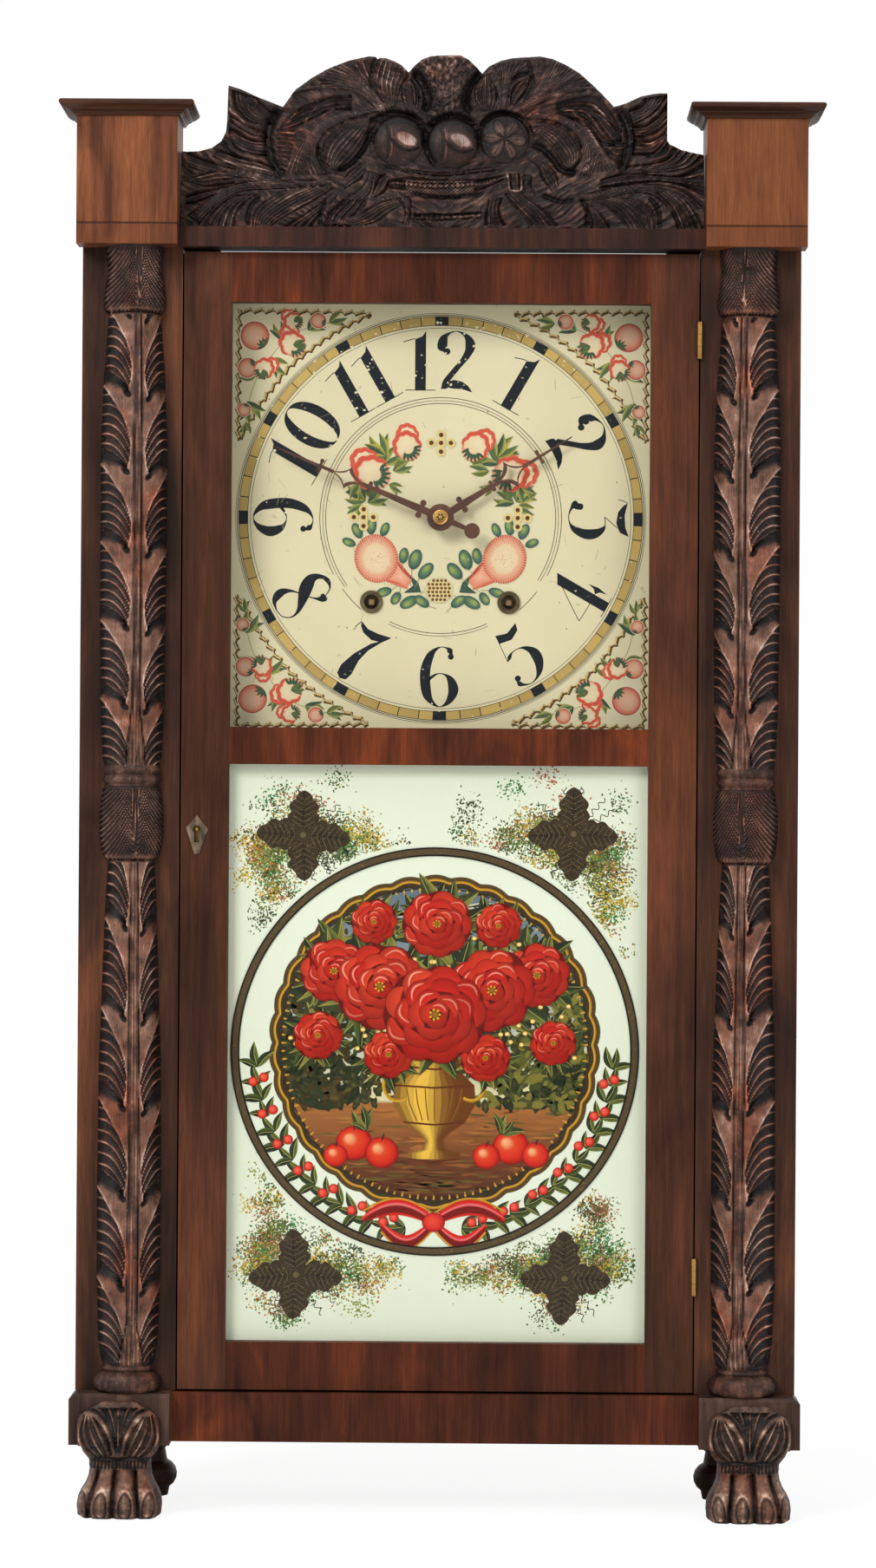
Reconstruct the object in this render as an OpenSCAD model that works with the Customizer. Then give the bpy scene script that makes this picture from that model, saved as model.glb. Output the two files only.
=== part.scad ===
// Carved half-column and crest shelf clock, eight-day, weight driven.
// Millimetres. +Z up, the dial faces -Y. Origin: centre of the footprint, on the floor.

/* [Case] */
// Width of the case over its two sides
case_w = 466; // [456:1:480]
// Depth from the front of the stiles to the back
case_d = 118; // [116:1:126]
// Height of the feet under the case
foot_h = 47; // [42:1:56]
// Height of the plinth blocks
plinth_h = 33; // [30:1:40]
// Height of the opening between the base rail and the top rail
opening_h = 741.2; // [736:0.2:760]
// Height of the top rail
top_rail_h = 12.8; // [11:0.2:20]
// Thickness of the top board
top_board_t = 12; // [10:1:16]
// Thickness of the bottom board
bottom_board_t = 12; // [10:1:16]
// Thickness of the two sides
side_t = 10; // [8:1:14]
// Thickness of the backboard
back_t = 10; // [8:1:12]
// Height of the gap above the backboard, between the weight channels
back_gap_h = 22; // [10:1:30]
// Width of each front stile
stile_w = 65; // [63:1:70]
// Thickness of the stiles and of the base rail
stile_t = 18; // [16:1:22]
// How far the base rail stands in front of the stiles
base_proud = 3; // [1:0.5:6]

/* [Top blocks and caps] */
// Width of the top blocks and of the plinth blocks
block_w = 65; // [60:1:68]
// Height of a top block
block_h = 82.4; // [70:0.2:100]
// How far the blocks stand out past the sides
block_out = 2.5; // [1:0.5:6]
// How far the top blocks stand in front of the stiles
block_proud = 23; // [20:1:26]
// How far a top block reaches back over the top board
block_back = 32; // [20:1:50]
// Height of a moulded cap
cap_h = 9.4; // [7:0.2:14]
// How far a cap stands out past its block
cap_over = 11; // [6:0.5:14]

/* [Crest] */
// Height of the carved crest above the top rail
crest_h = 112; // [100:1:130]
// Thickness of the crest board
crest_t = 14; // [12:1:18]
// Depth of the carving on the crest
carve_t = 9; // [6:1:12]

/* [Columns] */
// Radius of the upper shaft
shaft_r = 18.7; // [16:0.1:20]
// Radius of the lower shaft
lower_r = 17.6; // [15:0.1:19]
// Distance of each column's axis in from the side of the case
column_in = 34; // [31:0.5:37]
// Height of the turned base
base_h = 16; // [12:1:20]
// Height of the capital
capital_h = 44; // [38:1:50]
// Height of the leaf cup in the middle
cup_h = 49; // [40:1:60]
// Height of the double ring above the cup
ring_h = 8; // [6:1:12]
// Height of one carved leaf of a column
leaf_pitch = 54; // [48:1:60]
// Depth of the gouge cuts on a column
gouge_t = 1.6; // [1:0.1:2.4]
// Length of the upper shaft
upper_h = 297; // [280:1:310]

/* [Feet] */
// Width of the carved knee of a front foot
knee_w = 53; // [46:1:60]
// Width of the wrist of a front foot
wrist_w = 40; // [34:1:46]
// Width over the toes
toes_w = 55; // [48:1:60]
// Depth of the block that a front foot is carved from
knee_d = 44; // [38:1:50]
// Radius of a turned rear foot
rear_r = 19; // [15:1:22]

/* [Door] */
// Gap round the door
door_gap = 1; // [0.6:0.1:1.5]
// Thickness of the door frame
door_t = 18; // [16:1:22]
// Width of the door's stiles
door_stile_w = 31; // [29:0.5:36]
// Height of the door's top rail
door_top_w = 32.3; // [28:0.1:38]
// Height of the door's middle rail
door_mid_w = 24; // [20:1:30]
// Height of the door's bottom rail
door_bottom_w = 31; // [28:1:38]
// Height of the upper glass opening
upper_open_h = 276; // [270:1:282]
// Thickness of the glass
glass_t = 2; // [1.6:0.1:3]
// Width of the glass rebate
rebate = 5; // [4:0.5:7]
// Thickness of the frame in front of the glass
lip_t = 6; // [4:0.5:8]

/* [Hinges and lock] */
// Radius of a hinge knuckle
knuckle_r = 2.1; // [1.8:0.1:2.6]
// Radius of a hinge pin
hinge_pin_r = 1; // [0.8:0.1:1.2]
// Height of a hinge
hinge_h = 24; // [20:1:34]
// Thickness of a hinge leaf
leaf_t = 0.8; // [0.6:0.1:1.2]
// Depth of a hinge leaf along the edge
leaf_d = 13; // [10:1:15]
// Height of the keyhole above the door's lower edge
lock_h = 361; // [340:1:380]
// Travel of the lock bolt
bolt_throw = 4.5; // [3:0.5:6]

/* [Dial and hands] */
// Width of the dial board
dial_w = 314; // [306:1:320]
// Height of the dial board
dial_h = 297; // [290:1:300]
// Thickness of the dial board
dial_t = 8; // [6:1:10]
// Distance from the stiles' front plane back to the dial's face
dial_back = 32; // [30:1:36]
// Sideways distance of the winding holes from the centre
wind_x = 45; // [44:0.5:48]
// Distance of the winding holes below the centre
wind_z = 55; // [54:0.5:58]
// Length of the minute hand
minute_len = 118; // [100:1:126]
// Length of the hour hand
hour_len = 101; // [80:1:110]
// Half the width of the hour hand's open star
star_w = 9.9; // [7:0.1:12]
// Radius of the minute hand's hub
hub_r = 8.8; // [7:0.1:10]
// Length of the minute hand's tail
tail_len = 22.4; // [18:0.2:26]
// Angle of the minute hand clockwise from twelve
minute_at = 292.8; // [0:0.1:360]
// Angle of the hour hand clockwise from twelve
hour_at = 58; // [0:0.5:360]

/* [Movement] */
// Half the width of the brass plates
plate_half = 86; // [84:1:90]
// Height of the plates above the centre
plate_up = 52; // [50:1:60]
// Height of the plates below the centre
plate_down = 104; // [100:1:110]
// Thickness of the plates
plate_t = 2; // [1.5:0.1:3]
// Distance from the dial's back to the front plate
motion_gap = 24; // [24:1:26]
// Distance between the plates
plate_gap = 36; // [36:1:38]
// Radius of a winding drum
drum_r = 15; // [13:0.5:16]
// Radius of a gut cord
cord_r = 1; // [0.8:0.1:1.3]
// Radius of the cord groove of a top pulley
pulley_r = 12; // [10:0.5:14]
// Radius of a weight
weight_r = 24; // [20:1:25]
// Height of a weight
weight_h = 190; // [160:1:220]
// Drop of a weight in eight days
weight_drop = 420; // [300:1:430]
// Length of the pendulum from its hook to the bob's centre
pendulum_len = 388; // [370:1:400]
// Radius of the pendulum bob
bob_r = 26; // [20:1:32]
// Running clearance of an arbor in its hole
fit = 0.05; // [0.02:0.01:0.09]
// Clearance between curved parts that pass each other
pass = 0.3; // [0.2:0.05:0.5]

/* [Hidden] */
$fn = 48;
eps = 0.01;

// Depth planes
cap_out = block_proud + cap_over;
front_y = (cap_out - case_d) / 2;
back_y = front_y + case_d;
stile_back_y = front_y + stile_t;
board_y = back_y - back_t;
block_y = front_y - block_proud;
plinth_y = front_y - 20;
door_back_y = front_y + door_t;
dial_y = front_y + dial_back;
dial_back_y = dial_y + dial_t;
plate_y = dial_back_y + motion_gap;
inner_y = plate_y + plate_t;
rear_plate_y = inner_y + plate_gap;

// Heights
case_z = foot_h;
plinth_z = case_z + plinth_h;
rail_z = plinth_z + opening_h;
top_z = rail_z + top_rail_h;
case_top = top_z + top_board_t;
block_top = rail_z + block_h;
door_z = plinth_z + door_gap;
door_top = rail_z - 2.4;
upper_top = door_top - door_top_w;
upper_bottom = upper_top - upper_open_h;
tablet_top = upper_bottom - door_mid_w;
tablet_bottom = door_z + door_bottom_w;
dial_cz = (upper_top + upper_bottom) / 2;

// Sideways places
column_x = case_w / 2 - column_in;
side_in = case_w / 2 - side_t;
stile_in = case_w / 2 - stile_w;
door_half = stile_in - door_gap;
glass_half = door_half - door_stile_w;
block_x = case_w / 2 + block_out - block_w / 2;
block_in = block_x - block_w / 2;
channel_t = 7;
channel_x = dial_w / 2 - channel_t;
channel_mid = (channel_x + channel_t + side_in) / 2;

// Hinge and lock
hinge_x = stile_in - door_gap / 2;
hinge_y = front_y - knuckle_r + 0.6;
hinge_zs = [door_z + 75, door_top - 56];
lock_z = door_z + lock_h;
keyhole_x = -(door_half - 10.5);
bolt_t = 3;
bolt_half = 7;
bolt_y = door_back_y - bolt_t - 2.5;
// Room round the bolt in its keep
keep_gap = 1;

// Movement: places of the arbors seen from the front, as [x, z]
centre = [0, dial_cz];
wind_r = [wind_x, dial_cz - wind_z];
wind_l = [-wind_x, dial_cz - wind_z];
great_n = 60;
great_m = 1.2;
second_n = 48;
second_m = 1.15;
pin_m = 0.9;
centre_n = 72;
centre_m = 0.72;
third_n = 56;
third_m = 0.8;
warn_n = 40;
warn_m = 0.8;
leaves = 8;
small_leaves = 7;
escape_n = 40;
escape_r = 17;
escape_at = [0, dial_cz - 52];
verge_at = [0, dial_cz - 24];
hang_at = [0, dial_cz - 19.5];
second_at = meet(centre, gap_of(second_m, second_n, leaves), wind_r, gap_of(great_m, great_n, leaves), 1);
third_at = meet(centre, gap_of(centre_m, centre_n, leaves), escape_at, gap_of(third_m, third_n, small_leaves), -1);
pin_at = beside(wind_l, gap_of(great_m, great_n, leaves), 99.9);
warn_at = beside(pin_at, gap_of(pin_m, second_n, leaves), 76.2);
fly_at = beside(warn_at, gap_of(warn_m, warn_n, small_leaves), 99);
motion_m = 0.8;
cannon_n = 12;
minute_n = 36;
hour_pin_n = 10;
hour_n = 40;
motion_d = gap_of(motion_m, minute_n, cannon_n);
hour_m = 2 * motion_d / (hour_n + hour_pin_n);
minute_wheel_at = beside(centre, motion_d, 135);

// Depth planes of the wheels between the plates
wheel_t = 1.5;
drum_y0 = inner_y + 4;
drum_y1 = drum_y0 + 20;
great_y = drum_y1 + 2;
second_y = great_y + 5;
count_y = second_y + 2.6;
third_y = inner_y + 12;
centre_y = inner_y + 20;
escape_y = plate_y - 8;
cord_y = drum_y0 + 12;
arbor_r = 1.2;
barrel_arbor_r = 2.5;
cannon_r = 2.65;
hour_pipe_r = 3.9;

// Pulleys, cords and weights
cord_line = pulley_r + cord_r + pass;
drum_line = drum_r + cord_r + pass;
weight_x = channel_mid;
pulley_x = weight_x - cord_line;
pulley_z = top_z - pulley_r - 7;
pulley_rr = [pulley_x, pulley_z];
pulley_ll = [-pulley_x, pulley_z];
hook_h = 13;
weight_top = pulley_z - 43;

// Bell and hammer
bell_at = [-28, dial_cz + plate_up + 44];
bell_r = 33;
bell_y = board_y - 12;
hammer_at = [-78, dial_cz - 8.5];

wood = [0.36, 0.17, 0.09];
dark_wood = [0.22, 0.12, 0.07];
pine = [0.72, 0.55, 0.35];
brass = [0.78, 0.62, 0.28];
iron = [0.25, 0.22, 0.2];
cream = [0.86, 0.82, 0.68];

// Distance between a wheel of n teeth and a pinion of k leaves, module m
function gap_of(m, n, k) = m * (n + k) / 2;
// Point at distance d and angle a (degrees from +X) from p
function beside(p, d, a) = p + d * [cos(a), sin(a)];
// Point at distance rp from p and rq from q, on the side s of the line p to q
function meet(p, rp, q, rq, s) =
    let (d = norm(q - p), u = (q - p) / d, a = (rp * rp - rq * rq + d * d) / (2 * d))
    p + a * u + s * sqrt(rp * rp - a * a) * [-u[1], u[0]];
// Angle of the line from p to q
function heading(p, q) = atan2(q[1] - p[1], q[0] - p[0]);
// Points of an arc about c, radius r, from angle a to angle b in n steps
function arc(c, r, a, b, n) = [for (i = [0:n]) c + r * [cos(a + (b - a) * i / n), sin(a + (b - a) * i / n)]];
// Toothed outline: n teeth, tooth 0 centred on the angle at
function teeth(n, m, up, down, at) = [
    for (i = [0:n - 1])
        for (k = [[-0.29, -down], [-0.11, up], [0.11, up], [0.29, -down]])
            let (a = at + 360 * (i + k[0]) / n, r = m * (n / 2 + k[1]))
            r * [cos(a), sin(a)]
];
// Ratchet outline with pointed teeth
function saw(n, r, depth, at) = [
    for (i = [0:n - 1])
        for (k = [[0, 0], [0.16, 0], [0.55, -depth], [0.92, -depth]])
            let (a = at + 360 * (i + k[0]) / n)
            (r + k[1]) * [cos(a), sin(a)]
];

// Places a flat shape, drawn as seen from the front, between two depths
module slab(y0, y1) {
    translate([0, y1, 0])
        rotate([90, 0, 0])
            linear_extrude(y1 - y0) children();
}
module at(p) {
    translate([p[0], 0, p[1]]) children();
}
// Rod along the depth
module rod(p, r, y0, y1) {
    translate([p[0], y1, p[1]])
        rotate([90, 0, 0])
            cylinder(h = y1 - y0, r = r);
}
module block(x0, x1, y0, y1, z0, z1) {
    translate([x0, y0, z0]) cube([x1 - x0, y1 - y0, z1 - z0]);
}
module mirrored() {
    mirror([1, 0, 0]) children();
}
module both() {
    children();
    mirrored() children();
}

// ---- case ----
module backboard() {
    color(pine) slab(board_y, back_y) difference() {
        translate([-side_in, case_z]) square([2 * side_in, top_z - case_z]);
        translate([-channel_x, top_z - back_gap_h]) square([2 * channel_x, back_gap_h + 1]);
    }
}
module case_side() {
    color(wood) block(side_in, case_w / 2, stile_back_y, back_y, case_z, case_top);
}
module top_board() {
    color(pine) block(-side_in, side_in, stile_back_y - 6, back_y, top_z, case_top);
}
module bottom_board() {
    color(pine) block(-side_in, side_in, stile_back_y, board_y, case_z, case_z + bottom_board_t);
}
// Front stile with its notches for the hinge barrels, or for the lock bolt
module stile_body() {
    block(stile_in, case_w / 2, front_y, stile_back_y, plinth_z, top_z);
}
module stile_right() {
    color(wood) difference() {
        stile_body();
        for (z = hinge_zs) {
            translate([hinge_x, hinge_y, z - hinge_h / 2 - 0.5]) cylinder(h = hinge_h + 1, r = knuckle_r + pass);
            block(stile_in - 1, stile_in + leaf_t, front_y - 1, front_y + leaf_d, z - hinge_h / 2, z + hinge_h / 2);
        }
    }
}
module stile_left() {
    color(wood) difference() {
        mirrored() stile_body();
        block(-stile_in - bolt_throw - 2, -stile_in + 1, bolt_y - keep_gap, bolt_y + bolt_t + keep_gap,
            lock_z - bolt_half - keep_gap, lock_z + bolt_half + keep_gap);
    }
}
module top_rail() {
    color(wood) {
        block(-block_in, block_in, front_y - 10, front_y, rail_z, top_z);
        block(-stile_in, stile_in, front_y - 1, stile_back_y, rail_z, top_z);
    }
}
module base_rail() {
    color(wood) block(-block_in, block_in, front_y - base_proud, stile_back_y, case_z + 0.5, plinth_z - 0.5);
}
module plinth_block() {
    color(wood) translate([0, 0, case_z]) difference() {
        block(block_in, block_in + block_w, plinth_y, stile_back_y, 0, plinth_h);
        // Bevel along the outer top edge
        translate([block_in + block_w, 0, plinth_h])
            rotate([0, 45, 0])
                cube([5, 400, 5], center = true);
        translate([block_x, plinth_y, plinth_h])
            rotate([45, 0, 0])
                cube([block_w + 2, 3, 3], center = true);
    }
}
// Top block, notched over the stile and the top board
module top_block() {
    color(wood) translate([block_in, 0, 0])
        rotate([90, 0, 90])
            linear_extrude(block_w) polygon([
                [block_y, rail_z],
                [front_y, rail_z],
                [front_y, top_z],
                [stile_back_y - 6, top_z],
                [stile_back_y - 6, case_top],
                [block_y + block_proud + block_back, case_top],
                [block_y + block_proud + block_back, block_top],
                [block_y, block_top]
            ]);
}
// Half section of a cap from its lower edge up: fillet, cove, fillet and rounded nose
nose_r = cap_h * 0.26;
cove_r = cap_h * 0.25;
cap_section = concat(
    [[0, 0], [cap_over * 0.2, 0], [cap_over * 0.2, cap_h * 0.13]],
    arc([cap_over * 0.3 + cove_r, cap_h * 0.13], cove_r, 180, 90, 6),
    [[cap_over * 0.62, cap_h * 0.13 + cove_r], [cap_over * 0.62, cap_h * 0.47]],
    arc([cap_over - nose_r, cap_h * 0.72], nose_r, -70, 80, 9),
    [[cap_over * 0.75, cap_h], [0, cap_h]]
);
// Moulded cap, mitred at its front corners by crossing two run mouldings
module block_cap() {
    back = block_y + block_proud + block_back;
    side = [for (q = cap_section) [block_w / 2 + q[0], q[1]]];
    other = [for (i = [len(side) - 1:-1:0]) [-side[i][0], side[i][1]]];
    front = [for (q = cap_section) [block_y - q[0], q[1]]];
    color(dark_wood) translate([0, 0, block_top]) intersection() {
        translate([block_x, 0, 0]) slab(block_y - 2 * cap_over, back) polygon(concat(side, other));
        translate([block_in - 2 * cap_over, 0, 0]) rotate([90, 0, 90])
            linear_extrude(block_w + 4 * cap_over) polygon(concat([[back, 0]], front, [[back, cap_h]]));
    }
}

// ---- columns ----
column_z = plinth_z;
base_top = column_z + base_h;
capital_z = rail_z - capital_h;
upper_z = capital_z - upper_h;
cup_top = upper_z - ring_h;
cup_z = cup_top - cup_h;
// Turned profile of the column, as [radius, height]
column_profile = concat(
    [[0, column_z], [lower_r + 1, column_z]],
    arc([lower_r - 2, column_z + 6.5], 6.5, -80, 80, 8),
    [[lower_r - 1, column_z + 13.4], [lower_r + 1.2, column_z + 14.4], [lower_r, base_top + 1]],
    [[lower_r, cup_z - 3]],
    arc([lower_r - 3, cup_z + 7], 6.5, -60, 60, 6),
    [[lower_r - 0.6, cup_top - 2]],
    arc([lower_r - 0.5, upper_z - ring_h * 0.75], ring_h / 4, -90, 90, 5),
    arc([lower_r + 0.5, upper_z - ring_h * 0.25], ring_h / 4, -90, 90, 5),
    [[shaft_r, upper_z + 0.6], [shaft_r, capital_z - 1]],
    arc([shaft_r - 4.5, capital_z + 9], 6.6, -50, 60, 6),
    [[shaft_r - 1.5, rail_z - 12], [shaft_r - 0.2, rail_z], [0, rail_z]]
);
// Cut of a gouge rolled over a shaft of radius r: turned from the front and leaning from the stem
module gouge(r, z, turn, lean, tool, length) {
    translate([0, 0, z]) rotate([0, 0, turn]) translate([0, -r - tool + gouge_t, 0])
        rotate([0, lean, 0]) cylinder(h = length, r = tool, center = true, $fn = 24);
}
// Leaves one above another on a shaft: an eye beside the stem and gouge cuts that lean outward
module leaf_cuts(r, z0, count) {
    for (i = [0:count - 1])
        for (s = [-1, 1]) {
            z = z0 + (i + 0.5) * leaf_pitch;
            for (k = [0:2])
                gouge(r, z + 5 * k, s * (22 + 23 * k), s * 24, 4.2, leaf_pitch);
            rotate([0, 0, s * 12]) translate([0, -r - 1, z + leaf_pitch * 0.3]) sphere(r = 3.2, $fn = 20);
        }
}
module column() {
    color(dark_wood) translate([column_x, front_y, 0]) difference() {
        rotate([0, 0, 180])
            rotate_extrude(angle = 180, $fn = 64) polygon(column_profile);
        leaf_cuts(shaft_r, upper_z + 13, 5);
        leaf_cuts(lower_r, base_top + 1, 6);
        // Flutes of the capital and of the cup, cut through their scalloped rims
        for (a = [-76:19:76]) {
            gouge(shaft_r - 1, (capital_z + rail_z) / 2 + 4, a, 0, 3, capital_h - 20);
            gouge(lower_r - 0.6, cup_z + cup_h / 2 + 4, a, 0, 3, cup_h - 22);
            gouge(shaft_r + 2, capital_z + 9, a + 9.5, 0, 3, 16);
            gouge(lower_r + 3.4, cup_z + 7, a + 9.5, 0, 3, 16);
        }
    }
}

// ---- crest ----
crest_half = block_in - 0.2;
// Half outline of the crest from the centre to the corner, as [x, height above the rail]
crest_edge = concat(
    [[0, crest_h], [8, crest_h - 0.5], [15, crest_h - 2.5], [23.5, crest_h - 9]],
    [[33, crest_h - 3], [44, crest_h - 1], [55, crest_h - 1.5], [68, crest_h - 5], [80, crest_h - 10]],
    [[92, crest_h - 19], [103, crest_h - 31], [108, crest_h - 33]],
    [[122, crest_h - 29], [142, crest_h - 20], [143, crest_h - 36]],
    arc([147, crest_h - 50], 13.5, 106, 180, 2),
    arc([crest_half, crest_h - 49], 25, 180, 250, 5),
    [[crest_half, crest_h - 74], [crest_half, 0]]
);
crest_outline = concat(crest_edge, [for (i = [len(crest_edge) - 1:-1:1]) [-crest_edge[i][0], crest_edge[i][1]]]);
// Fruit low on the crest, as [centre, height, radius]
balls = [[-27.9, 56.1, 17], [6.7, 55.3, 16.8]];
flower = [41, 58, 14.5];
basket_x = 1.8;
// Leaf fans, each a root and its lobes as [angle, length]
fan_root = [50, 68];
fan = [[100, 36], [86, 37], [72, 37], [58, 38], [44, 40], [30, 43], [16, 48], [2, 52], [-12, 52], [-26, 49]];
low_root = [48, 24];
low_fan = [[15, 84], [8, 104], [1, 112], [-6, 108]];
ear_root = [112, 48];
ear_fan = [[75, 29], [60, 33], [45, 26]];
// Round boss in front of the board
module dome(p, r, h) {
    translate([p[0], 0, p[1]]) rotate([90, 0, 0])
        rotate_extrude($fn = 40) polygon(concat([[0, -1], [r, -1]], [for (a = [0:15:90]) [r * cos(a), h * sin(a)]]));
}
// Rounded lobes of a leaf, half sunk in the board, that widen from near the root to their tips
module lobes(root, list, start, r0, r1) {
    for (q = list)
        translate([root[0], 0, root[1]]) rotate([0, 90 - q[0], 0]) {
            translate([0, 0, start]) cylinder(h = q[1] - start, r1 = r0, r2 = r1, $fn = 24);
            translate([0, 0, q[1]]) sphere(r = r1 * 1.03, $fn = 24);
        }
}
module crest_leaves() {
    lobes(fan_root, fan, 10, 0.9, 4.4);
    lobes(low_root, low_fan, 20, 1.1, 5.1);
    lobes(ear_root, ear_fan, 8, 0.8, 3.1);
}
module fruit() {
    for (q = balls)
        dome(q, q[2], carve_t);
    difference() {
        dome(flower, flower[2], carve_t - 1);
        for (a = [0:60:300])
            translate([flower[0], 0, flower[1]]) rotate([0, a, 0]) translate([0, -carve_t + 0.6, 4])
                rotate([-24, 0, 0]) cylinder(h = flower[2], r = 1.7, $fn = 20);
    }
}
// Waisted basket with rows of beads
module basket() {
    slab(-carve_t * 0.4, 1) translate([basket_x, 0])
        polygon([[-18, 73], [-12.6, 81], [-14.2, 90], [-21, 103], [21, 103], [14.2, 90], [12.6, 81], [18, 73]]);
    for (k = [-1:1], z = [85, 92, 99])
        translate([basket_x + k * (6 + (z - 85) * 0.2), -carve_t * 0.4, z]) sphere(r = 2, $fn = 16);
}
// Beaded rail and turned spindle below the fruit
module spindle() {
    for (s = [-1, 1])
        translate([0, 0, 31]) rotate([0, 90 * s, 0]) cylinder(h = 38, r1 = 5.6, r2 = 3.6, $fn = 32);
    for (k = [-5:5])
        translate([k * 4.6, -1, 9]) sphere(r = 2.1, $fn = 16);
    slab(-3, 1) translate([-26, 15]) square([52, 8]);
}
module crest() {
    color(dark_wood) translate([0, stile_back_y - 6 - crest_t, top_z]) {
        slab(0, crest_t) polygon(crest_outline);
        both() crest_leaves();
        fruit();
        basket();
        spindle();
    }
}

// ---- feet ----
// Round limb from p to q with a ball at its end
module limb(p, q, r0, r1) {
    d = q - p;
    translate(p) rotate([0, acos(d[2] / norm(d)), atan2(d[1], d[0])])
        cylinder(h = norm(d), r1 = r0, r2 = r1, $fn = 24);
    translate(q) sphere(r = r1 * 1.03, $fn = 24);
}
module paw_foot() {
    color(dark_wood) translate([block_x, 0, 0]) {
        // Carved knee over the plinth's face
        slab(plinth_y - 6, plinth_y) polygon(concat(
            [[-wrist_w / 2, case_z - 12], [wrist_w / 2, case_z - 12]],
            arc([knee_w / 2 - 12, case_z + 14], 12, -40, 60, 5),
            [[0, case_z + plinth_h - 4]],
            arc([-knee_w / 2 + 12, case_z + 14], 12, 120, 220, 5)
        ));
        // Wrist
        hull() {
            block(-knee_w / 2 + 2, knee_w / 2 - 2, plinth_y - 2, plinth_y + knee_d - 2, case_z - 2, case_z);
            block(-wrist_w / 2, wrist_w / 2, plinth_y - 2, plinth_y + knee_d - 12, case_z * 0.5, case_z * 0.55);
        }
        hull() {
            block(-wrist_w / 2, wrist_w / 2, plinth_y - 2, plinth_y + knee_d - 12, case_z * 0.5, case_z * 0.55);
            block(-toes_w / 2 + 4, toes_w / 2 - 4, plinth_y - 4, plinth_y + knee_d - 14, 0, 6);
        }
        // Leaf over the knee, its petals fanned upward from the wrist
        translate([0, plinth_y - 6, 0])
            lobes([0, case_z - 6], [for (a = [-44:22:44]) [90 + a, plinth_h * 0.86]], 0, 2.4, 6);
        // Claws
        for (i = [-1.5:1:1.5])
            translate([i * toes_w / 4, plinth_y - 9, case_z * 0.17]) rotate([126, 0, 0])
                cylinder(h = 8, r1 = 3.2, r2 = 0.8, $fn = 16);
        // Toes: a knuckle, the toe falling forward from it, and its pad on the ground
        for (i = [-1.5:1:1.5]) {
            knuckle = [i * toes_w / 4 * 0.86, plinth_y + 2, case_z * 0.38];
            tip = [i * toes_w / 4, plinth_y - 4.5, case_z * 0.19];
            limb([knuckle[0], plinth_y + 8, case_z * 0.5], knuckle, 4, 6.2);
            limb(knuckle, tip, 5.2, 6.4);
            translate([tip[0], tip[1], 0]) cylinder(h = tip[2], r = 5.6, $fn = 24);
        }
    }
}
module rear_foot() {
    color(dark_wood) translate([block_x - 12, board_y - rear_r - 4, 0])
        rotate_extrude() polygon(concat(
            [[0, 0], [rear_r - 6, 0]],
            arc([rear_r - 10, 14], 10, -60, 70, 6),
            [[rear_r - 8, foot_h - 16], [rear_r - 2, foot_h - 10], [rear_r - 2, foot_h], [0, foot_h]]
        ));
}

// ---- boards inside ----
module inner_boards() {
    color(pine) {
        both() block(channel_x, channel_x + channel_t, dial_back_y, board_y,
            case_z + bottom_board_t, dial_cz + dial_h / 2 - 45);
        block(-channel_x, channel_x, plate_y - 2, board_y,
            dial_cz - plate_down - 16, dial_cz - plate_down);
    }
}

// ---- door ----
module door_stile_body() {
    difference() {
        block(glass_half, door_half, front_y, door_back_y, door_z, door_top);
        block(glass_half - 1, glass_half + rebate, front_y + lip_t, door_back_y + 1,
            upper_bottom - rebate, upper_top + rebate);
        block(glass_half - 1, glass_half + rebate, front_y + lip_t, door_back_y + 1,
            tablet_bottom - rebate, tablet_top + rebate);
    }
}
module door_stile_right() {
    color(wood) difference() {
        door_stile_body();
        for (z = hinge_zs) {
            translate([hinge_x, hinge_y, z - hinge_h / 2 - 0.5]) cylinder(h = hinge_h + 1, r = knuckle_r + pass);
            block(door_half - leaf_t, door_half + 1, front_y - 1, front_y + leaf_d, z - hinge_h / 2, z + hinge_h / 2);
        }
    }
}
lock_w = 22;
lock_up = 40;
lock_t = 7;
module door_stile_left() {
    color(wood) difference() {
        mirrored() door_stile_body();
        block(-door_half - 1, -door_half + lock_w, door_back_y - lock_t, door_back_y + 1,
            lock_z - lock_up / 2, lock_z + lock_up / 2);
        rod([keyhole_x, lock_z + 2], 2.6, front_y - 1, door_back_y);
        block(keyhole_x - 1.5, keyhole_x + 1.5, front_y - 1, door_back_y, lock_z - 6.5, lock_z + 2);
    }
}
// Rail between the door stiles; each glass side has its rebate
module door_rail(z0, z1, top_glass, bottom_glass) {
    difference() {
        block(-glass_half, glass_half, front_y, door_back_y, z0, z1);
        if (top_glass)
            block(-glass_half - 1, glass_half + 1, front_y + lip_t, door_back_y + 1, z1 - rebate, z1 + 1);
        if (bottom_glass)
            block(-glass_half - 1, glass_half + 1, front_y + lip_t, door_back_y + 1, z0 - 1, z0 + rebate);
    }
}
module door_rails() {
    color(wood) {
        door_rail(upper_top, door_top, false, true);
        door_rail(tablet_top, upper_bottom, true, true);
        door_rail(door_z, tablet_bottom, true, false);
    }
}
module pane(z0, z1) {
    g = rebate - 1;
    block(-glass_half - g, glass_half + g, front_y + lip_t, front_y + lip_t + glass_t, z0 - g, z1 + g);
}
module dial_glass() {
    color([0.8, 0.9, 0.9, 0.3]) pane(upper_bottom, upper_top);
}
module tablet_glass() {
    color([0.9, 0.92, 0.86]) pane(tablet_bottom, tablet_top);
}
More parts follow.
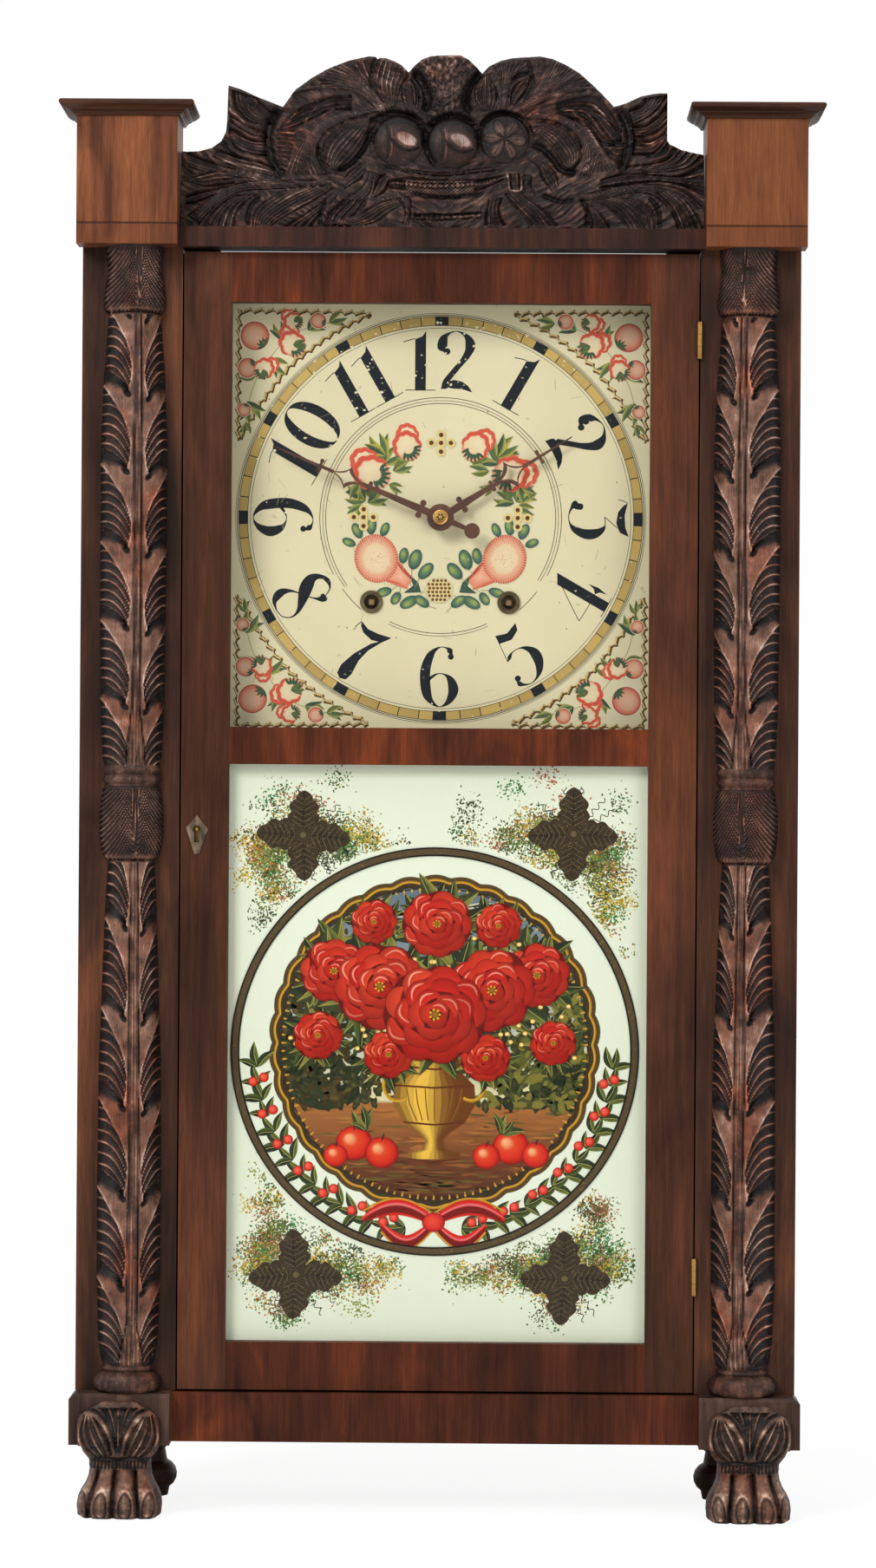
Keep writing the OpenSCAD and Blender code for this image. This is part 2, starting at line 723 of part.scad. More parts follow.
// Beads that hold one pane
module bead_frame(z0, z1) {
    y = front_y + lip_t + glass_t;
    slab(y, y + 4) difference() {
        translate([-glass_half - rebate, z0 - rebate])
            square([2 * (glass_half + rebate), z1 - z0 + 2 * rebate]);
        translate([-glass_half, z0]) square([2 * glass_half, z1 - z0]);
    }
}
module glass_beads() {
    color(wood) {
        bead_frame(upper_bottom, upper_top);
        bead_frame(tablet_bottom, tablet_top);
    }
}

// ---- hinges ----
module leaf(x0, x1, z) {
    block(x0, x1, hinge_y + knuckle_r + 2 * fit, front_y + leaf_d, z - hinge_h / 2, z + hinge_h / 2);
}
module knuckle(z0, z1, bore) {
    translate([hinge_x, hinge_y, z0]) difference() {
        cylinder(h = z1 - z0, r = knuckle_r);
        translate([0, 0, -1]) cylinder(h = z1 - z0 + 2, r = bore);
    }
}
knuckle_h = hinge_h / 3;
// Fixed half of each hinge: leaf in the stile, two knuckles and the pin
module hinge_case_leaves() {
    color(brass) for (z = hinge_zs) {
        leaf(stile_in, stile_in + leaf_t, z);
        for (s = [-1, 1]) {
            zc = z + s * knuckle_h;
            translate([hinge_x, hinge_y, zc - knuckle_h / 2 + 0.1]) cylinder(h = knuckle_h - 0.2, r = knuckle_r);
            block(hinge_x, stile_in + leaf_t, hinge_y, front_y + 1, zc - knuckle_h / 2 + 0.1, zc + knuckle_h / 2 - 0.1);
        }
        translate([hinge_x, hinge_y, z - hinge_h / 2]) cylinder(h = hinge_h, r = hinge_pin_r);
    }
}
module hinge_door_leaves() {
    color(brass) for (z = hinge_zs) difference() {
        union() {
            leaf(door_half - leaf_t, door_half, z);
            translate([hinge_x, hinge_y, z - knuckle_h / 2 + 0.1]) cylinder(h = knuckle_h - 0.2, r = knuckle_r);
            block(door_half - leaf_t, hinge_x, hinge_y, front_y + 1, z - knuckle_h / 2 + 0.1, z + knuckle_h / 2 - 0.1);
        }
        translate([hinge_x, hinge_y, z - hinge_h]) cylinder(h = 2 * hinge_h, r = hinge_pin_r + fit);
    }
}

// ---- lock ----
module door_lock() {
    x0 = -door_half;
    x1 = -door_half + lock_w;
    color(brass) difference() {
        union() {
            block(x0, x1, door_back_y - lock_t, door_back_y, lock_z - lock_up / 2, lock_z + lock_up / 2);
        }
        // Room for the bolt
        block(x0 - 1, x1 - 2, bolt_y - pass, bolt_y + bolt_t + pass,
            lock_z - bolt_half - pass, lock_z + bolt_half + pass);
        rod([keyhole_x, lock_z + 2], 2.4, door_back_y - lock_t - 1, bolt_y);
    }
    color(iron) rod([keyhole_x, lock_z + 2], 0.9, front_y + 1, bolt_y - 0.3);
}
module lock_bolt() {
    color(brass) block(-door_half + 0.2, -door_half + 14, bolt_y, bolt_y + bolt_t,
        lock_z - bolt_half, lock_z + bolt_half);
}
module escutcheon() {
    color([0.75, 0.62, 0.42]) slab(front_y - 0.8, front_y) difference() {
        translate([keyhole_x, lock_z]) polygon([[0, 11], [7.2, 2], [1.5, -14], [-1.5, -14], [-7, 3]]);
        translate([keyhole_x, lock_z + 2]) circle(r = 2.6);
        translate([keyhole_x - 1.5, lock_z - 6.5]) square([3, 8.5]);
    }
}

// ---- dial ----
hole_r = 6;
module dial() {
    color(cream) slab(dial_y, dial_back_y) difference() {
        translate([-dial_w / 2, dial_cz - dial_h / 2]) square([dial_w, dial_h]);
        translate(centre) circle(r = hole_r);
        for (p = [wind_r, wind_l])
            translate(p) circle(r = hole_r);
    }
}
module dial_fittings() {
    color(brass) {
        for (p = [wind_r, wind_l]) {
            slab(dial_y - 1.2, dial_y) translate(p) difference() {
                circle(r = 7.5);
                circle(r = 4.8);
            }
            slab(dial_y, dial_back_y) translate(p) difference() {
                circle(r = hole_r - fit);
                circle(r = 4.8);
            }
        }
        for (x = [-1, 1])
            for (z = [-1, 0.55])
                rod([x * (channel_x + channel_t / 2), dial_cz + z * (dial_h / 2 - 8)], 2.4, dial_y - 1.5, dial_y);
    }
}
// Open star with hollow sides, half height h and half width w
function star_side(a, b) = [for (i = [0:5]) let (t = i / 6, c = 0.21 * (a + b))
    (1 - t) * (1 - t) * a + 2 * t * (1 - t) * c + t * t * b];
function star(h, w) = let (p = [[0, h], [w, 0], [0, -h], [-w, 0]])
    [for (k = [0:3]) each star_side(p[k], p[(k + 1) % 4])];
// A hand pointing up: stem, open star from low to high, fine tip, and crossbars as [radius, half width, knob]
module hand_blade(len, low, high, w, bars) {
    half = (high - low) / 2;
    polygon([[-2.1, 0], [-2.5, bars[0][0]], [-1.3, low + 3], [1.3, low + 3], [2.5, bars[0][0]], [2.1, 0]]);
    polygon([[-1.2, high - 3], [-1, bars[2][0]], [-0.35, len], [0.35, len], [1, bars[2][0]], [1.2, high - 3]]);
    translate([0, low + half]) difference() {
        polygon(star(half, w));
        translate([0, 1]) scale([0.66, 0.7]) polygon(star(half, w));
    }
    for (b = bars) {
        translate([-b[1], b[0] - 0.9]) square([2 * b[1], 1.8]);
        for (s = [-1, 1])
            translate([s * b[1], b[0]]) circle(r = b[2]);
    }
}
hand_t = 1.2;
hand_gap = 4.5;
hour_hand_y = dial_y - 7;
minute_hand_y = hour_hand_y - hand_gap;
module minute_hand() {
    color(iron) slab(minute_hand_y, minute_hand_y + hand_t) translate(centre) difference() {
        union() {
            rotate(-minute_at) {
                hand_blade(minute_len, 52.7, 79, star_w - 2.2, [[14, 4.2, 2.05], [50.5, 2.5, 1.4], [85.5, 3.6, 1.4]]);
                polygon([[-2.4, 0], [-1.2, -tail_len], [1.2, -tail_len], [2.4, 0]]);
                translate([0, -tail_len]) circle(r = 5.1);
            }
            circle(r = hub_r);
        }
        circle(r = arbor_r + fit);
    }
    // Brass collet, and cannon pipe with its pinion
    color(brass) {
        difference() {
            union() {
                rod(centre, hub_r * 0.56, minute_hand_y - 0.8, minute_hand_y);
                rod(centre, cannon_r, minute_hand_y + hand_t, plate_y - 1);
            }
            rod(centre, arbor_r + fit, minute_hand_y - 1, plate_y);
        }
        slab(plate_y - 15, plate_y - 9) translate(centre) difference() {
            polygon(teeth(cannon_n, motion_m, 0.8, 1.1, heading(centre, minute_wheel_at) + 180 / cannon_n));
            circle(r = cannon_r);
        }
    }
}
module hour_hand() {
    color(iron) slab(hour_hand_y, hour_hand_y + hand_t) translate(centre) difference() {
        union() {
            rotate(-hour_at)
                hand_blade(hour_len, 41, 67, star_w, [[16.5, 3.9, 1.9], [39.7, 2.5, 1.4], [76, 3.6, 1.4]]);
            circle(r = hub_r - 0.8);
        }
        circle(r = cannon_r + fit);
    }
    color(brass) {
        difference() {
            rod(centre, hour_pipe_r, hour_hand_y + hand_t, dial_back_y + 3);
            rod(centre, cannon_r + fit, hour_hand_y, plate_y);
        }
        slab(dial_back_y + 3, dial_back_y + 3 + wheel_t) translate(centre) difference() {
            polygon(teeth(hour_n, hour_m, 0.8, 1.1, heading(centre, minute_wheel_at)));
            circle(r = cannon_r + fit);
        }
    }
}
module minute_wheel() {
    y = plate_y - 12;
    color(brass) difference() {
        union() {
            slab(y, y + wheel_t) translate(minute_wheel_at)
                polygon(teeth(minute_n, motion_m, 0.8, 1.1, heading(minute_wheel_at, centre)));
            slab(dial_back_y + 2, y) translate(minute_wheel_at)
                polygon(teeth(hour_pin_n, hour_m, 0.8, 1.1, heading(minute_wheel_at, centre) + 180 / hour_pin_n));
        }
        rod(minute_wheel_at, arbor_r + fit, dial_back_y, plate_y);
    }
}

// ---- movement frame ----
// The upper pillars stand clear of the hammer's swing
upper_pillar = plate_half - 22;
pillars = [[-upper_pillar, plate_up - 8], [upper_pillar, plate_up - 8],
    [-plate_half + 8, 8 - plate_down], [plate_half - 8, 8 - plate_down]];
// [place, arbor radius] of every arbor that both plates carry
pivots = [[centre, arbor_r], [second_at, arbor_r], [third_at, arbor_r], [escape_at, arbor_r],
    [wind_r, barrel_arbor_r], [wind_l, barrel_arbor_r], [pin_at, arbor_r], [warn_at, arbor_r],
    [fly_at, arbor_r], [hammer_at, arbor_r]];
module plate_shape(holes) {
    difference() {
        translate([-plate_half, dial_cz - plate_down]) square([2 * plate_half, plate_up + plate_down]);
        for (p = holes)
            translate(p[0]) circle(r = p[1] + fit);
    }
}
bridge_y = plate_y - 12;
bridge_half = 18;
module front_plate() {
    color(brass) {
        slab(plate_y, inner_y) plate_shape(concat(pivots, [[verge_at, arbor_r]]));
        // Bridge of the verge, with the pin that the pendulum hangs on
        slab(bridge_y, bridge_y + 1.5) translate(verge_at) difference() {
            translate([-bridge_half - 3, -3.5]) square([2 * bridge_half + 6, 10]);
            circle(r = arbor_r + fit);
        }
        both() rod(verge_at + [bridge_half, 1.5], 2.2, bridge_y + 1.5, plate_y);
        rod(hang_at, 1.2, dial_back_y + 1.5, bridge_y);
        rod(minute_wheel_at, arbor_r, dial_back_y + 1.5, plate_y);
    }
}
module back_plate() {
    color(brass) {
        slab(rear_plate_y, rear_plate_y + plate_t) plate_shape(pivots);
        for (p = pillars)
            rod(centre + p, 3, inner_y, rear_plate_y);
    }
}

// ---- wheels ----
module wheel(p, n, m, y, at, hub) {
    slab(y, y + wheel_t) translate(p) difference() {
        polygon(teeth(n, m, 1, 1.3, at));
        // Crossings between four arms
        if (m * n > 30)
            for (a = [45:90:315])
                rotate(a) difference() {
                    intersection() {
                        circle(r = m * (n / 2 - 3.4));
                        translate([1.6, 1.6]) square(60);
                    }
                    circle(r = hub + 3);
                }
        circle(r = hub - eps);
    }
}
// Lantern pinion: round wires between two discs
module lantern(p, k, m, y0, y1, at) {
    for (y = [y0, y1 - 1])
        slab(y, y + 1) translate(p) circle(r = m * (k / 2 + 1));
    for (i = [0:k - 1])
        rod(beside(p, m * k / 2, at + 360 * i / k), m * 0.5, y0 + 0.5, y1 - 0.5);
}
module time_great_wheel() {
    color(brass) slab(great_y, great_y + 2) translate(wind_r) difference() {
        polygon(teeth(great_n, great_m, 1, 1.3, heading(wind_r, second_at)));
        circle(r = barrel_arbor_r + fit);
    }
}
module second_wheel() {
    color(brass) {
        wheel(second_at, second_n, second_m, second_y, heading(second_at, centre), arbor_r);
        lantern(second_at, leaves, great_m, great_y - 1.5, great_y + 3.5,
            heading(second_at, wind_r) + 180 / leaves);
    }
    color(iron) rod(second_at, arbor_r, plate_y, rear_plate_y + plate_t);
}
module centre_wheel() {
    color(brass) {
        wheel(centre, centre_n, centre_m, centre_y, heading(centre, third_at), arbor_r);
        lantern(centre, leaves, second_m, second_y - 1.5, second_y + 3,
            heading(centre, second_at) + 180 / leaves);
    }
    color(iron) rod(centre, arbor_r, minute_hand_y - 2, rear_plate_y + plate_t);
}
module third_wheel() {
    color(brass) {
        wheel(third_at, third_n, third_m, third_y, heading(third_at, escape_at), arbor_r);
        lantern(third_at, leaves, centre_m, centre_y - 1.5, centre_y + 3,
            heading(third_at, centre) + 180 / leaves);
    }
    color(iron) rod(third_at, arbor_r, plate_y, rear_plate_y + plate_t);
}
module escape_wheel() {
    color(brass) {
        slab(escape_y, escape_y + 1.2) translate(escape_at) difference() {
            polygon(saw(escape_n, escape_r, 2.4, 90));
            for (a = [0:90:270])
                rotate(a) translate([7.8, 0]) circle(r = 4.2);
        }
        lantern(escape_at, small_leaves, third_m, third_y - 1.5, third_y + 3,
            heading(escape_at, third_at) + 180 / small_leaves);
    }
    color(iron) rod(escape_at, arbor_r, escape_y - 0.5, rear_plate_y + plate_t);
}
pallet_gap = 1.3;
crutch_len = 33;
module verge() {
    reach = escape_r + pallet_gap;
    color(iron) {
        slab(escape_y, escape_y + 1.2) difference() {
            for (s = [-1, 1]) {
                tip = beside(escape_at, reach, 90 - s * 40.5);
                hull() {
                    translate(verge_at) circle(r = 3, $fn = 24);
                    translate(tip + [s * 1.2, 1.4]) circle(r = 1.1, $fn = 24);
                }
            }
            translate(escape_at) circle(r = reach, $fn = 96);
        }
        rod(verge_at, arbor_r, dial_back_y + 7, inner_y + 1);
        // Crutch with its fork round the pendulum rod
        slab(dial_back_y + 7, dial_back_y + 8) translate(verge_at) union() {
            translate([-1, 2 - crutch_len]) square([2, crutch_len - 2]);
            translate([-3.4, -crutch_len]) square([6.8, 2.4]);
            circle(r = 2.4);
        }
        for (s = [-1, 1])
            block(s * 2.6 - 0.8, s * 2.6 + 0.8, dial_back_y + 2, dial_back_y + 7.5,
                verge_at[1] - crutch_len, verge_at[1] - crutch_len + 2.4);
    }
}
rod_y = dial_back_y + 3.5;
module pendulum() {
    bob_z = hang_at[1] - pendulum_len;
    color(iron) {
        difference() {
            rod(hang_at, 2.6, rod_y - 1, rod_y + 1);
            rod(hang_at, 1.2 + fit, rod_y - 2, rod_y + 2);
        }
        translate([0, rod_y, bob_z + bob_r - 1]) cylinder(h = pendulum_len - bob_r - 1, r = 0.9);
    }
    color(brass) translate([0, rod_y, bob_z]) rotate([90, 0, 0])
        rotate_extrude() polygon(concat(
            [[0, -6], [6, -6]],
            [[bob_r - 3, -2.2], [bob_r, -0.8], [bob_r, 0.8], [bob_r - 3, 2.2]],
            [[6, 6], [0, 6]]
        ));
}

// ---- drums, cords, pulleys and weights ----
// Winding drum with its square-ended arbor and the cord wound on it
module drum(p) {
    color(pine) difference() {
        union() {
            rod(p, drum_r, drum_y0, drum_y1);
            rod(p, drum_r + 5, drum_y0, drum_y0 + 1.5);
            rod(p, drum_r + 5, drum_y1 - 1.5, drum_y1);
        }
        rod(p, barrel_arbor_r, drum_y0 - 1, drum_y1 + 1);
    }
    color(iron) {
        rod(p, barrel_arbor_r, dial_back_y + 1, rear_plate_y + plate_t);
        slab(dial_y + 1.5, dial_back_y + 1) translate(p) square(3.4, center = true);
    }
}
module pulley(p) {
    color(brass) at(p) translate([0, cord_y, 0]) rotate([90, 0, 0]) difference() {
        union() {
            cylinder(h = 5, r = pulley_r, center = true);
            for (s = [-1, 1])
                translate([0, 0, s * 2]) cylinder(h = 1.2, r = pulley_r + 2.4, center = true);
        }
        cylinder(h = 9, r = 1.5 + fit, center = true);
    }
}
// Iron bracket that carries a pulley's pin under the top board
module pulley_bracket(p) {
    color(iron) {
        for (s = [-1, 1])
            slab(cord_y + s * 4.2 - 0.8, cord_y + s * 4.2 + 0.8)
                translate([p[0] - 5, p[1] - 5]) square([10, top_z - p[1] + 5]);
        rod(p, 1.5, cord_y - 4.2, cord_y + 4.2);
        block(p[0] - 12, p[0] + 12, cord_y - 9, cord_y + 9, top_z - 2, top_z);
    }
}
// Straight run of cord from under the drum to the pulley and its bend over the pulley
module drum_cord(p, q, turn) {
    d = norm(q - p);
    a = heading(p, q);
    lean = asin((cord_line + drum_line) / d);
    // Direction from the pulley's centre to its tangent point
    n = a + turn * (90 + lean);
    start = beside(p, drum_line, n + 180);
    end = beside(q, cord_line, n);
    len = norm(end - start);
    color([0.5, 0.42, 0.3]) {
        translate([start[0], cord_y, start[1]])
            rotate([0, 90 - heading(start, end), 0])
                cylinder(h = len, r = cord_r, $fn = 20);
        out = turn > 0 ? 0 : 180;
        translate([q[0], cord_y, q[1]])
            rotate([90, 0, 0])
                rotate([0, 0, turn > 0 ? out : n])
                    rotate_extrude(angle = turn > 0 ? n - out : out - n, $fn = 64)
                        translate([cord_line, 0]) circle(r = cord_r, $fn = 20);
    }
}
module drum_cords() {
    drum_cord(wind_r, pulley_rr, 1);
    drum_cord(wind_l, pulley_ll, -1);
}
module fall_cord(s) {
    color([0.5, 0.42, 0.3]) translate([s * weight_x, cord_y, weight_top])
        cylinder(h = pulley_z - weight_top, r = cord_r, $fn = 20);
}
module weight(s) {
    color(iron) translate([s * weight_x, cord_y, weight_top - hook_h - weight_h]) {
        cylinder(h = weight_h, r1 = weight_r, r2 = weight_r - 1.5);
        translate([0, 0, weight_h]) cylinder(h = 5, r = 3);
        translate([0, 0, weight_h + 8]) rotate([90, 0, 0])
            rotate_extrude() translate([4, 0]) circle(r = 1, $fn = 20);
    }
}

// ---- strike train ----
// Radius of the ring of lifting pins on the rim of the pin wheel
lift_r = pin_m * (second_n / 2 - 2.4);
module strike_great_wheel() {
    color(brass) {
        slab(great_y, great_y + 2) translate(wind_l) difference() {
            polygon(teeth(great_n, great_m, 1, 1.3, heading(wind_l, pin_at)));
            circle(r = barrel_arbor_r + fit);
        }
        difference() {
            rod(wind_l, 6, great_y + 2, count_y);
            rod(wind_l, barrel_arbor_r + fit, great_y, count_y + 1);
        }
        // Count wheel with its twelve notches spaced for one to twelve blows
        slab(count_y, count_y + 1.2) translate(wind_l) difference() {
            circle(r = 30, $fn = 96);
            circle(r = barrel_arbor_r + fit);
            for (k = [1:12])
                rotate(k * (k + 1) / 2 / 78 * 360) translate([27, -1]) square([5, 2]);
        }
    }
}
module pin_wheel() {
    color(brass) {
        wheel(pin_at, second_n, pin_m, second_y, heading(pin_at, warn_at), arbor_r);
        lantern(pin_at, leaves, great_m, great_y - 1.5, great_y + 3.5,
            heading(pin_at, wind_l) + 180 / leaves);
        for (a = [0:45:315])
            rod(beside(pin_at, lift_r, a), 0.8, great_y + 2 + pass, second_y + 0.1);
    }
    color(iron) rod(pin_at, arbor_r, plate_y, rear_plate_y + plate_t);
}
module warning_wheel() {
    color(brass) {
        wheel(warn_at, warn_n, warn_m, centre_y, heading(warn_at, fly_at), arbor_r);
        lantern(warn_at, leaves, pin_m, second_y - 1.5, second_y + 3,
            heading(warn_at, pin_at) + 180 / leaves);
    }
    color(iron) rod(warn_at, arbor_r, plate_y, rear_plate_y + plate_t);
}
module fly() {
    color(brass) {
        lantern(fly_at, small_leaves, warn_m, centre_y - 1.5, centre_y + 3,
            heading(fly_at, warn_at) + 180 / small_leaves);
        at(fly_at) {
            block(-14, 14, inner_y + 5, inner_y + 15, -0.4, 0.4);
            rod([0, 0], 2, inner_y + 5, inner_y + 15);
        }
    }
    color(iron) rod(fly_at, arbor_r, plate_y, rear_plate_y + plate_t);
}
module hammer() {
    head = bell_at - [bell_r + 4.6, 0];
    a = heading(hammer_at, head);
    color(iron) {
        rod(hammer_at, arbor_r, plate_y, rear_plate_y + plate_t);
        slab(second_y - 3.4, second_y - 2) translate(hammer_at) difference() {
            union() {
                circle(r = 3);
                rotate(a) translate([0, -1]) square([norm(head - hammer_at), 2]);
                // Tail that the pins lift
                rotate(heading(hammer_at, pin_at)) translate([0, -1]) square([norm(pin_at - hammer_at) - lift_r - 1.2, 2]);
            }
            circle(r = arbor_r - eps);
        }
        // The head reaches from the bell's rim to the arm
        rod(head, 4, min(bell_y - 8, second_y - 4.4), max(bell_y + 2, second_y - 1));
    }
}
module bell() {
    color(brass) translate([bell_at[0], bell_y, bell_at[1]]) rotate([90, 0, 0])
        rotate_extrude() polygon(concat(
            arc([0, -6], bell_r, 0, 84, 12),
            [[3, bell_r - 6], [3, bell_r - 8.5]],
            arc([0, -6], bell_r - 2.5, 83, 0, 12)
        ));
    color(iron) {
        rod(bell_at, 2.9, bell_y - bell_r + 4, board_y);
        rod(bell_at, 5, bell_y - bell_r + 3, bell_y - bell_r + 6);
        rod(bell_at, 6, board_y - 2, board_y);
    }
}

backboard();
mirrored() case_side();  // side_left
case_side();  // side_right
top_board();
bottom_board();
stile_left();
stile_right();
top_rail();
base_rail();
both() plinth_block();  // plinth_blocks
mirrored() paw_foot();  // paw_foot_left
paw_foot();  // paw_foot_right
both() rear_foot();  // rear_feet
mirrored() column();  // column_left
column();  // column_right
both() top_block();  // top_blocks
both() block_cap();  // block_caps
crest();
inner_boards();
dial();
dial_fittings();
front_plate();
back_plate();
bell();
both() pulley_bracket(pulley_rr);  // pulley_brackets
hinge_case_leaves();
drum_cords();
door_stile_left();
door_stile_right();
door_rails();
dial_glass();
tablet_glass();
glass_beads();
door_lock();
escutcheon();
hinge_door_leaves();
lock_bolt();
minute_hand();
hour_hand();
minute_wheel();
time_great_wheel();
second_wheel();
centre_wheel();
third_wheel();
escape_wheel();
drum(wind_r);  // time_drum
pendulum();
verge();
weight(1);  // time_weight
weight(-1);  // strike_weight
fall_cord(1);  // time_fall_cord
fall_cord(-1);  // strike_fall_cord
pulley(pulley_rr);  // time_pulley
pulley(pulley_ll);  // strike_pulley
drum(wind_l);  // strike_drum
strike_great_wheel();
pin_wheel();
warning_wheel();
fly();
hammer();
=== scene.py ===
"""Looks of a carved half-column and crest shelf clock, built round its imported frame. Metres."""

import math

import bmesh
import bpy
import numpy as np
from mathutils import Matrix, Vector


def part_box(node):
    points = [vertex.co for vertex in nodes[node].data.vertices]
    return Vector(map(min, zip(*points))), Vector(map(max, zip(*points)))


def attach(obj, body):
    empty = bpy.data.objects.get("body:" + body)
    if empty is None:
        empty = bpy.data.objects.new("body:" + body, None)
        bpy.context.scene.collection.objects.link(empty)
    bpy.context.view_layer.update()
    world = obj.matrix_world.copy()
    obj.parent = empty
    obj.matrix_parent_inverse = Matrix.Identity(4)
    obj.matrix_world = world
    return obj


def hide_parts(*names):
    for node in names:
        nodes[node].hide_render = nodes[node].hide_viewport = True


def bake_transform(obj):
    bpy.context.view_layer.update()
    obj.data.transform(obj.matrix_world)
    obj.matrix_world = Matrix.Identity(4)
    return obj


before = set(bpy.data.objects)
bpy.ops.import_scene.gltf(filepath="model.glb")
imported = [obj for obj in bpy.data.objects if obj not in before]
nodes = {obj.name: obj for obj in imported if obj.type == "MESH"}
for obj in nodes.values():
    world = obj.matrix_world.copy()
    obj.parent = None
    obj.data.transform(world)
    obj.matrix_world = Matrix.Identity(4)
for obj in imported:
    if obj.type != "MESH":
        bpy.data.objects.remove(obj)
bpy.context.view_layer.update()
MM = 0.001


# ---------------------------------------------------------------- shader helpers
def srgb(r, g, b):
    """A colour as the eye reads it, 0 to 255, as the linear colour that a socket takes."""
    return tuple(
        (c / 255 / 12.92 if c <= 10 else ((c / 255 + 0.055) / 1.055) ** 2.4) for c in (r, g, b)
    ) + (1.0,)


class Tree:
    """A node tree with short calls for the nodes that the finishes use."""

    def __init__(self, tree):
        self.tree = tree
        tree.nodes.clear()

    def put(self, value, socket):
        """Link a socket to another one, or write a plain value in it."""
        if isinstance(value, bpy.types.NodeSocket):
            self.tree.links.new(value, socket)
        else:
            socket.default_value = value

    def add(self, kind, inputs=None, **settings):
        node = self.tree.nodes.new(kind)
        for key, value in settings.items():
            setattr(node, key, value)
        for key, value in (inputs or {}).items():
            self.put(value, node.inputs[key])
        return node

    def use(self, group, inputs):
        """The outputs of a shared effect, placed here with its own values."""
        return self.add("ShaderNodeGroup", inputs, node_tree=group).outputs

    def math(self, operation, a, b=0.0, c=0.0, clamp=False):
        node = self.add("ShaderNodeMath", {0: a, 1: b, 2: c}, operation=operation, use_clamp=clamp)
        return node.outputs[0]

    def spread(self, value, low, high, to_low=0.0, to_high=1.0):
        ends = {"From Min": low, "From Max": high, "To Min": to_low, "To Max": to_high}
        return self.add("ShaderNodeMapRange", {"Value": value, **ends}).outputs["Result"]

    def blend(self, share, first, second, how="MIX"):
        node = self.add("ShaderNodeMix", data_type="RGBA", blend_type=how)
        for key, value in (("Factor", share), ("A", first), ("B", second)):
            self.put(value, next(s for s in node.inputs if s.name == key and s.enabled))
        return next(s for s in node.outputs if s.enabled)

    def noise(self, vector, scale, detail=3.0, rough=0.5, warp=0.0):
        node = self.add(
            "ShaderNodeTexNoise",
            {"Vector": vector, "Scale": scale, "Detail": detail, "Roughness": rough, "Distortion": warp},
        )
        return node.outputs["Fac"]

    def stretch(self, vector, scale, shift=(0, 0, 0)):
        node = self.add("ShaderNodeMapping", {"Vector": vector, "Scale": scale, "Location": shift})
        return node.outputs[0]

    def axis(self, vector, letter):
        return self.add("ShaderNodeSeparateXYZ", {0: vector}).outputs[letter]

    def away_from(self, value, line):
        return self.math("ABSOLUTE", self.math("SUBTRACT", value, line))

    def ramp(self, value, stops):
        node = self.add("ShaderNodeValToRGB", {"Fac": value})
        bar = node.color_ramp
        while len(bar.elements) < len(stops):
            bar.elements.new(0.5)
        for element, (place, colour) in zip(bar.elements, stops):
            element.position = place
            element.color = colour
        return node.outputs[0]


class Finish(Tree):
    """A material's tree, with the object's own coordinates and a Principled shader."""

    def __init__(self, name, **shader):
        self.material = bpy.data.materials.new(name)
        self.material.use_nodes = True
        super().__init__(self.material.node_tree)
        self.coords = self.add("ShaderNodeTexCoord").outputs["Object"]
        self.body = self.add("ShaderNodeBsdfPrincipled", shader)
        self.out = self.add("ShaderNodeOutputMaterial", {"Surface": self.body.outputs[0]})

    def dress(self, colour, rough=None, shine=None):
        """Give the shader its colour and, where they are given, its roughness and specular level."""
        for key, value in (("Base Color", colour), ("Roughness", rough), ("Specular IOR Level", shine)):
            if value is not None:
                self.put(value, self.body.inputs[key])

    def bump(self, height, depth, strength=1.0):
        relief = {"Height": height, "Distance": depth, "Strength": strength}
        self.put(self.add("ShaderNodeBump", relief).outputs[0], self.body.inputs["Normal"])


def effect(name, inputs, outputs, build):
    """A shader node group. build(tree, given) returns the sockets that it puts out, in order."""
    group = bpy.data.node_groups.new(name, "ShaderNodeTree")
    for label, kind, value in inputs:
        socket = group.interface.new_socket(label, in_out="INPUT", socket_type="NodeSocket" + kind)
        if value is not None:
            socket.default_value = value
    for label in outputs:
        group.interface.new_socket(label, in_out="OUTPUT", socket_type="NodeSocketFloat")
    tree = Tree(group)
    made = build(tree, tree.add("NodeGroupInput").outputs)
    tree.add("NodeGroupOutput", dict(zip(outputs, made)))
    return group


# ---------------------------------------------------------------- shared effects
def wood_grain(tree, given):
    """Long bands, flames and streaks along Z, fine pores, and slow patches."""
    place = given["Vector"]
    bands = tree.noise(tree.stretch(place, (1.0, 1.0, 0.1)), given["Band scale"], 2.5, 0.55, 0.6)
    flame = tree.noise(tree.stretch(place, (1.0, 1.0, 0.32)), given["Flame scale"], 4, 0.6, 1.2)
    figure = tree.math("ADD", tree.math("MULTIPLY", bands, 0.42), tree.math("MULTIPLY", flame, 0.36))
    streaks = tree.noise(tree.stretch(place, (1.0, 1.0, 0.04)), 240.0, 3.0, 0.6, 0.2)
    figure = tree.math("ADD", figure, tree.math("MULTIPLY", streaks, 0.22))
    pores = tree.noise(tree.stretch(place, (1.0, 1.0, 0.035)), 1500.0, 2.0, 0.7)
    patches = tree.noise(place, 7.0, 3.0, 0.5)
    return tree.spread(figure, 0.38, 0.62), tree.spread(pores, 0.36, 0.62), patches


def old_polish(tree, given):
    """Smears of handling and specks of dust."""
    smears = tree.noise(given["Vector"], 14.0, 5.0, 0.65, 0.8)
    specks = tree.noise(given["Vector"], 620.0, 2.0, 0.8)
    return tree.spread(smears, 0.35, 0.7), tree.math("GREATER_THAN", specks, 0.765)


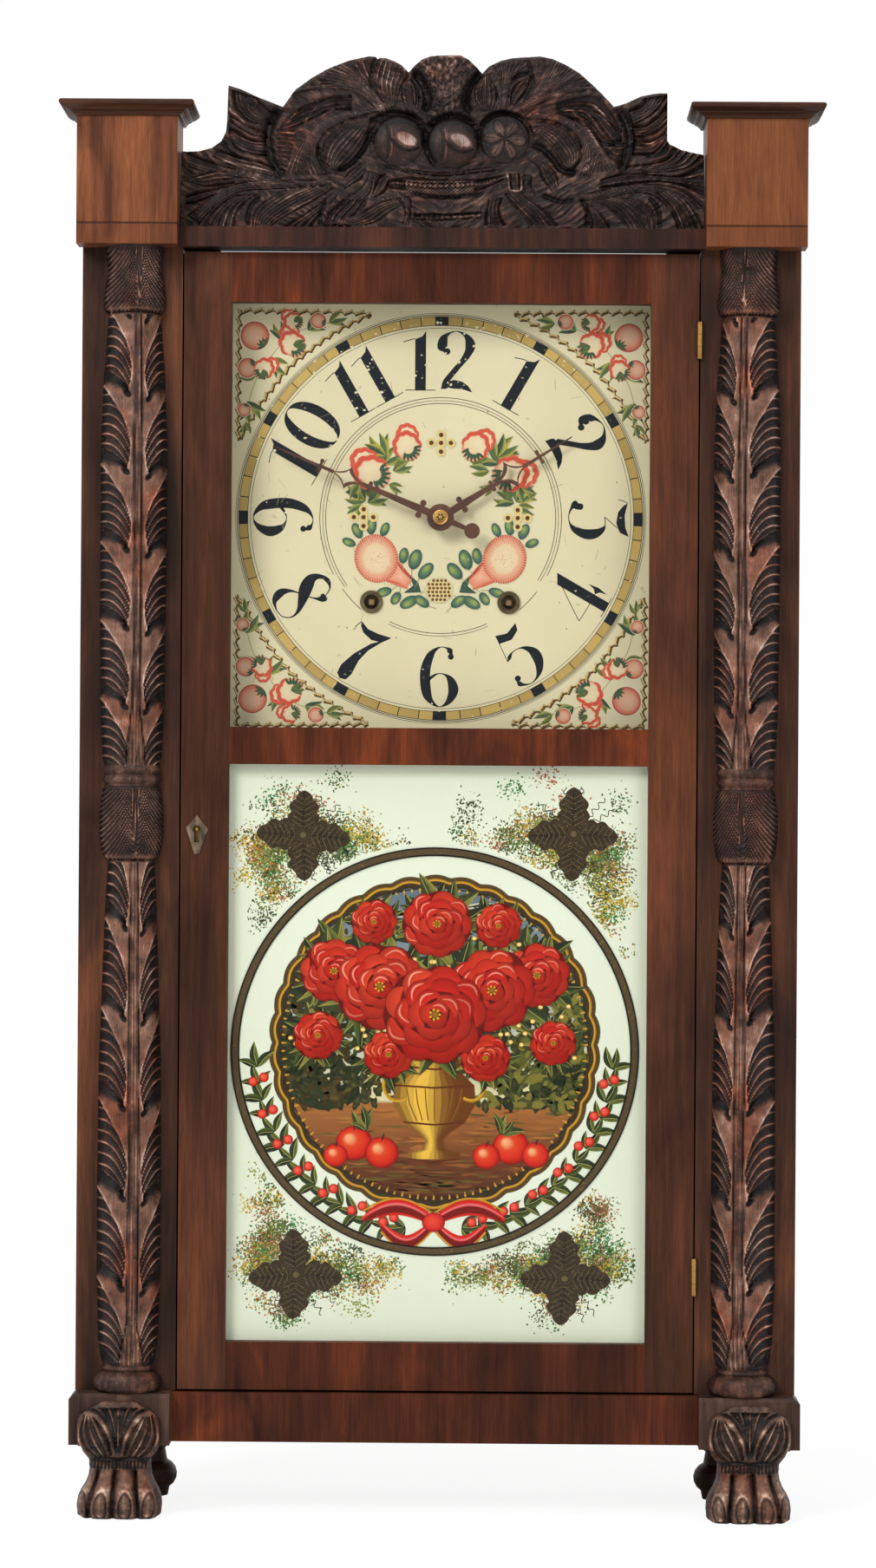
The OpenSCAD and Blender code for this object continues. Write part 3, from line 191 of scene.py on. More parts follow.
grain = effect(
    "Wood grain",
    [("Vector", "Vector", None), ("Band scale", "Float", 28.0), ("Flame scale", "Float", 22.0)],
    ["Figure", "Pores", "Patches"],
    wood_grain,
)
handling = effect("Old polish", [("Vector", "Vector", None)], ["Smears", "Specks"], old_polish)


# ---------------------------------------------------------------- finishes
# pores, dust, and the colour of a seam, which is a joint darkened with painted shade
PORE, DUST, SEAM_AND_SHADE = srgb(24, 10, 6), srgb(150, 110, 80), srgb(34, 18, 12)


def mahogany(name, tones, band, flame, shift, turn=None, gloss=0.34, right=0.0, line=0.0):
    """Polished old veneer: the dark, mid and light of its figure, its scales, and how its grain runs.
    It can have painted shade that darkens it towards the right, and can have a base of another cut below
    the height of a line, with a dark seam at that line that is partly painted shade."""
    dark, mid, light = (srgb(*tone) for tone in tones)
    wood = Finish(name)
    place = wood.coords
    if turn:
        place = wood.add("ShaderNodeMapping", {"Vector": place, "Rotation": turn}).outputs[0]
    place = wood.stretch(place, (1, 1, 1), shift)
    cut = wood.use(grain, {"Vector": place, "Band scale": band, "Flame scale": flame})
    polish = wood.use(handling, {"Vector": place})
    colour = wood.ramp(cut["Figure"], [(0.0, dark), (0.5, mid), (1.0, light)])
    colour = wood.blend(wood.spread(cut["Patches"], 0.3, 0.7, 0.0, 0.55), colour, dark)
    colour = wood.blend(wood.spread(cut["Pores"], 0.0, 1.0, 0.35, 0.0), colour, PORE)
    colour = wood.blend(wood.math("MULTIPLY", polish["Specks"], 0.4), colour, DUST)
    # painted shade: the colour darkens towards the right of the case
    if right:
        shade = wood.spread(wood.axis(wood.coords, "X"), -0.1, 0.1, 0.0, right)
        colour = wood.blend(shade, colour, dark)
    if line:
        height = wood.axis(wood.coords, "Z")
        below = wood.spread(height, line - 0.0004, line + 0.0004, 0.3, 0.0)
        colour = wood.blend(below, colour, dark)
        # a dark seam along the line: the veneer joint, with the painted shade of its shadow line
        near = wood.spread(wood.away_from(height, line), 0.0004, 0.001, 0.75, 0.0)
        colour = wood.blend(near, colour, SEAM_AND_SHADE)
    wood.dress(colour, wood.spread(polish["Smears"], 0.0, 1.0, gloss, gloss + 0.16), 0.14)
    wood.bump(cut["Pores"], 0.00006, 0.5)
    return wood.material


def pine_board(name, tone, shift=(0, 0, 0), joints=()):
    """Rough old pine: arched grain, a few knots, grime, and the joints between its boards."""
    pine = Finish(name, Roughness=0.75)
    place = pine.stretch(pine.coords, (1, 1, 1), shift)
    cells = {"Vector": pine.stretch(place, (1, 1, 0.6)), "Scale": 3.4}
    knot = pine.add("ShaderNodeTexVoronoi", cells).outputs["Distance"]
    slow = pine.noise(pine.stretch(place, (1, 1, 0.14)), 6.0, 2.0, 0.4)
    slow = pine.math("ADD", slow, pine.spread(knot, 0.0, 0.2, 0.12, 0.0))
    ring = pine.math("FRACT", pine.math("MULTIPLY", slow, 34.0))
    pale, deep = srgb(*tone), srgb(*(c * 0.64 for c in tone))
    colour = pine.blend(pine.spread(ring, 0.5, 1.0, 0.0, 0.5), pale, deep)
    fibre = pine.noise(pine.stretch(place, (1, 1, 0.03)), 600.0, 3.0, 0.6)
    colour = pine.blend(pine.spread(fibre, 0.35, 0.7, 0.0, 0.4), colour, deep)
    colour = pine.blend(pine.spread(knot, 0.035, 0.06, 0.85, 0.0), colour, srgb(72, 42, 24))
    grime = pine.noise(place, 7.0, 5.0, 0.65)
    colour = pine.blend(pine.spread(grime, 0.4, 0.75, 0.0, 0.6), colour, srgb(74, 52, 34))
    across = pine.axis(pine.coords, "X")
    gap = 0.0
    for x in joints:
        near = pine.spread(pine.away_from(across, x), 0.0006, 0.0012, 1.0, 0.0)
        gap = pine.math("MAXIMUM", gap, near)
    if joints:
        colour = pine.blend(gap, colour, srgb(24, 16, 10))
    pine.dress(colour)
    height = pine.math("SUBTRACT", pine.math("ADD", fibre, ring), pine.math("MULTIPLY", gap, 4.0))
    pine.bump(height, 0.00012, 0.6)
    return pine.material


def metal(name, bright, tarnish, rough=0.35, metallic=1.0):
    """Brass or iron with its tarnish in clouds."""
    plate = Finish(name, Metallic=metallic)
    polish = plate.use(handling, {"Vector": plate.coords})
    clouds = plate.noise(plate.coords, 55.0, 5.0, 0.65)
    colour = plate.blend(plate.spread(clouds, 0.35, 0.7), srgb(*bright), srgb(*tarnish))
    plate.dress(colour, plate.spread(polish["Smears"], 0, 1, rough, rough + 0.25))
    plate.bump(clouds, 0.0001, 0.4)
    return plate.material


def worn_bone(name):
    """Old bone, stained dark along its pores and edges."""
    bone = Finish(name, Roughness=0.45)
    stain = bone.noise(bone.stretch(bone.coords, (1, 1, 0.3)), 260.0, 4.0, 0.6)
    tones = [(0.36, srgb(44, 32, 24)), (0.52, srgb(92, 74, 56)), (0.72, srgb(150, 128, 98))]
    bone.dress(bone.ramp(stain, tones))
    bone.bump(stain, 0.0002, 0.5)
    return bone.material


def twisted_cord(name):
    """Gut cord with its twist running round it."""
    cord = Finish(name, Roughness=0.6)
    waves = {"Vector": cord.coords, "Scale": 260.0, "Distortion": 1.5}
    twist = cord.add("ShaderNodeTexWave", waves, bands_direction="DIAGONAL").outputs["Fac"]
    cord.dress(cord.blend(twist, srgb(84, 66, 44), srgb(150, 126, 88)))
    cord.bump(twist, 0.0002, 0.6)
    return cord.material


def plain_glass(name):
    """Clear old glass that lets the lamps through to what lies behind it."""
    pane = Finish(name, **{"Roughness": 0.0, "IOR": 1.16, "Transmission Weight": 1.0})
    pane.dress((0.97, 0.985, 0.975, 1))
    path = pane.add("ShaderNodeLightPath").outputs
    through = pane.math("MAXIMUM", path["Is Shadow Ray"], path["Is Diffuse Ray"])
    clear = pane.add("ShaderNodeBsdfTransparent", {"Color": (0.97, 0.98, 0.97, 1)}).outputs[0]
    both = pane.add("ShaderNodeMixShader", {0: through, 1: pane.body.outputs[0], 2: clear})
    pane.put(both.outputs[0], pane.out.inputs["Surface"])
    return pane.material


def cover(names, material):
    for name in names:
        nodes[name].data.materials.clear()
        nodes[name].data.materials.append(material)


# ---------------------------------------------------------------- boards
BLOCK_BASE_TOP = 0.8345  # where the veneer of the top blocks changes to that of their base
VENEERS = (  # name, pieces, dark, mid and light tone, scales of band and flame, and shift
    ("Side mahogany", ["side_left", "side_right"],
     ((46, 24, 14), (86, 50, 30), (124, 74, 44)), 28.0, 22.0, (0, 0, 0)),
    ("Stile veneer", ["stile_left", "stile_right"],
     ((36, 22, 16), (76, 46, 32), (122, 72, 46)), 34.0, 18.0, (0.3, 0, 0.7)),
    ("Door veneer", ["door_stile_left", "door_stile_right", "glass_beads"],
     ((46, 24, 15), (88, 50, 32), (130, 72, 44)), 20.0, 14.0, (0.9, 0, 0.2)),
    ("Flame veneer", ["door_rails", "base_rail"],
     ((44, 19, 9), (94, 44, 23), (140, 66, 30)), 16.0, 26.0, (0.1, 0, 1.7)),
    ("Top rail veneer", ["top_rail"],
     ((28, 16, 13), (62, 38, 31), (104, 58, 42)), 16.0, 20.0, (1.1, 0, 0.4)),
    ("Plinth wood", ["plinth_blocks"],
     ((40, 28, 22), (80, 58, 48), (122, 92, 78)), 40.0, 30.0, (2.5, 0, 1.3)),
    ("Rear foot wood", ["rear_feet"],
     ((34, 20, 15), (58, 36, 26), (84, 52, 36)), 30.0, 20.0, (1.7, 0.3, 0.2)),
)
BLOCK_TONES = ((84, 46, 28), (144, 84, 50), (176, 108, 66))
BOARD_JOINTS = (-0.081, 0.068)

for name, pieces, tones, band, flame, shift in VENEERS:
    cover(pieces, mahogany(name, tones, band, flame, shift))
# the block veneer has painted shade, darker over the right block
block_veneer = mahogany(
    "Block veneer", BLOCK_TONES, 22.0, 30.0, (0.5, 0, 2.3), right=0.5, line=BLOCK_BASE_TOP
)
cover(["top_blocks"], block_veneer)
back_pine = pine_board("Backboard pine", (176, 132, 88), joints=BOARD_JOINTS)
cover(["backboard", "inner_boards"], back_pine)
cover(["top_board", "bottom_board"], pine_board("Board pine", (150, 112, 74), (1.3, 0.2, 0)))
cover(["time_drum", "strike_drum"], pine_board("Turned drum wood", (160, 118, 72), (3, 1, 0)))

# ---------------------------------------------------------------- metal, glass, cord
BRASS_PIECES = (
    "front_plate back_plate bell hinge_case_leaves hinge_door_leaves door_lock lock_bolt pendulum "
    "minute_wheel time_great_wheel second_wheel centre_wheel third_wheel escape_wheel time_pulley "
    "strike_pulley strike_great_wheel pin_wheel warning_wheel fly"
).split()
brass = metal("Old brass", (190, 150, 84), (128, 94, 50), 0.28)
cover(BRASS_PIECES, brass)
cover(["dial_fittings"], metal("Dark brass rings", (96, 84, 60), (58, 48, 34), 0.4))
iron = metal("Dark iron", (60, 50, 44), (34, 27, 24), 0.5)
cover(["verge", "hammer", "time_weight", "strike_weight", "pulley_brackets"], iron)
cover(["minute_hand", "hour_hand"], metal("Browned iron hands", (92, 58, 42), (56, 34, 26), 0.55, 0.6))
cover(["escutcheon"], worn_bone("Chipped bone"))
cover(["drum_cords"], twisted_cord("Gut cord"))
cover(["dial_glass", "tablet_glass"], plain_glass("Window glass"))


# ---------------------------------------------------------------- meshes
def box_mm(name):
    """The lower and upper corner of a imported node, in millimetres."""
    return [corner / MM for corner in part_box(name)]


def mesh_from(build, name):
    mesh = bpy.data.meshes.new(name)
    build.to_mesh(mesh)
    build.free()
    return mesh


def new_piece(name, mesh, material, sharp=None):
    """An object of one mesh and one material. Where sharp is given, in degrees, the mesh is smooth
    but for its edges that are sharper than that."""
    if sharp:
        mesh.shade_smooth()
        mesh.set_sharp_from_angle(angle=math.radians(sharp))
    mesh.materials.append(material)
    piece = bpy.data.objects.new(name, mesh)
    bpy.context.scene.collection.objects.link(piece)
    return piece


def stand_in(piece, node):
    """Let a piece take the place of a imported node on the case."""
    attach(piece, "case")
    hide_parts(node)


def skin(build, rings):
    """Faces between rings of corners, with both ends closed."""
    for one, two in zip(rings[:-1], rings[1:]):
        for k in range(len(one)):
            after = (k + 1) % len(one)
            build.faces.new((one[k], one[after], two[after], two[k]))
    build.faces.new(rings[0][::-1])
    build.faces.new(rings[-1])


# ---------------------------------------------------------------- carving
def pairs(x, y):
    return np.stack([x, y], -1)


def ease(low, high, value):
    """0 below low, 1 above high, and smooth between."""
    t = np.clip((value - low) / (high - low), 0, 1)
    return t * t * (3 - 2 * t)


def hump(distance, width):
    """1 at no distance, and smoothly less away from it on both sides."""
    return np.exp(-((distance / width) ** 2))


def cloud(x, y, size, seed):
    """Smooth noise from 0 to 1 over a plane, the same on each run."""
    dice = np.random.RandomState(seed).rand(64, 64)
    i, j = np.floor(x / size).astype(int), np.floor(y / size).astype(int)
    u, v = ease(0, 1, x / size - i), ease(0, 1, y / size - j)
    near = dice[i % 64, j % 64] * (1 - u) + dice[(i + 1) % 64, j % 64] * u
    far = dice[i % 64, (j + 1) % 64] * (1 - u) + dice[(i + 1) % 64, (j + 1) % 64] * u
    return near * (1 - v) + far * v


def gouges(phase):
    """Side-by-side gouge cuts: 0 on the sharp ridges between them and -1 in the hollows."""
    f = phase - np.floor(phase)
    return (2 * f - 1) ** 2 - 1


def ridge(phase, width=0.16):
    """1 on the ridges between gouge cuts, where the stain is worn away and a highlight is painted."""
    f = np.abs(phase - np.round(phase))
    return 1 - ease(0, width, f)


def carved_mesh(name, points, tone, material, ring=False, sharp=55):
    """A piece from a grid of points in millimetres, with its tone at each point: its stain and wear, with
    painted shade and highlights.
    """
    rows, cols = points.shape[:2]
    mesh = bpy.data.meshes.new(name)
    index = np.arange(rows * cols).reshape(rows, cols)
    if ring:
        index = np.hstack([index, index[:, :1]])
    quads = np.stack([index[:-1, :-1], index[:-1, 1:], index[1:, 1:], index[1:, :-1]], -1)
    faces = quads.reshape(-1, 4).tolist()
    if ring:
        faces += [index[0, :-1][::-1].tolist(), index[-1, :-1].tolist()]
    mesh.from_pydata((points.reshape(-1, 3) * MM).tolist(), [], faces)
    mesh.attributes.new("tone", "FLOAT", "POINT").data.foreach_set(
        "value", np.clip(tone, 0, 1).astype(np.float32).ravel()
    )
    return new_piece(name, mesh, material, sharp)


def stained_carving(name, tones, gloss=0.42):
    """Dark stain and painted shade in the hollows, worn wood and painted highlights on the ridges, read
    from the piece's tone.
    """
    hollow, ground, worn, glint = (srgb(*tone) for tone in tones)
    stain = Finish(name)
    tone = stain.add("ShaderNodeAttribute", attribute_name="tone").outputs["Fac"]
    wood = stain.use(grain, {"Vector": stain.coords, "Band scale": 45.0, "Flame scale": 60.0})
    polish = stain.use(handling, {"Vector": stain.coords})
    grime = stain.noise(stain.coords, 130.0, 5.0, 0.7)
    shade = stain.math("ADD", tone, stain.spread(grime, 0.3, 0.7, -0.13, 0.13))
    pores = stain.spread(wood["Pores"], 0, 1, -0.08, 0.04)
    shade = stain.math("ADD", shade, pores, clamp=True)
    # hollow is dark stain with painted shade, worn is wear with painted highlight, glint is painted
    # highlight
    colour = stain.ramp(shade, [(0.0, hollow), (0.36, ground), (0.68, worn), (0.97, glint)])
    red = stain.spread(stain.noise(stain.coords, 26.0, 3.0), 0.48, 0.68, 0.0, 0.75)
    warm = stain.blend(1.0, colour, srgb(255, 176, 132), "MULTIPLY")
    colour = stain.blend(red, colour, warm)
    dust = stain.spread(stain.noise(stain.coords, 900.0, 2.0), 0.7, 0.76, 0.0, 0.4)
    colour = stain.blend(dust, colour, glint)
    stain.dress(colour, stain.spread(polish["Smears"], 0, 1, gloss, gloss + 0.2), 0.24)
    stain.bump(stain.math("ADD", grime, wood["Pores"]), 0.00016, 0.6)
    return stain.material


# ---- columns, in millimetres
column_low, column_high = box_mm("column_right")
column_axis = (column_low.x + column_high.x) / 2
stile_face = column_high.y
plinth_top = column_low.z
column_height = column_high.z - column_low.z
COLUMN_PROFILE = [  # height over the plinth, radius
    (0, 18.6), (0.8, 20.6), (2.6, 22.0), (5.5, 22.6), (8.6, 22.0), (11.4, 20.2), (12.8, 17.4),
    (13.4, 16.0), (14.2, 16.6), (15.2, 17.4), (16.2, 17.0), (17.2, 15.4), (20, 17.4), (34, 19.4),
    (70, 20.6), (140, 20.7), (210, 20.2), (270, 18.2), (320, 16.4), (342, 15.2), (343.5, 15.2),
    (345, 17.6), (350, 19.6), (360, 20.9), (376, 21.0), (390, 19.0), (392, 17.0), (393, 16.8),
    (394, 18.2), (396, 19.2), (398, 18.3), (399.2, 17.3), (400.4, 18.4), (402.2, 19.3),
    (404, 18.4), (405, 17.6), (410, 19.2), (440, 20.6), (500, 21.3), (610, 21.7), (650, 20.2),
    (680, 18.2), (696, 17.2), (697.6, 17.2), (699, 19.0), (702, 20.2), (708, 20.4), (716, 19.2),
    (726, 17.6), (736, 18.4), (741.2, 19.0),
]


LEAF_RIB = (  # share of the pitch, and how far out the leaf's rib stands there
    (0, 0.3), (0.05, 0.3), (0.18, 0.23), (0.34, 0.2), (0.5, 0.27), (0.7, 0.46), (0.9, 0.74), (1.1, 1.0),
)
LEAVES = (  # bottom, top, first eye, pitch, share of the stem, and height of its flare
    (17.5, 342.5, 67.8, 58.0, 0.15, 30.0), (405.0, 696.5, 443.0, 50.5, 0.105, 44.0),
)
CAPITALS = ((343.5, 392.0, 14.0), (697.6, 741.2, 12.0))  # bottom, top, and number of cuts


def leaflets(u, height, eyes, pitch, count):
    """Relief and tone of one side of the leaf: u is 0 at the stem and 1 at the column's edge."""
    turn = (height - eyes) / pitch
    v = turn - np.floor(turn)
    out = np.clip((u - 0.37) / 0.63, 0, 1)
    low, high = 0.02 + 0.1 * out, 0.05 + 0.25 * out**0.7
    under = v < low
    v_leaf = np.where(under, v + 1, v)
    rib = np.interp(v_leaf, *zip(*LEAF_RIB))
    inside = ease(0, 0.07, u - rib)
    phase = count * (v_leaf - 0.62 * (1 - (1 - u) ** 2.1))
    fine = ease(0.62, 0.9, v_leaf)
    cut = gouges(phase) * (1.8 - 0.9 * fine) + gouges(phase * 2.0) * 0.4 * fine
    relief = inside * (cut - 0.25) - (1 - inside) * 0.7 * ease(0.0, 0.1, rib - u) * ease(0.06, 0.14, u)
    # painted highlights: the ridges between the flutes, partly worn stain, and the leaf's rib are lighter
    tone = 0.6 * (1 - inside) + inside * (0.16 + 0.66 * ridge(phase, 0.19) - 0.08 * fine)
    tone += 0.25 * hump(u - rib, 0.03)
    # painted shadow in the wedge under the upper leaflet's edge, along with dark stain, and a painted
    # highlight on the lip above it
    within = (v >= low) & (v <= high) & (u > 0.36)
    share = np.clip((v - low) / (high - low + 1e-6), 0, 1)
    wedge = ease(0, 0.9, share) * (2.2 + 1.6 * (1 - out))
    relief = np.where(within, -0.3 - wedge, relief)
    tone = np.where(within, 0.5 - 0.62 * ease(0.05, 0.55, share), tone)
    lip = hump(v - high - 0.012, 0.014) * (u > 0.42)
    tone = tone + 0.3 * lip
    across, along = (u - 0.38) * 20.0, (np.where(v > 0.5, v - 1, v) - 0.005) * pitch
    hole = np.exp(-((np.hypot(across - along * 0.5, along * 0.75) / 1.9) ** 4))
    relief = relief - 2.6 * hole * (1 - 0.4 * within)
    # painted shade darkens the drilled eye
    tone = tone - 0.7 * hole
    return relief, tone


def column_carving(angle, height, seed):
    """Relief and tone of a whole column: angle in degrees from its front, height over the plinth."""
    wobble = (cloud(height, angle * 0, 22, seed) - 0.5) * 3
    from_stem = angle - 12.5 + wobble
    u = np.abs(np.sin(np.radians(np.clip(from_stem, -90, 90))))
    side = np.where(from_stem < 0, 0.0, 3.2)
    relief, tone = np.zeros_like(u), np.full_like(u, 0.4)
    for bottom, top, eye, pitch, stem, flare in LEAVES:
        here = (height > bottom) & (height < top)
        leaf_cut, leaf_tone = leaflets(u, height + side, eye, pitch, 8)
        wide = stem * (1 + 1.9 * (1 - ease(0, flare, height - bottom)))
        ribs = 3 + 2 * (1 - ease(0, flare, height - bottom))
        in_stem = 1 - ease(0.92, 1.08, u / wide)
        phase = u / wide * ribs / 2 + 0.5
        stem_cut = 0.35 + gouges(phase) * 0.75
        # painted highlights on the stem's ridges, partly worn stain
        stem_tone = 0.42 + 0.34 * ridge(phase, 0.22)
        groove = hump(u - wide * 1.12, 0.028)
        fade = ease(0, 5, height - bottom) * ease(0, 3, top - height)
        cut = (leaf_cut * (1 - in_stem) + stem_cut * in_stem - 1.0 * groove) * fade
        relief = np.where(here, cut, relief)
        # painted shade in the groove beside the stem
        tone = np.where(here, leaf_tone * (1 - in_stem) + stem_tone * in_stem - 0.4 * groove, tone)
    for bottom, top, number in CAPITALS:
        here = (height > bottom) & (height < top)
        down = np.clip((top - height) / (top - bottom), 0, 1)
        phase = number * (down - (u / 1.4) ** (1 / 1.7))
        middle = 0.18 - 0.14 * down
        in_stem = 1 - ease(0.88, 1.1, u / middle)
        tip = bottom + 2.4 * np.abs(np.cos(np.pi * phase))
        depth = ease(0, 6, height - tip) * ease(-0.5, 4, top - height)
        cut = (gouges(phase) * (1 - in_stem) + gouges(u / middle * 1.5) * in_stem) * 1.6 * depth
        # painted shade under the leaf tips
        ends = ease(0, 1.2, tip - height)
        relief = np.where(here, cut - 1.5 * ends, relief)
        # painted highlights on the cut lines and just above the tips
        lines = ridge(phase, 0.2) * (1 - in_stem) + ridge(u / middle * 1.5, 0.2) * in_stem
        bright = 0.2 + 0.62 * lines * depth + 0.34 * (1 - ease(0, 5, height - tip))
        tone = np.where(here, bright - 0.4 * ends, tone)
    plain = (height < 17.5) | ((height > 392) & (height < 405))
    tone = np.where(plain, 0.33 + 0.16 * cloud(angle, height, 7, seed + 3), tone)
    # painted shade: darker towards the sides, where the column meets the stile
    tone += 0.22 * (cloud(angle * 0.35, height, 9, seed + 5) - 0.5) - 0.26 * ease(52, 84, np.abs(angle))
    return relief, tone


def carved_column(name, material, side, seed):
    heights = np.arange(0, column_height + 0.01, 0.56)
    heights[-1] = column_height
    angle, height = np.meshgrid(np.linspace(-90, 90, 70), heights)
    relief, tone = column_carving(angle, height, seed)
    radius = np.interp(height, *zip(*COLUMN_PROFILE)) + relief * ease(0, 16, 90 - np.abs(angle))
    around = np.radians(angle)
    x = side * column_axis - side * radius * np.sin(around)
    y = stile_face - radius * np.cos(around)
    points = np.stack([x, y, plinth_top + height], -1)
    if side > 0:
        points, tone = points[:, ::-1], tone[:, ::-1]
    return carved_mesh("carved_" + name, points, tone, material, ring=True)


# hollow, ground, worn and glint tones: dark stain with painted shade in the hollows, wear with painted
# highlights on the ridges
old_stain = stained_carving(
    "Worn column stain and painted light", ((14, 9, 8), (58, 38, 31), (134, 96, 78), (218, 190, 176))
)
for name, side, seed in (("column_left", -1, 11), ("column_right", 1, 23)):
    stand_in(carved_column(name, old_stain, side, seed), name)


# ---- crest: x from its centre and height over the top rail, in millimetres
CREST_BOARD = 14  # from the plain back to the level that the relief is counted from
BALLS, FLOWER = ((-28.6, 57.0), (6.7, 56.0)), (40.3, 58.8)
FRONT_STRANDS = 12  # the last bundles of the list lie over the basket and the balls
CREST_TOP = [
    (-169.5, 0), (-169.0, 50.1), (-158, 50.2), (-149, 52.5), (-143, 57), (-140, 62.7), (-139.2, 70),
    (-138.6, 92), (-138.3, 93.1), (-131, 91), (-119, 85.6), (-103.0, 79.5), (-94.8, 90.7), (-85, 98),
    (-75.0, 103.8), (-61, 109.5), (-47.2, 112.6), (-43, 112.4), (-41.4, 110.9), (-40, 111.6),
    (-36, 111.4), (-30.8, 109.5), (-26, 107), (-21.3, 102.4), (-17, 106.6), (-12.7, 110.3), (-7, 112.4),
    (-2.8, 112.8), (6, 113.1), (12.7, 113), (18, 110.2), (26.7, 101.9), (31, 106.4), (39.2, 110.3),
    (46, 111.8), (52.1, 112.3), (64.4, 113.1), (72, 111.6), (81.2, 107.5), (90, 102.2), (98.0, 95.2),
    (106, 87.4), (112.4, 80.6), (120, 82.8), (130, 87.4), (140, 89.4), (147.2, 89.6), (146.4, 75),
    (145.5, 61), (149, 56.4), (156, 53.4), (164, 51.4), (171.4, 50.0), (171.9, 0),
]
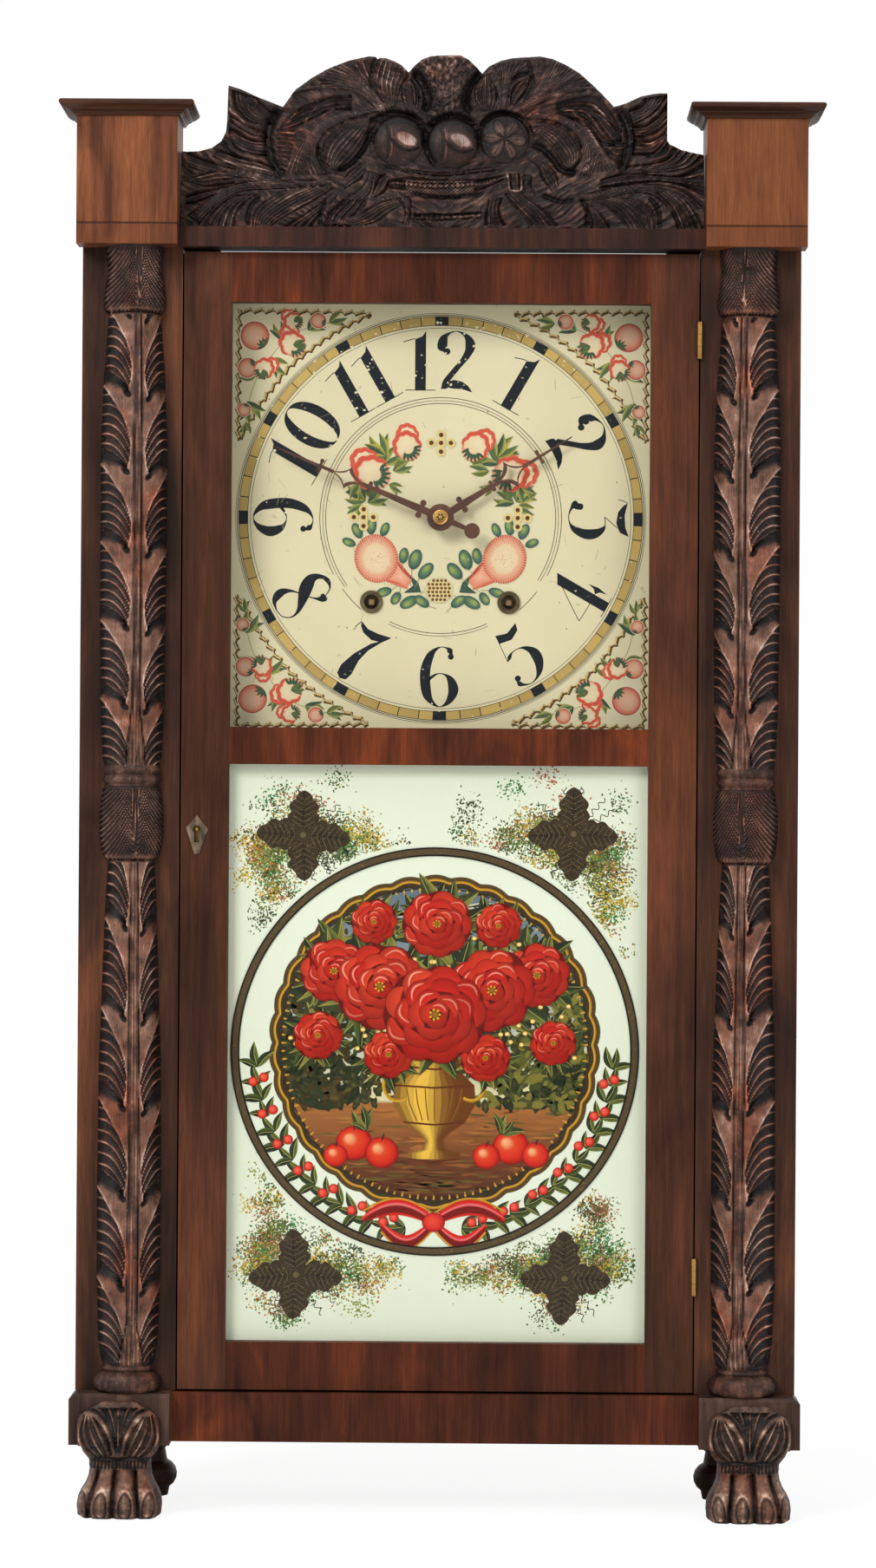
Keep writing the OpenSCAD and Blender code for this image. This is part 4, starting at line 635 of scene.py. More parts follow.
STRANDS = [  # ridges, level at either edge, bulge, tone, and the two edges
    (8, -6, -5.5, 0.6, 0.42, ((-111.7, 68.6), (-122.8, 68.6), (-132.2, 73.8), (-136.1, 81.5), (-137, 90)),
     ((-107.4, 76.3), (-110.8, 76.3), (-114.2, 78), (-117.7, 81.5), (-120.2, 84.9))),
    (4, -6, -6, 0.5, 0.5, ((-115.1, 64.3), (-122.8, 65.2), (-130.5, 69.5), (-137.8, 73.8)),
     ((-114.2, 59.2), (-122.8, 60.9), (-130.5, 64.3), (-138.1, 69.5))),
    (6, -5.5, -5.5, 1, 0.45, ((-115.1, 58.3), (-122.8, 58.3), (-131.4, 61.8), (-138.4, 65.2)),
     ((-114.2, 47.2), (-124.5, 48.1), (-134, 52.3), (-138.7, 60.9))),
    (5, -5, -4.5, 1, 0.46, ((-109.1, 40.3), (-119.4, 44.6), (-132.2, 47.2), (-145.1, 51.1)),
     ((-107.4, 33.5), (-119.4, 34.3), (-133.1, 38.6), (-149.4, 46.8))),
    (6, -5, -4, 0.8, 0.4, ((-105.7, 33.5), (-119.4, 36.9), (-136.5, 39.5), (-153.7, 44.6), (-166.3, 50.2)),
     ((-104, 31.3), (-119.4, 32.2), (-136.5, 33.5), (-153.7, 36.1), (-166.1, 39.9))),
    (5, -4, -4, 1.6, 0.5, ((-138.2, 37.8), (-146.8, 38.6), (-157.1, 36.1), (-163.9, 32.6)),
     ((-134.8, 29.2), (-145.1, 27.5), (-154.5, 26.6), (-163.1, 30.1))),
    (4, -4.5, -4.5, 1.2, 0.42, ((-134.8, 28.8), (-148.5, 25.8), (-158.8, 24.1), (-166.5, 21.5)),
     ((-133.1, 27.5), (-146.8, 22.3), (-157.9, 17.2), (-166.9, 15.5))),
    (6, -3.2, -3.2, 1.2, 0.44, ((-72.3, 32.6), (-102.2, 31.8), (-126.2, 30.9), (-140.8, 26.6),
     (-154.5, 17.2), (-166.7, 8.6)),
     ((-72.3, 28.3), (-102.2, 25.8), (-126.2, 24.5), (-136.5, 21.5), (-147.7, 13.8), (-157.9, 1.6))),
    (6, -4, -4.2, 0.8, 0.44, ((-136.5, 21.5), (-145.1, 15.5), (-151.9, 8.6), (-156.2, 1.6)),
     ((-119.4, 22.3), (-127.1, 17.2), (-131.4, 10.3), (-133.1, 1.6))),
    (9, -3, -3.8, 0.8, 0.43, ((-93.7, 26.6), (-105.7, 24.1), (-117.7, 16.3), (-122.8, 9.5), (-123.7, 1.6)),
     ((-69.7, 26.6), (-80, 19.8), (-93.7, 12.1), (-105.7, 5.2), (-110.8, 1.6))),
    (5, -3.6, -4, 0.8, 0.4, ((-69.7, 25.8), (-77.4, 18.1), (-89.4, 10.3), (-103.1, 1.6)),
     ((-68, 21.5), (-74.8, 13.8), (-80.8, 6.9), (-83.4, 1.6))),
    (5, -4, -3.6, 0.6, 0.38, ((-59.4, 23.2), (-68, 16.3), (-74.8, 9.5), (-77.4, 1.6)),
     ((-48.3, 21.5), (-50.8, 13.8), (-56.8, 6.9), (-59.4, 1.6))),
    (5, -3.4, -3.6, -0.8, 0.33, ((-59.4, 76.3), (-72.3, 76.3), (-86.8, 69.5), (-97.1, 64.3),
     (-107.8, 62.6)),
     ((-59.4, 87.5), (-72.3, 86.6), (-83.4, 83.2), (-93.7, 78.9), (-102.2, 71.2))),
    (11, -3.2, -3.4, 0.4, 0.4, ((-93.7, 64.3), (-100.5, 65.2), (-107.8, 65.2)),
     ((-102.2, 36.1), (-104, 36.9), (-105.5, 37.8))),
    (7, -3.4, -3.2, 0, 0.36, ((-74.8, 96), (-81.7, 96), (-88.5, 92.6), (-95.4, 88.3)),
     ((-75.7, 103.3), (-79.1, 102.7), (-84.3, 99.5), (-88.5, 96))),
    (9, -2.2, -1.6, 0.5, 0.5, ((-37.9, 75.4), (-46.5, 85.3), (-58.5, 91.3), (-70.5, 93), (-81.6, 93)),
     ((-36.6, 75.9), (-41.3, 90.4), (-46.9, 101.6), (-48.2, 111))),
    (7, -2, -2, 0.4, 0.52, ((-49.9, 87.9), (-60.2, 93.9), (-70.5, 96.4), (-80.7, 98.1)),
     ((-47.3, 90.4), (-55.9, 101.6), (-62.7, 107.6), (-66.2, 110.1))),
    (4, -1, -1.6, 0.3, 0.5, ((-37.2, 75.4), (-47.3, 87), (-58.5, 93), (-75.6, 93.9), (-91, 91.3),
     (-103, 87)),
     ((-39.6, 73.7), (-49.9, 84.4), (-60.2, 89.6), (-75.6, 90.9), (-89.3, 89.6), (-102.2, 85.7))),
    (9, -1.6, -0.8, 0.5, 0.44, ((-40.5, 78.9), (-52.5, 77.2), (-68, 75.5), (-81.7, 67.8), (-91.1, 56.6),
     (-98, 44.6), (-102.2, 35.2)),
     ((-42.3, 76.3), (-52.5, 73.8), (-63.7, 70.3), (-76.5, 62.6), (-81.7, 51.5), (-80.8, 42.1),
      (-74.8, 35.6))),
    (8, -0.6, -0.4, 1.2, 0.47, ((-46, 72.9), (-58.5, 70.7), (-70.5, 63.9), (-77.3, 56.1), (-78.2, 45.9),
     (-72.2, 39)),
     ((-47.3, 70.7), (-49, 62.1), (-52.5, 53.6), (-59.3, 45), (-65.3, 40.7), (-68.7, 38.1))),
    (8, -2.2, -2.2, 1.4, 0.5, ((-34.5, 79.3), (-41.3, 84.4), (-45.6, 93), (-46, 100.7), (-42.6, 111)),
     ((-31, 80.1), (-27.6, 88.7), (-25, 94.7), (-21.6, 99), (-22.3, 103.3))),
    (6, -1.8, -2, 1.2, 0.48, ((-21.6, 75), (-26.3, 81.9), (-27.6, 88.7), (-24.2, 97.3)),
     ((-20.3, 75), (-16.5, 81.9), (-16.5, 90.4), (-20.7, 97.3))),
    (7, -1.8, -1.8, 1.2, 0.47, ((25.5, 77.6), (19.5, 84.4), (19.5, 92.1), (26.4, 102)),
     ((32.4, 77.6), (35.8, 84.4), (35, 93), (28.5, 102))),
    (8, -2.4, -2, 0.6, 0.5, ((35, 77.6), (35.8, 88.7), (35, 99), (30.7, 106.7)),
     ((41, 77.6), (42.7, 90.4), (47.8, 101.6), (55.5, 110.1))),
    (4, -1.4, -1.4, 1.6, 0.5, ((43.5, 81), (43.1, 88.7), (46.1, 94.7), (52.1, 98.1)),
     ((47, 81.9), (53, 87), (56.8, 92.1), (56.8, 98.1))),
    (5, -3.6, -3.4, -0.8, 0.34, ((73.3, 83.2), (86.2, 86.6), (99, 87.5), (107.6, 79.8), (116.2, 66)),
     ((75, 71.2), (87.9, 69.5), (95.6, 61.8), (104.2, 48.9), (116.2, 42.1))),
    (7, -2.2, -2.6, 0.6, 0.46, ((49.3, 81.5), (57, 96), (58.7, 107.2), (53.6, 112.3)),
     ((50.2, 79.8), (62.2, 96), (66.5, 107.2), (68.2, 112.8))),
    (8, -2, -2, 0.5, 0.54, ((50.2, 79.8), (61.3, 91.8), (67.3, 103.8), (69.9, 112.3)),
     ((51, 78.5), (66.5, 87.5), (77.6, 97.8), (85.3, 105))),
    (5, -3.2, -2.4, 0.2, 0.36, ((68.2, 88.3), (81.9, 96), (90.4, 99.5)),
     ((73.3, 87.5), (86.2, 91.8), (99, 93.9))),
    (4, -1, -1.4, 0.3, 0.5, ((50.2, 78.9), (64.7, 86.6), (75.9, 91.3), (87.9, 93), (98.6, 93.3)),
     ((51.9, 76.3), (64.7, 83.2), (75.9, 87.5), (87.9, 90), (99.4, 91.3))),
    (4, -2.2, -2.2, 0.8, 0.42, ((88.7, 78.9), (95.6, 73.8), (101.6, 65.2), (107.6, 58.8)),
     ((100.7, 76.3), (109.3, 71.2), (115.3, 64.3), (118, 59.2))),
    (12, -1.6, -2.4, 0.3, 0.43, ((85.3, 71.2), (93, 59.2), (92.2, 47.2), (85.3, 35.6)),
     ((95.6, 65.2), (104.2, 54.1), (111, 42.9), (116.2, 39.5))),
    (5, -2.4, -3, 0.2, 0.45, ((107.6, 58.3), (112.7, 56.6), (118.3, 58.3)),
     ((111, 44.6), (114.4, 42.9), (117.2, 42.1))),
    (8, -1.4, -0.8, 0.5, 0.45, ((52.7, 75), (69.9, 76.3), (84.4, 71.2), (93.9, 60.1), (96.4, 48.9),
     (95.6, 35.2)),
     ((55.3, 72), (69.9, 71.2), (81.9, 66), (89.6, 56.6), (90, 46.3), (85.3, 39.5))),
    (8, -0.5, -0.4, 1.2, 0.46, ((56.2, 69.5), (69.9, 69.5), (81.9, 63.5), (88.7, 54.9), (88.7, 47.2),
     (84.4, 39.9)),
     ((58.7, 62.6), (64.7, 59.2), (69.9, 52.3), (75, 44.6), (78.4, 40.8), (80.6, 39.7))),
    (7, -5.6, -6, 0.8, 0.43, ((120.4, 78), (124.7, 79.8), (129, 82.3), (130.3, 85.8)),
     ((123, 68.6), (133.3, 73.8), (141, 80.6), (146.1, 88.3))),
    (5, -6, -6, 0.5, 0.42, ((123, 68.6), (131.6, 69.5), (140.1, 76.3), (146.1, 84.9)),
     ((123.9, 60.9), (131.6, 60.9), (140.1, 64.3), (145.5, 69.5))),
    (5, -5.6, -5.4, 1, 0.43, ((123.9, 60.5), (133.3, 59.2), (144.4, 64.3)),
     ((123, 48.9), (133.3, 48.9), (139.3, 51.5), (145.3, 60.1))),
    (6, -5, -4.6, 0.8, 0.43, ((118.7, 42.1), (133.3, 43.8), (143.6, 47.2), (149.6, 54.9)),
     ((118.7, 38.6), (133.3, 37.8), (150.4, 38.6), (163.3, 42.1), (171.7, 49.8))),
    (4, -3.8, -4, 1.4, 0.36, ((102.4, 33.5), (118.7, 38.6), (137.6, 36.9), (154.7, 36.9), (171.7, 47.2)),
     ((102.4, 27.5), (120.4, 29.2), (137.6, 31.8), (154.7, 29.2), (171.7, 20.6))),
    (6, -3, -3.2, 1, 0.44, ((87, 22.3), (104.2, 26.6), (121.3, 29.6), (138.4, 30.9), (157.3, 27.5),
     (171.5, 18.1)),
     ((87.9, 18.1), (104.2, 19.8), (121.3, 24.1), (135, 23.2), (146.1, 14.6), (153.9, 1.4))),
    (6, -3.6, -4, 0.8, 0.44, ((150.4, 25.8), (160.7, 18.9), (169.3, 6.1), (171.5, 1.4)),
     ((138.4, 24.9), (146.1, 17.2), (150.4, 8.6), (153, 1.4))),
    (8, -3.4, -3.6, 0.8, 0.44, ((92.2, 18.9), (102.4, 17.2), (112.7, 10.3), (120.4, 1.4)),
     ((116.2, 21.5), (129.9, 18.9), (138.4, 10.3), (139.3, 1.4))),
    (5, -3.2, -3.2, 1, 0.46, ((88.7, 19.8), (95.6, 17.2), (104.2, 9.5), (110.2, 1.8)),
     ((87.9, 18.9), (93.9, 12.9), (96.4, 6.9), (95.6, 1.8))),
    (3, -2.6, -2.6, 0.8, 0.4, ((-39.6, 43.3), (-24.2, 39.9), (1.5, 37.7), (31.5, 41.6)),
     ((-35.3, 39), (-20.7, 36.4), (1.5, 34.3), (35.8, 38.1))),
    (3, -2.4, -2.2, 1.6, 0.45, ((-34.5, 33), (-20.7, 35.1), (1.5, 33), (27.3, 34.3), (40.1, 36.4)),
     ((-35.3, 26.1), (-20.7, 24), (1.5, 22.3), (23, 24.4), (40.1, 32.1))),
    (4, -3, -3.2, 1.6, 0.44, ((-37, 36.4), (-41.3, 35.6), (-43.9, 29.6), (-45.6, 21.9)),
     ((-34.5, 32.1), (-35.3, 26.1), (-38.7, 22.7), (-43.9, 21))),
    (6, -3.6, -3.6, 0.8, 0.33, ((-47.3, 37.3), (-50.7, 29.6), (-58.5, 22.7), (-65.3, 19.3)),
     ((-44.7, 34.7), (-45.6, 27.9), (-47.3, 22.7), (-51.6, 18.4))),
    (5, -2.6, -3, 1.2, 0.44, ((-49.9, 44.1), (-56.7, 41.6), (-62.7, 35.6), (-65.3, 29.6)),
     ((-49.9, 39), (-51.6, 33), (-56.7, 29.6), (-63.6, 26.1))),
    (6, -3.4, -3.2, 0.6, 0.4, ((-24.2, 21), (-41.3, 17.6), (-58.5, 8.1), (-75.6, 3.4)),
     ((-20.7, 17.6), (-31, 12.4), (-41.3, 4.7), (-53.3, 2.1))),
    (5, -3.2, -3.4, 1.4, 0.36, ((-31, 20.1), (-25.9, 15.9), (-24.2, 9.9), (-25.9, 3)),
     ((-20.7, 20.1), (-19.9, 15.9), (-20.7, 9), (-21.6, 3))),
    (5, -3.2, -3.4, 1.4, 0.36, ((29, 19.3), (28.1, 13.3), (27.3, 7.3), (27.3, 3)),
     ((39.3, 21), (37.5, 13.3), (39.3, 7.3), (41.8, 3))),
    (6, -3.2, -3.4, 0.8, 0.42, ((40.1, 23.6), (44.4, 17.6), (51.3, 9.9), (56.4, 3)),
     ((51.3, 24.4), (58.1, 19.3), (68.4, 11.6), (75.3, 3))),
    (4, -2.6, -2.6, 1.2, 0.46, ((42.7, 36.9), (43.1, 32.1), (44.4, 26.1)),
     ((50.4, 36.9), (51.1, 32.1), (50.8, 26.1))),
    (5, -3, -3.2, 0.8, 0.34, ((53, 36.4), (52.1, 29.6), (54.7, 23.6)),
     ((58.1, 34.7), (58.1, 28.7), (61.5, 21.9))),
    (5, -2.6, -2.8, 1.2, 0.42, ((52.7, 47.2), (61.3, 41.2), (63.9, 33.5), (70.7, 24.9)),
     ((60.5, 45.5), (69.9, 42.1), (75, 36.1), (75.9, 29.2))),
]
VALLEYS = [  # width, depth and line; the valleys are also painted dark as shade
    (5.5, -4.2, ((-104.8, 79.8), (-111.7, 69.5), (-113.4, 59.2), (-111.7, 47.2), (-106.5, 37.8),
     (-103.1, 34.3))),
    (5.5, -4.2, ((112.7, 80.6), (118.7, 71.2), (121.3, 60.9), (120.4, 51.5), (117.9, 43.8), (115.3, 38.6))),
    (2.4, -2.2, ((-117.7, 22.3), (-123.7, 15.5), (-126.2, 8.6), (-125.8, 1.4))),
    (2.2, -2, ((-75.7, 18.1), (-79.1, 10.3), (-78.7, 1.4))),
    (2, -1.5, ((-142.5, 55.8), (-139.1, 50.6), (-134, 47.2))),
    (1.6, -1.4, ((-81.3, 55.8), (-80, 45.5), (-75.7, 37.8), (-71.4, 36.1))),
    (4.6, -4.6, ((-19.5, 102.4), (-14.3, 96.4), (-10.9, 88.7), (-10, 81.9), (-12.6, 76.7))),
    (4.6, -4.6, ((25.5, 102.4), (19.5, 96.4), (16.1, 88.7), (14.8, 81.9), (17.4, 75.9))),
    (3, -3, ((-68.7, 37.7), (-61, 41.6), (-54.2, 48.4), (-49, 57), (-47.3, 63.9))),
    (3.2, -3, ((-46.5, 70.7), (-34.5, 75.9), (-24.2, 75), (-13.9, 69.9))),
    (3.2, -3, ((-10.5, 67.3), (-1.9, 72.4), (8.4, 74.1), (20.4, 69))),
    (2.4, -2.2, ((-11.3, 67.3), (-12.2, 58.7), (-8.7, 47.6), (-4.5, 41.6))),
    (2.6, -2.4, ((23.8, 67.3), (31.5, 74.1), (41.8, 75.9), (51.3, 72.4))),
    (2.2, -2, ((-42.6, 111.9), (-46, 105.9), (-46.9, 98.1), (-45.6, 90.4))),
    (1.8, -1.6, ((-20.7, 98.1), (-15.6, 90.4), (-15.6, 80.1))),
    (2, -2, ((44.4, 97.3), (50.4, 101.1), (56.8, 102.4))),
    (2.2, -1.8, ((54.7, 111), (56.8, 103.3), (58.1, 93.9), (53, 84.4))),
    (2.2, -2, ((-20.7, 23.6), (1.5, 21), (27.3, 23.6))),
    (1.4, -1.4, ((-20.7, 9), (1.5, 9.4), (26.4, 11.1))),
    (3.4, -3.2, ((57, 55.8), (64.7, 53.2), (71.6, 46.3), (75.9, 40.3), (81.9, 37.8), (87, 38.6))),
    (2.6, -2.4, ((89.6, 20.6), (93.9, 13.8), (94.3, 1.4))),
    (2.4, -2.2, ((134.1, 22.3), (140.1, 13.8), (141, 1.4))),
    (2.4, -2.4, ((146.1, 57.5), (144.4, 52.3), (138.4, 48.9), (131.6, 48.5))),
    (2.2, -2, ((100.7, 59.2), (107.6, 55.8), (114.4, 56.6))),
    (2.4, -2.2, ((64.7, 23.2), (75.9, 18.9), (85.3, 19.8))),
]
RIDGES = [
    (0.8, 1.2, ((-72.3, 83.2), (-82.5, 78.9), (-87.7, 72), (-90.7, 67.8))),
    (0.7, 1, ((-93.2, 79.8), (-98, 72), (-103.1, 67.3))),
    (0.7, 1, ((-107.4, 63), (-98, 62.5), (-89.4, 65.2))),
    (0.7, 1, ((-60.3, 81.5), (-71.4, 78), (-80.8, 71.2))),
    (0.8, 1.2, ((-137, 83.2), (-137.8, 76.3), (-133.1, 72.9), (-125.4, 65.2))),
    (0.8, 1, ((-145.9, 44.6), (-133.1, 42.1), (-116, 37.8))),
    (0.9, 1.2, ((-104, 18.1), (-96.2, 22.3), (-86.8, 26.6))),
    (0.9, 1.2, ((-100.5, 12.1), (-92, 15.5), (-81.7, 20.6))),
    (0.7, 1, ((-130.5, 13.8), (-133.1, 8.6), (-133.5, 1.8))),
    (0.8, 1, ((6.3, 93.9), (5.8, 84.4), (6.5, 75.9))),
    (0.9, 1.2, ((71.6, 80.6), (83.6, 77.6), (92.2, 68.6), (99.9, 56.6), (107.6, 42.9))),
    (0.8, 1, ((88.7, 79.3), (96.4, 72.9), (102.4, 64.3), (107.6, 59.2))),
    (0.8, 1, ((95.6, 80.2), (105.9, 75), (112.7, 67.8))),
    (0.9, 0.9, ((70.7, 86.6), (77.6, 87.9), (84.4, 87.5))),
    (0.8, 1, ((124.7, 60.5), (133.3, 56.6), (140.1, 57.5), (144.9, 60.9))),
    (0.7, 1, ((50.8, 36.4), (51.3, 31.3), (50.8, 25.7), (44, 26.1), (43.1, 32.1), (42.5, 36.9),
     (50.8, 36.4))),
]


def smooth_line(points, steps=6):
    """A smooth line through the given points."""
    p = np.array(points, float)
    ends = np.vstack([2 * p[:1] - p[1:2], p, 2 * p[-1:] - p[-2:-1]])
    line = []
    for k in range(1, len(ends) - 2):
        for t in np.arange(0, 1, 1 / steps):
            a, b, c, d = ends[k - 1 : k + 3]
            square, cube = 2 * a - 5 * b + 4 * c - d, 3 * b - a - 3 * c + d
            line.append(0.5 * (2 * b + (c - a) * t + square * t**2 + cube * t**3))
    return np.array(line + [p[-1]])


def line_distance(x, y, line):
    """Distance of each point to a line of many short pieces, and how far along the line it is."""
    best, place = np.full(x.shape, 1e9), np.zeros(x.shape)
    for k, (a, b) in enumerate(zip(line[:-1], line[1:])):
        run = b - a
        t = np.clip(((x - a[0]) * run[0] + (y - a[1]) * run[1]) / max(run @ run, 1e-9), 0, 1)
        gap = np.hypot(x - a[0] - t * run[0], y - a[1] - t * run[1])
        nearer = gap < best
        best, place = np.where(nearer, gap, best), np.where(nearer, (k + t) / (len(line) - 1), place)
    return best, place


def inside(x, y, loop):
    """True within a closed line."""
    within = np.zeros(x.shape, bool)
    for a, b in zip(loop, np.roll(loop, -1, axis=0)):
        if a[1] == b[1]:
            continue
        crosses = (a[1] > y) != (b[1] > y)
        within ^= crosses & (x < (b[0] - a[0]) * (y - a[1]) / (b[1] - a[1]) + a[0])
    return within


def strands(x, y, relief, tone, bundle):
    """Carve one bundle of ridges that runs between two edges."""
    number, level_a, level_b, bulge, light, edge_a, edge_b = bundle
    count = 5 * (len(edge_a) - 1)
    place = np.linspace(0, 1, count + 1)
    edges = []
    for edge in (edge_a, edge_b):
        line = smooth_line(edge)
        span = np.linspace(0, 1, len(line))
        edges.append(np.stack([np.interp(place, span, line[:, i]) for i in (0, 1)], -1))
    a, b = edges
    loop = np.vstack([a, b[::-1]])
    low, high = loop.min(0) - 2, loop.max(0) + 2
    near = (x > low[0]) & (x < high[0]) & (y > low[1]) & (y < high[1])
    px, py = x[near], y[near]
    first, second = np.full(px.shape, 1e9), np.full(px.shape, 1e9)
    which, along = np.zeros(px.shape), np.zeros(px.shape)
    for k in range(number):
        share = k / (number - 1)
        gap, run = line_distance(px, py, a + (b - a) * share)
        closer = gap < first
        second = np.where(closer, first, np.minimum(second, gap))
        which, along = np.where(closer, share, which), np.where(closer, run, along)
        first = np.where(closer, gap, first)
    rim, _ = line_distance(px, py, np.vstack([loop, loop[:1]]))
    within = inside(px, py, loop)
    cover = ease(-0.5, 0.4, np.where(within, rim, -rim))
    f = first / (first + second + 1e-6)
    depth = np.minimum((first + second) * 0.55, 2.1)
    level = level_a + (level_b - level_a) * which + bulge * (4 * which * (1 - which) - 0.5)
    new = level - depth * (1 - (1 - 2 * f) ** 2)
    # painted highlight along each ridge of the bundle, partly worn stain
    shine = 1 - ease(0, 0.24, f)
    glow = light - 0.26 + shine * (0.42 + 0.18 * np.sin(along * 5 + number * 1.7 + which * 9))
    relief[near] = relief[near] * (1 - cover) + new * cover
    tone[near] = tone[near] * (1 - cover) + glow * cover


def dome(x, y, relief, tone, at, radius, high, low, light):
    """A round boss that stands in a ring cut, with painted shade in the ring and on the boss's rim and
    upper part.
    """
    r = np.hypot(x - at[0], y - at[1]) / radius
    cover = 1 - ease(0.94, 1.04, r)
    new = low + (high - low) * np.sqrt(np.clip(1 - r**2, 0, 1))
    above = 0.3 + 0.7 * ease(-0.5, 0.4, (y - at[1]) / radius)
    moat = hump(r - 1.08, 0.1) * above
    relief[:] = (relief - 2.2 * moat) * (1 - cover) + new * cover
    # painted shade darkens the rim and, most, the top of the boss
    rim = ease(0.62, 1.0, r) * above + 0.7 * ease(0.3, 0.9, (y - at[1]) / radius)
    tone[:] = (tone - 0.3 * moat) * (1 - cover) + (light - 0.5 * rim) * cover


def eyed_ball(x, y, relief, tone, at, radius):
    """One of the two balls, with a groove down it beside a painted highlight, and an eye with a painted
    highlight over a curved cut with painted shade.
    """
    dome(x, y, relief, tone, at, radius, 0.6, -4.6, 0.44)
    dx, dy = (x - at[0]) / radius, (y - at[1]) / radius
    groove = hump(dx + 0.36 + 0.25 * dy**2, 0.06) * (np.abs(dy) < 0.72)
    edge = hump(dx + 0.25 + 0.25 * dy**2, 0.05) * (np.abs(dy) < 0.7)
    eye = 1 - ease(0.8, 1.1, np.hypot((dx - 0.32) / 0.42, (dy - 0.1 + 0.3 * (dx - 0.3)) / 0.26))
    lid = hump(np.hypot(dx - 0.42, dy - 0.42) - 0.78, 0.05)
    lid = lid * (dy < 0.1) * (dx > -0.3) * (dx < 0.8)
    relief -= 0.7 * groove + 1.1 * lid - 0.35 * edge
    # painted light: highlights on the eye and the groove's edge, shade in the groove and the curved cut
    tone += 0.42 * eye * (1 - lid) + 0.25 * edge - 0.3 * groove - 0.4 * lid


def rosette(x, y, relief, tone, at, radius):
    """A flower of grooved petals cut into a ball."""
    dome(x, y, relief, tone, at, radius, -0.2, -4.0, 0.36)
    dx, dy = (x - at[0]) / radius, (y - at[1]) / radius
    r, turn = np.hypot(dx, dy), np.degrees(np.arctan2(dy, dx)) + 4
    petal = np.mod(turn + 30, 60) - 30
    width = 26 * np.clip(1 - np.abs(r - 0.42) / 0.5, 0.05, 1) ** 0.6
    on = (1 - ease(0.8, 1.05, np.abs(petal) / width)) * (r < 0.86) * (r > 0.06)
    lines = gouges(petal / width * 1.5 + 0.5)
    relief += on * (0.8 + 0.7 * lines) - (1 - on) * 0.6 * (r < 0.9)
    # painted highlights on the petals' ridges, painted shade between the petals
    tone += on * (0.12 + 0.3 * (1 + lines)) - (1 - on) * 0.1 * (r < 0.95)


BASKET_WIDTHS = (  # height, half width
    (66, 23), (72, 19.5), (76, 15), (81, 12.6), (90, 14.2), (100, 19.5), (107, 24.5), (114, 26),
)
BASKET_RINGS = (
    (-8, 101), (-1, 97), (7, 93), (-7, 87), (-12, 93), (12, 102), (14, 94), (3, 105), (-4, 78), (11, 84),
)


def basket(x, y, relief, tone):
    """The waisted basket at the centre, punched with rings and beads."""
    half = np.interp(y, *zip(*BASKET_WIDTHS))
    share = np.abs(x - 1.8) / half
    on = (1 - ease(0.93, 1.02, share)) * (y > 68.5)
    bow = 1.2 * np.sqrt(np.clip(1 - share**2, 0, 1)) - 1.6
    ring = np.zeros_like(x)
    for cx, cy in BASKET_RINGS:
        ring += hump(np.hypot(x - cx, y - cy) - 1.7, 0.45)
    beads = (np.sin(x * 3.1 + y * 0.8) * np.sin(y * 3.3 - x * 0.4)) * (y < 88)
    skirt = gouges((x - 1.8) / half * 6) * (1 - ease(73, 79, y))
    relief[:] = relief * (1 - on) + on * (bow - 0.7 * ring + 0.25 * beads + 0.5 * skirt)
    punch = cloud(x + 200, y, 1.35, 52) * cloud(x + 200, y, 2.6, 53)
    relief -= on * 0.9 * (punch < 0.16)
    # painted shade darkens the basket's rounded sides
    light = 0.17 + 0.16 * ring + 0.14 * beads - 0.34 * ease(0.45, 0.95, share)
    light = light + 0.1 * ease(100, 110, y) + 0.7 * punch
    tone[:] = tone * (1 - on) + on * light


def bead_row(x, y, relief, tone, line, pitch, size):
    """A row of small round beads along a line."""
    path = smooth_line(line, 10)
    gap, place = line_distance(x, y, path)
    length = np.hypot(*np.diff(path, axis=0).T).sum()
    step = place * length / pitch
    bead = np.clip(1 - np.hypot((step - np.round(step)) * pitch, gap) / size, 0, 1)
    on = gap < size * 1.15
    relief += on * (1.4 * np.sqrt(bead) - 0.9)
    # painted highlights on the beads, painted shade between them
    tone += on * (0.5 * bead**0.5 - 0.22)


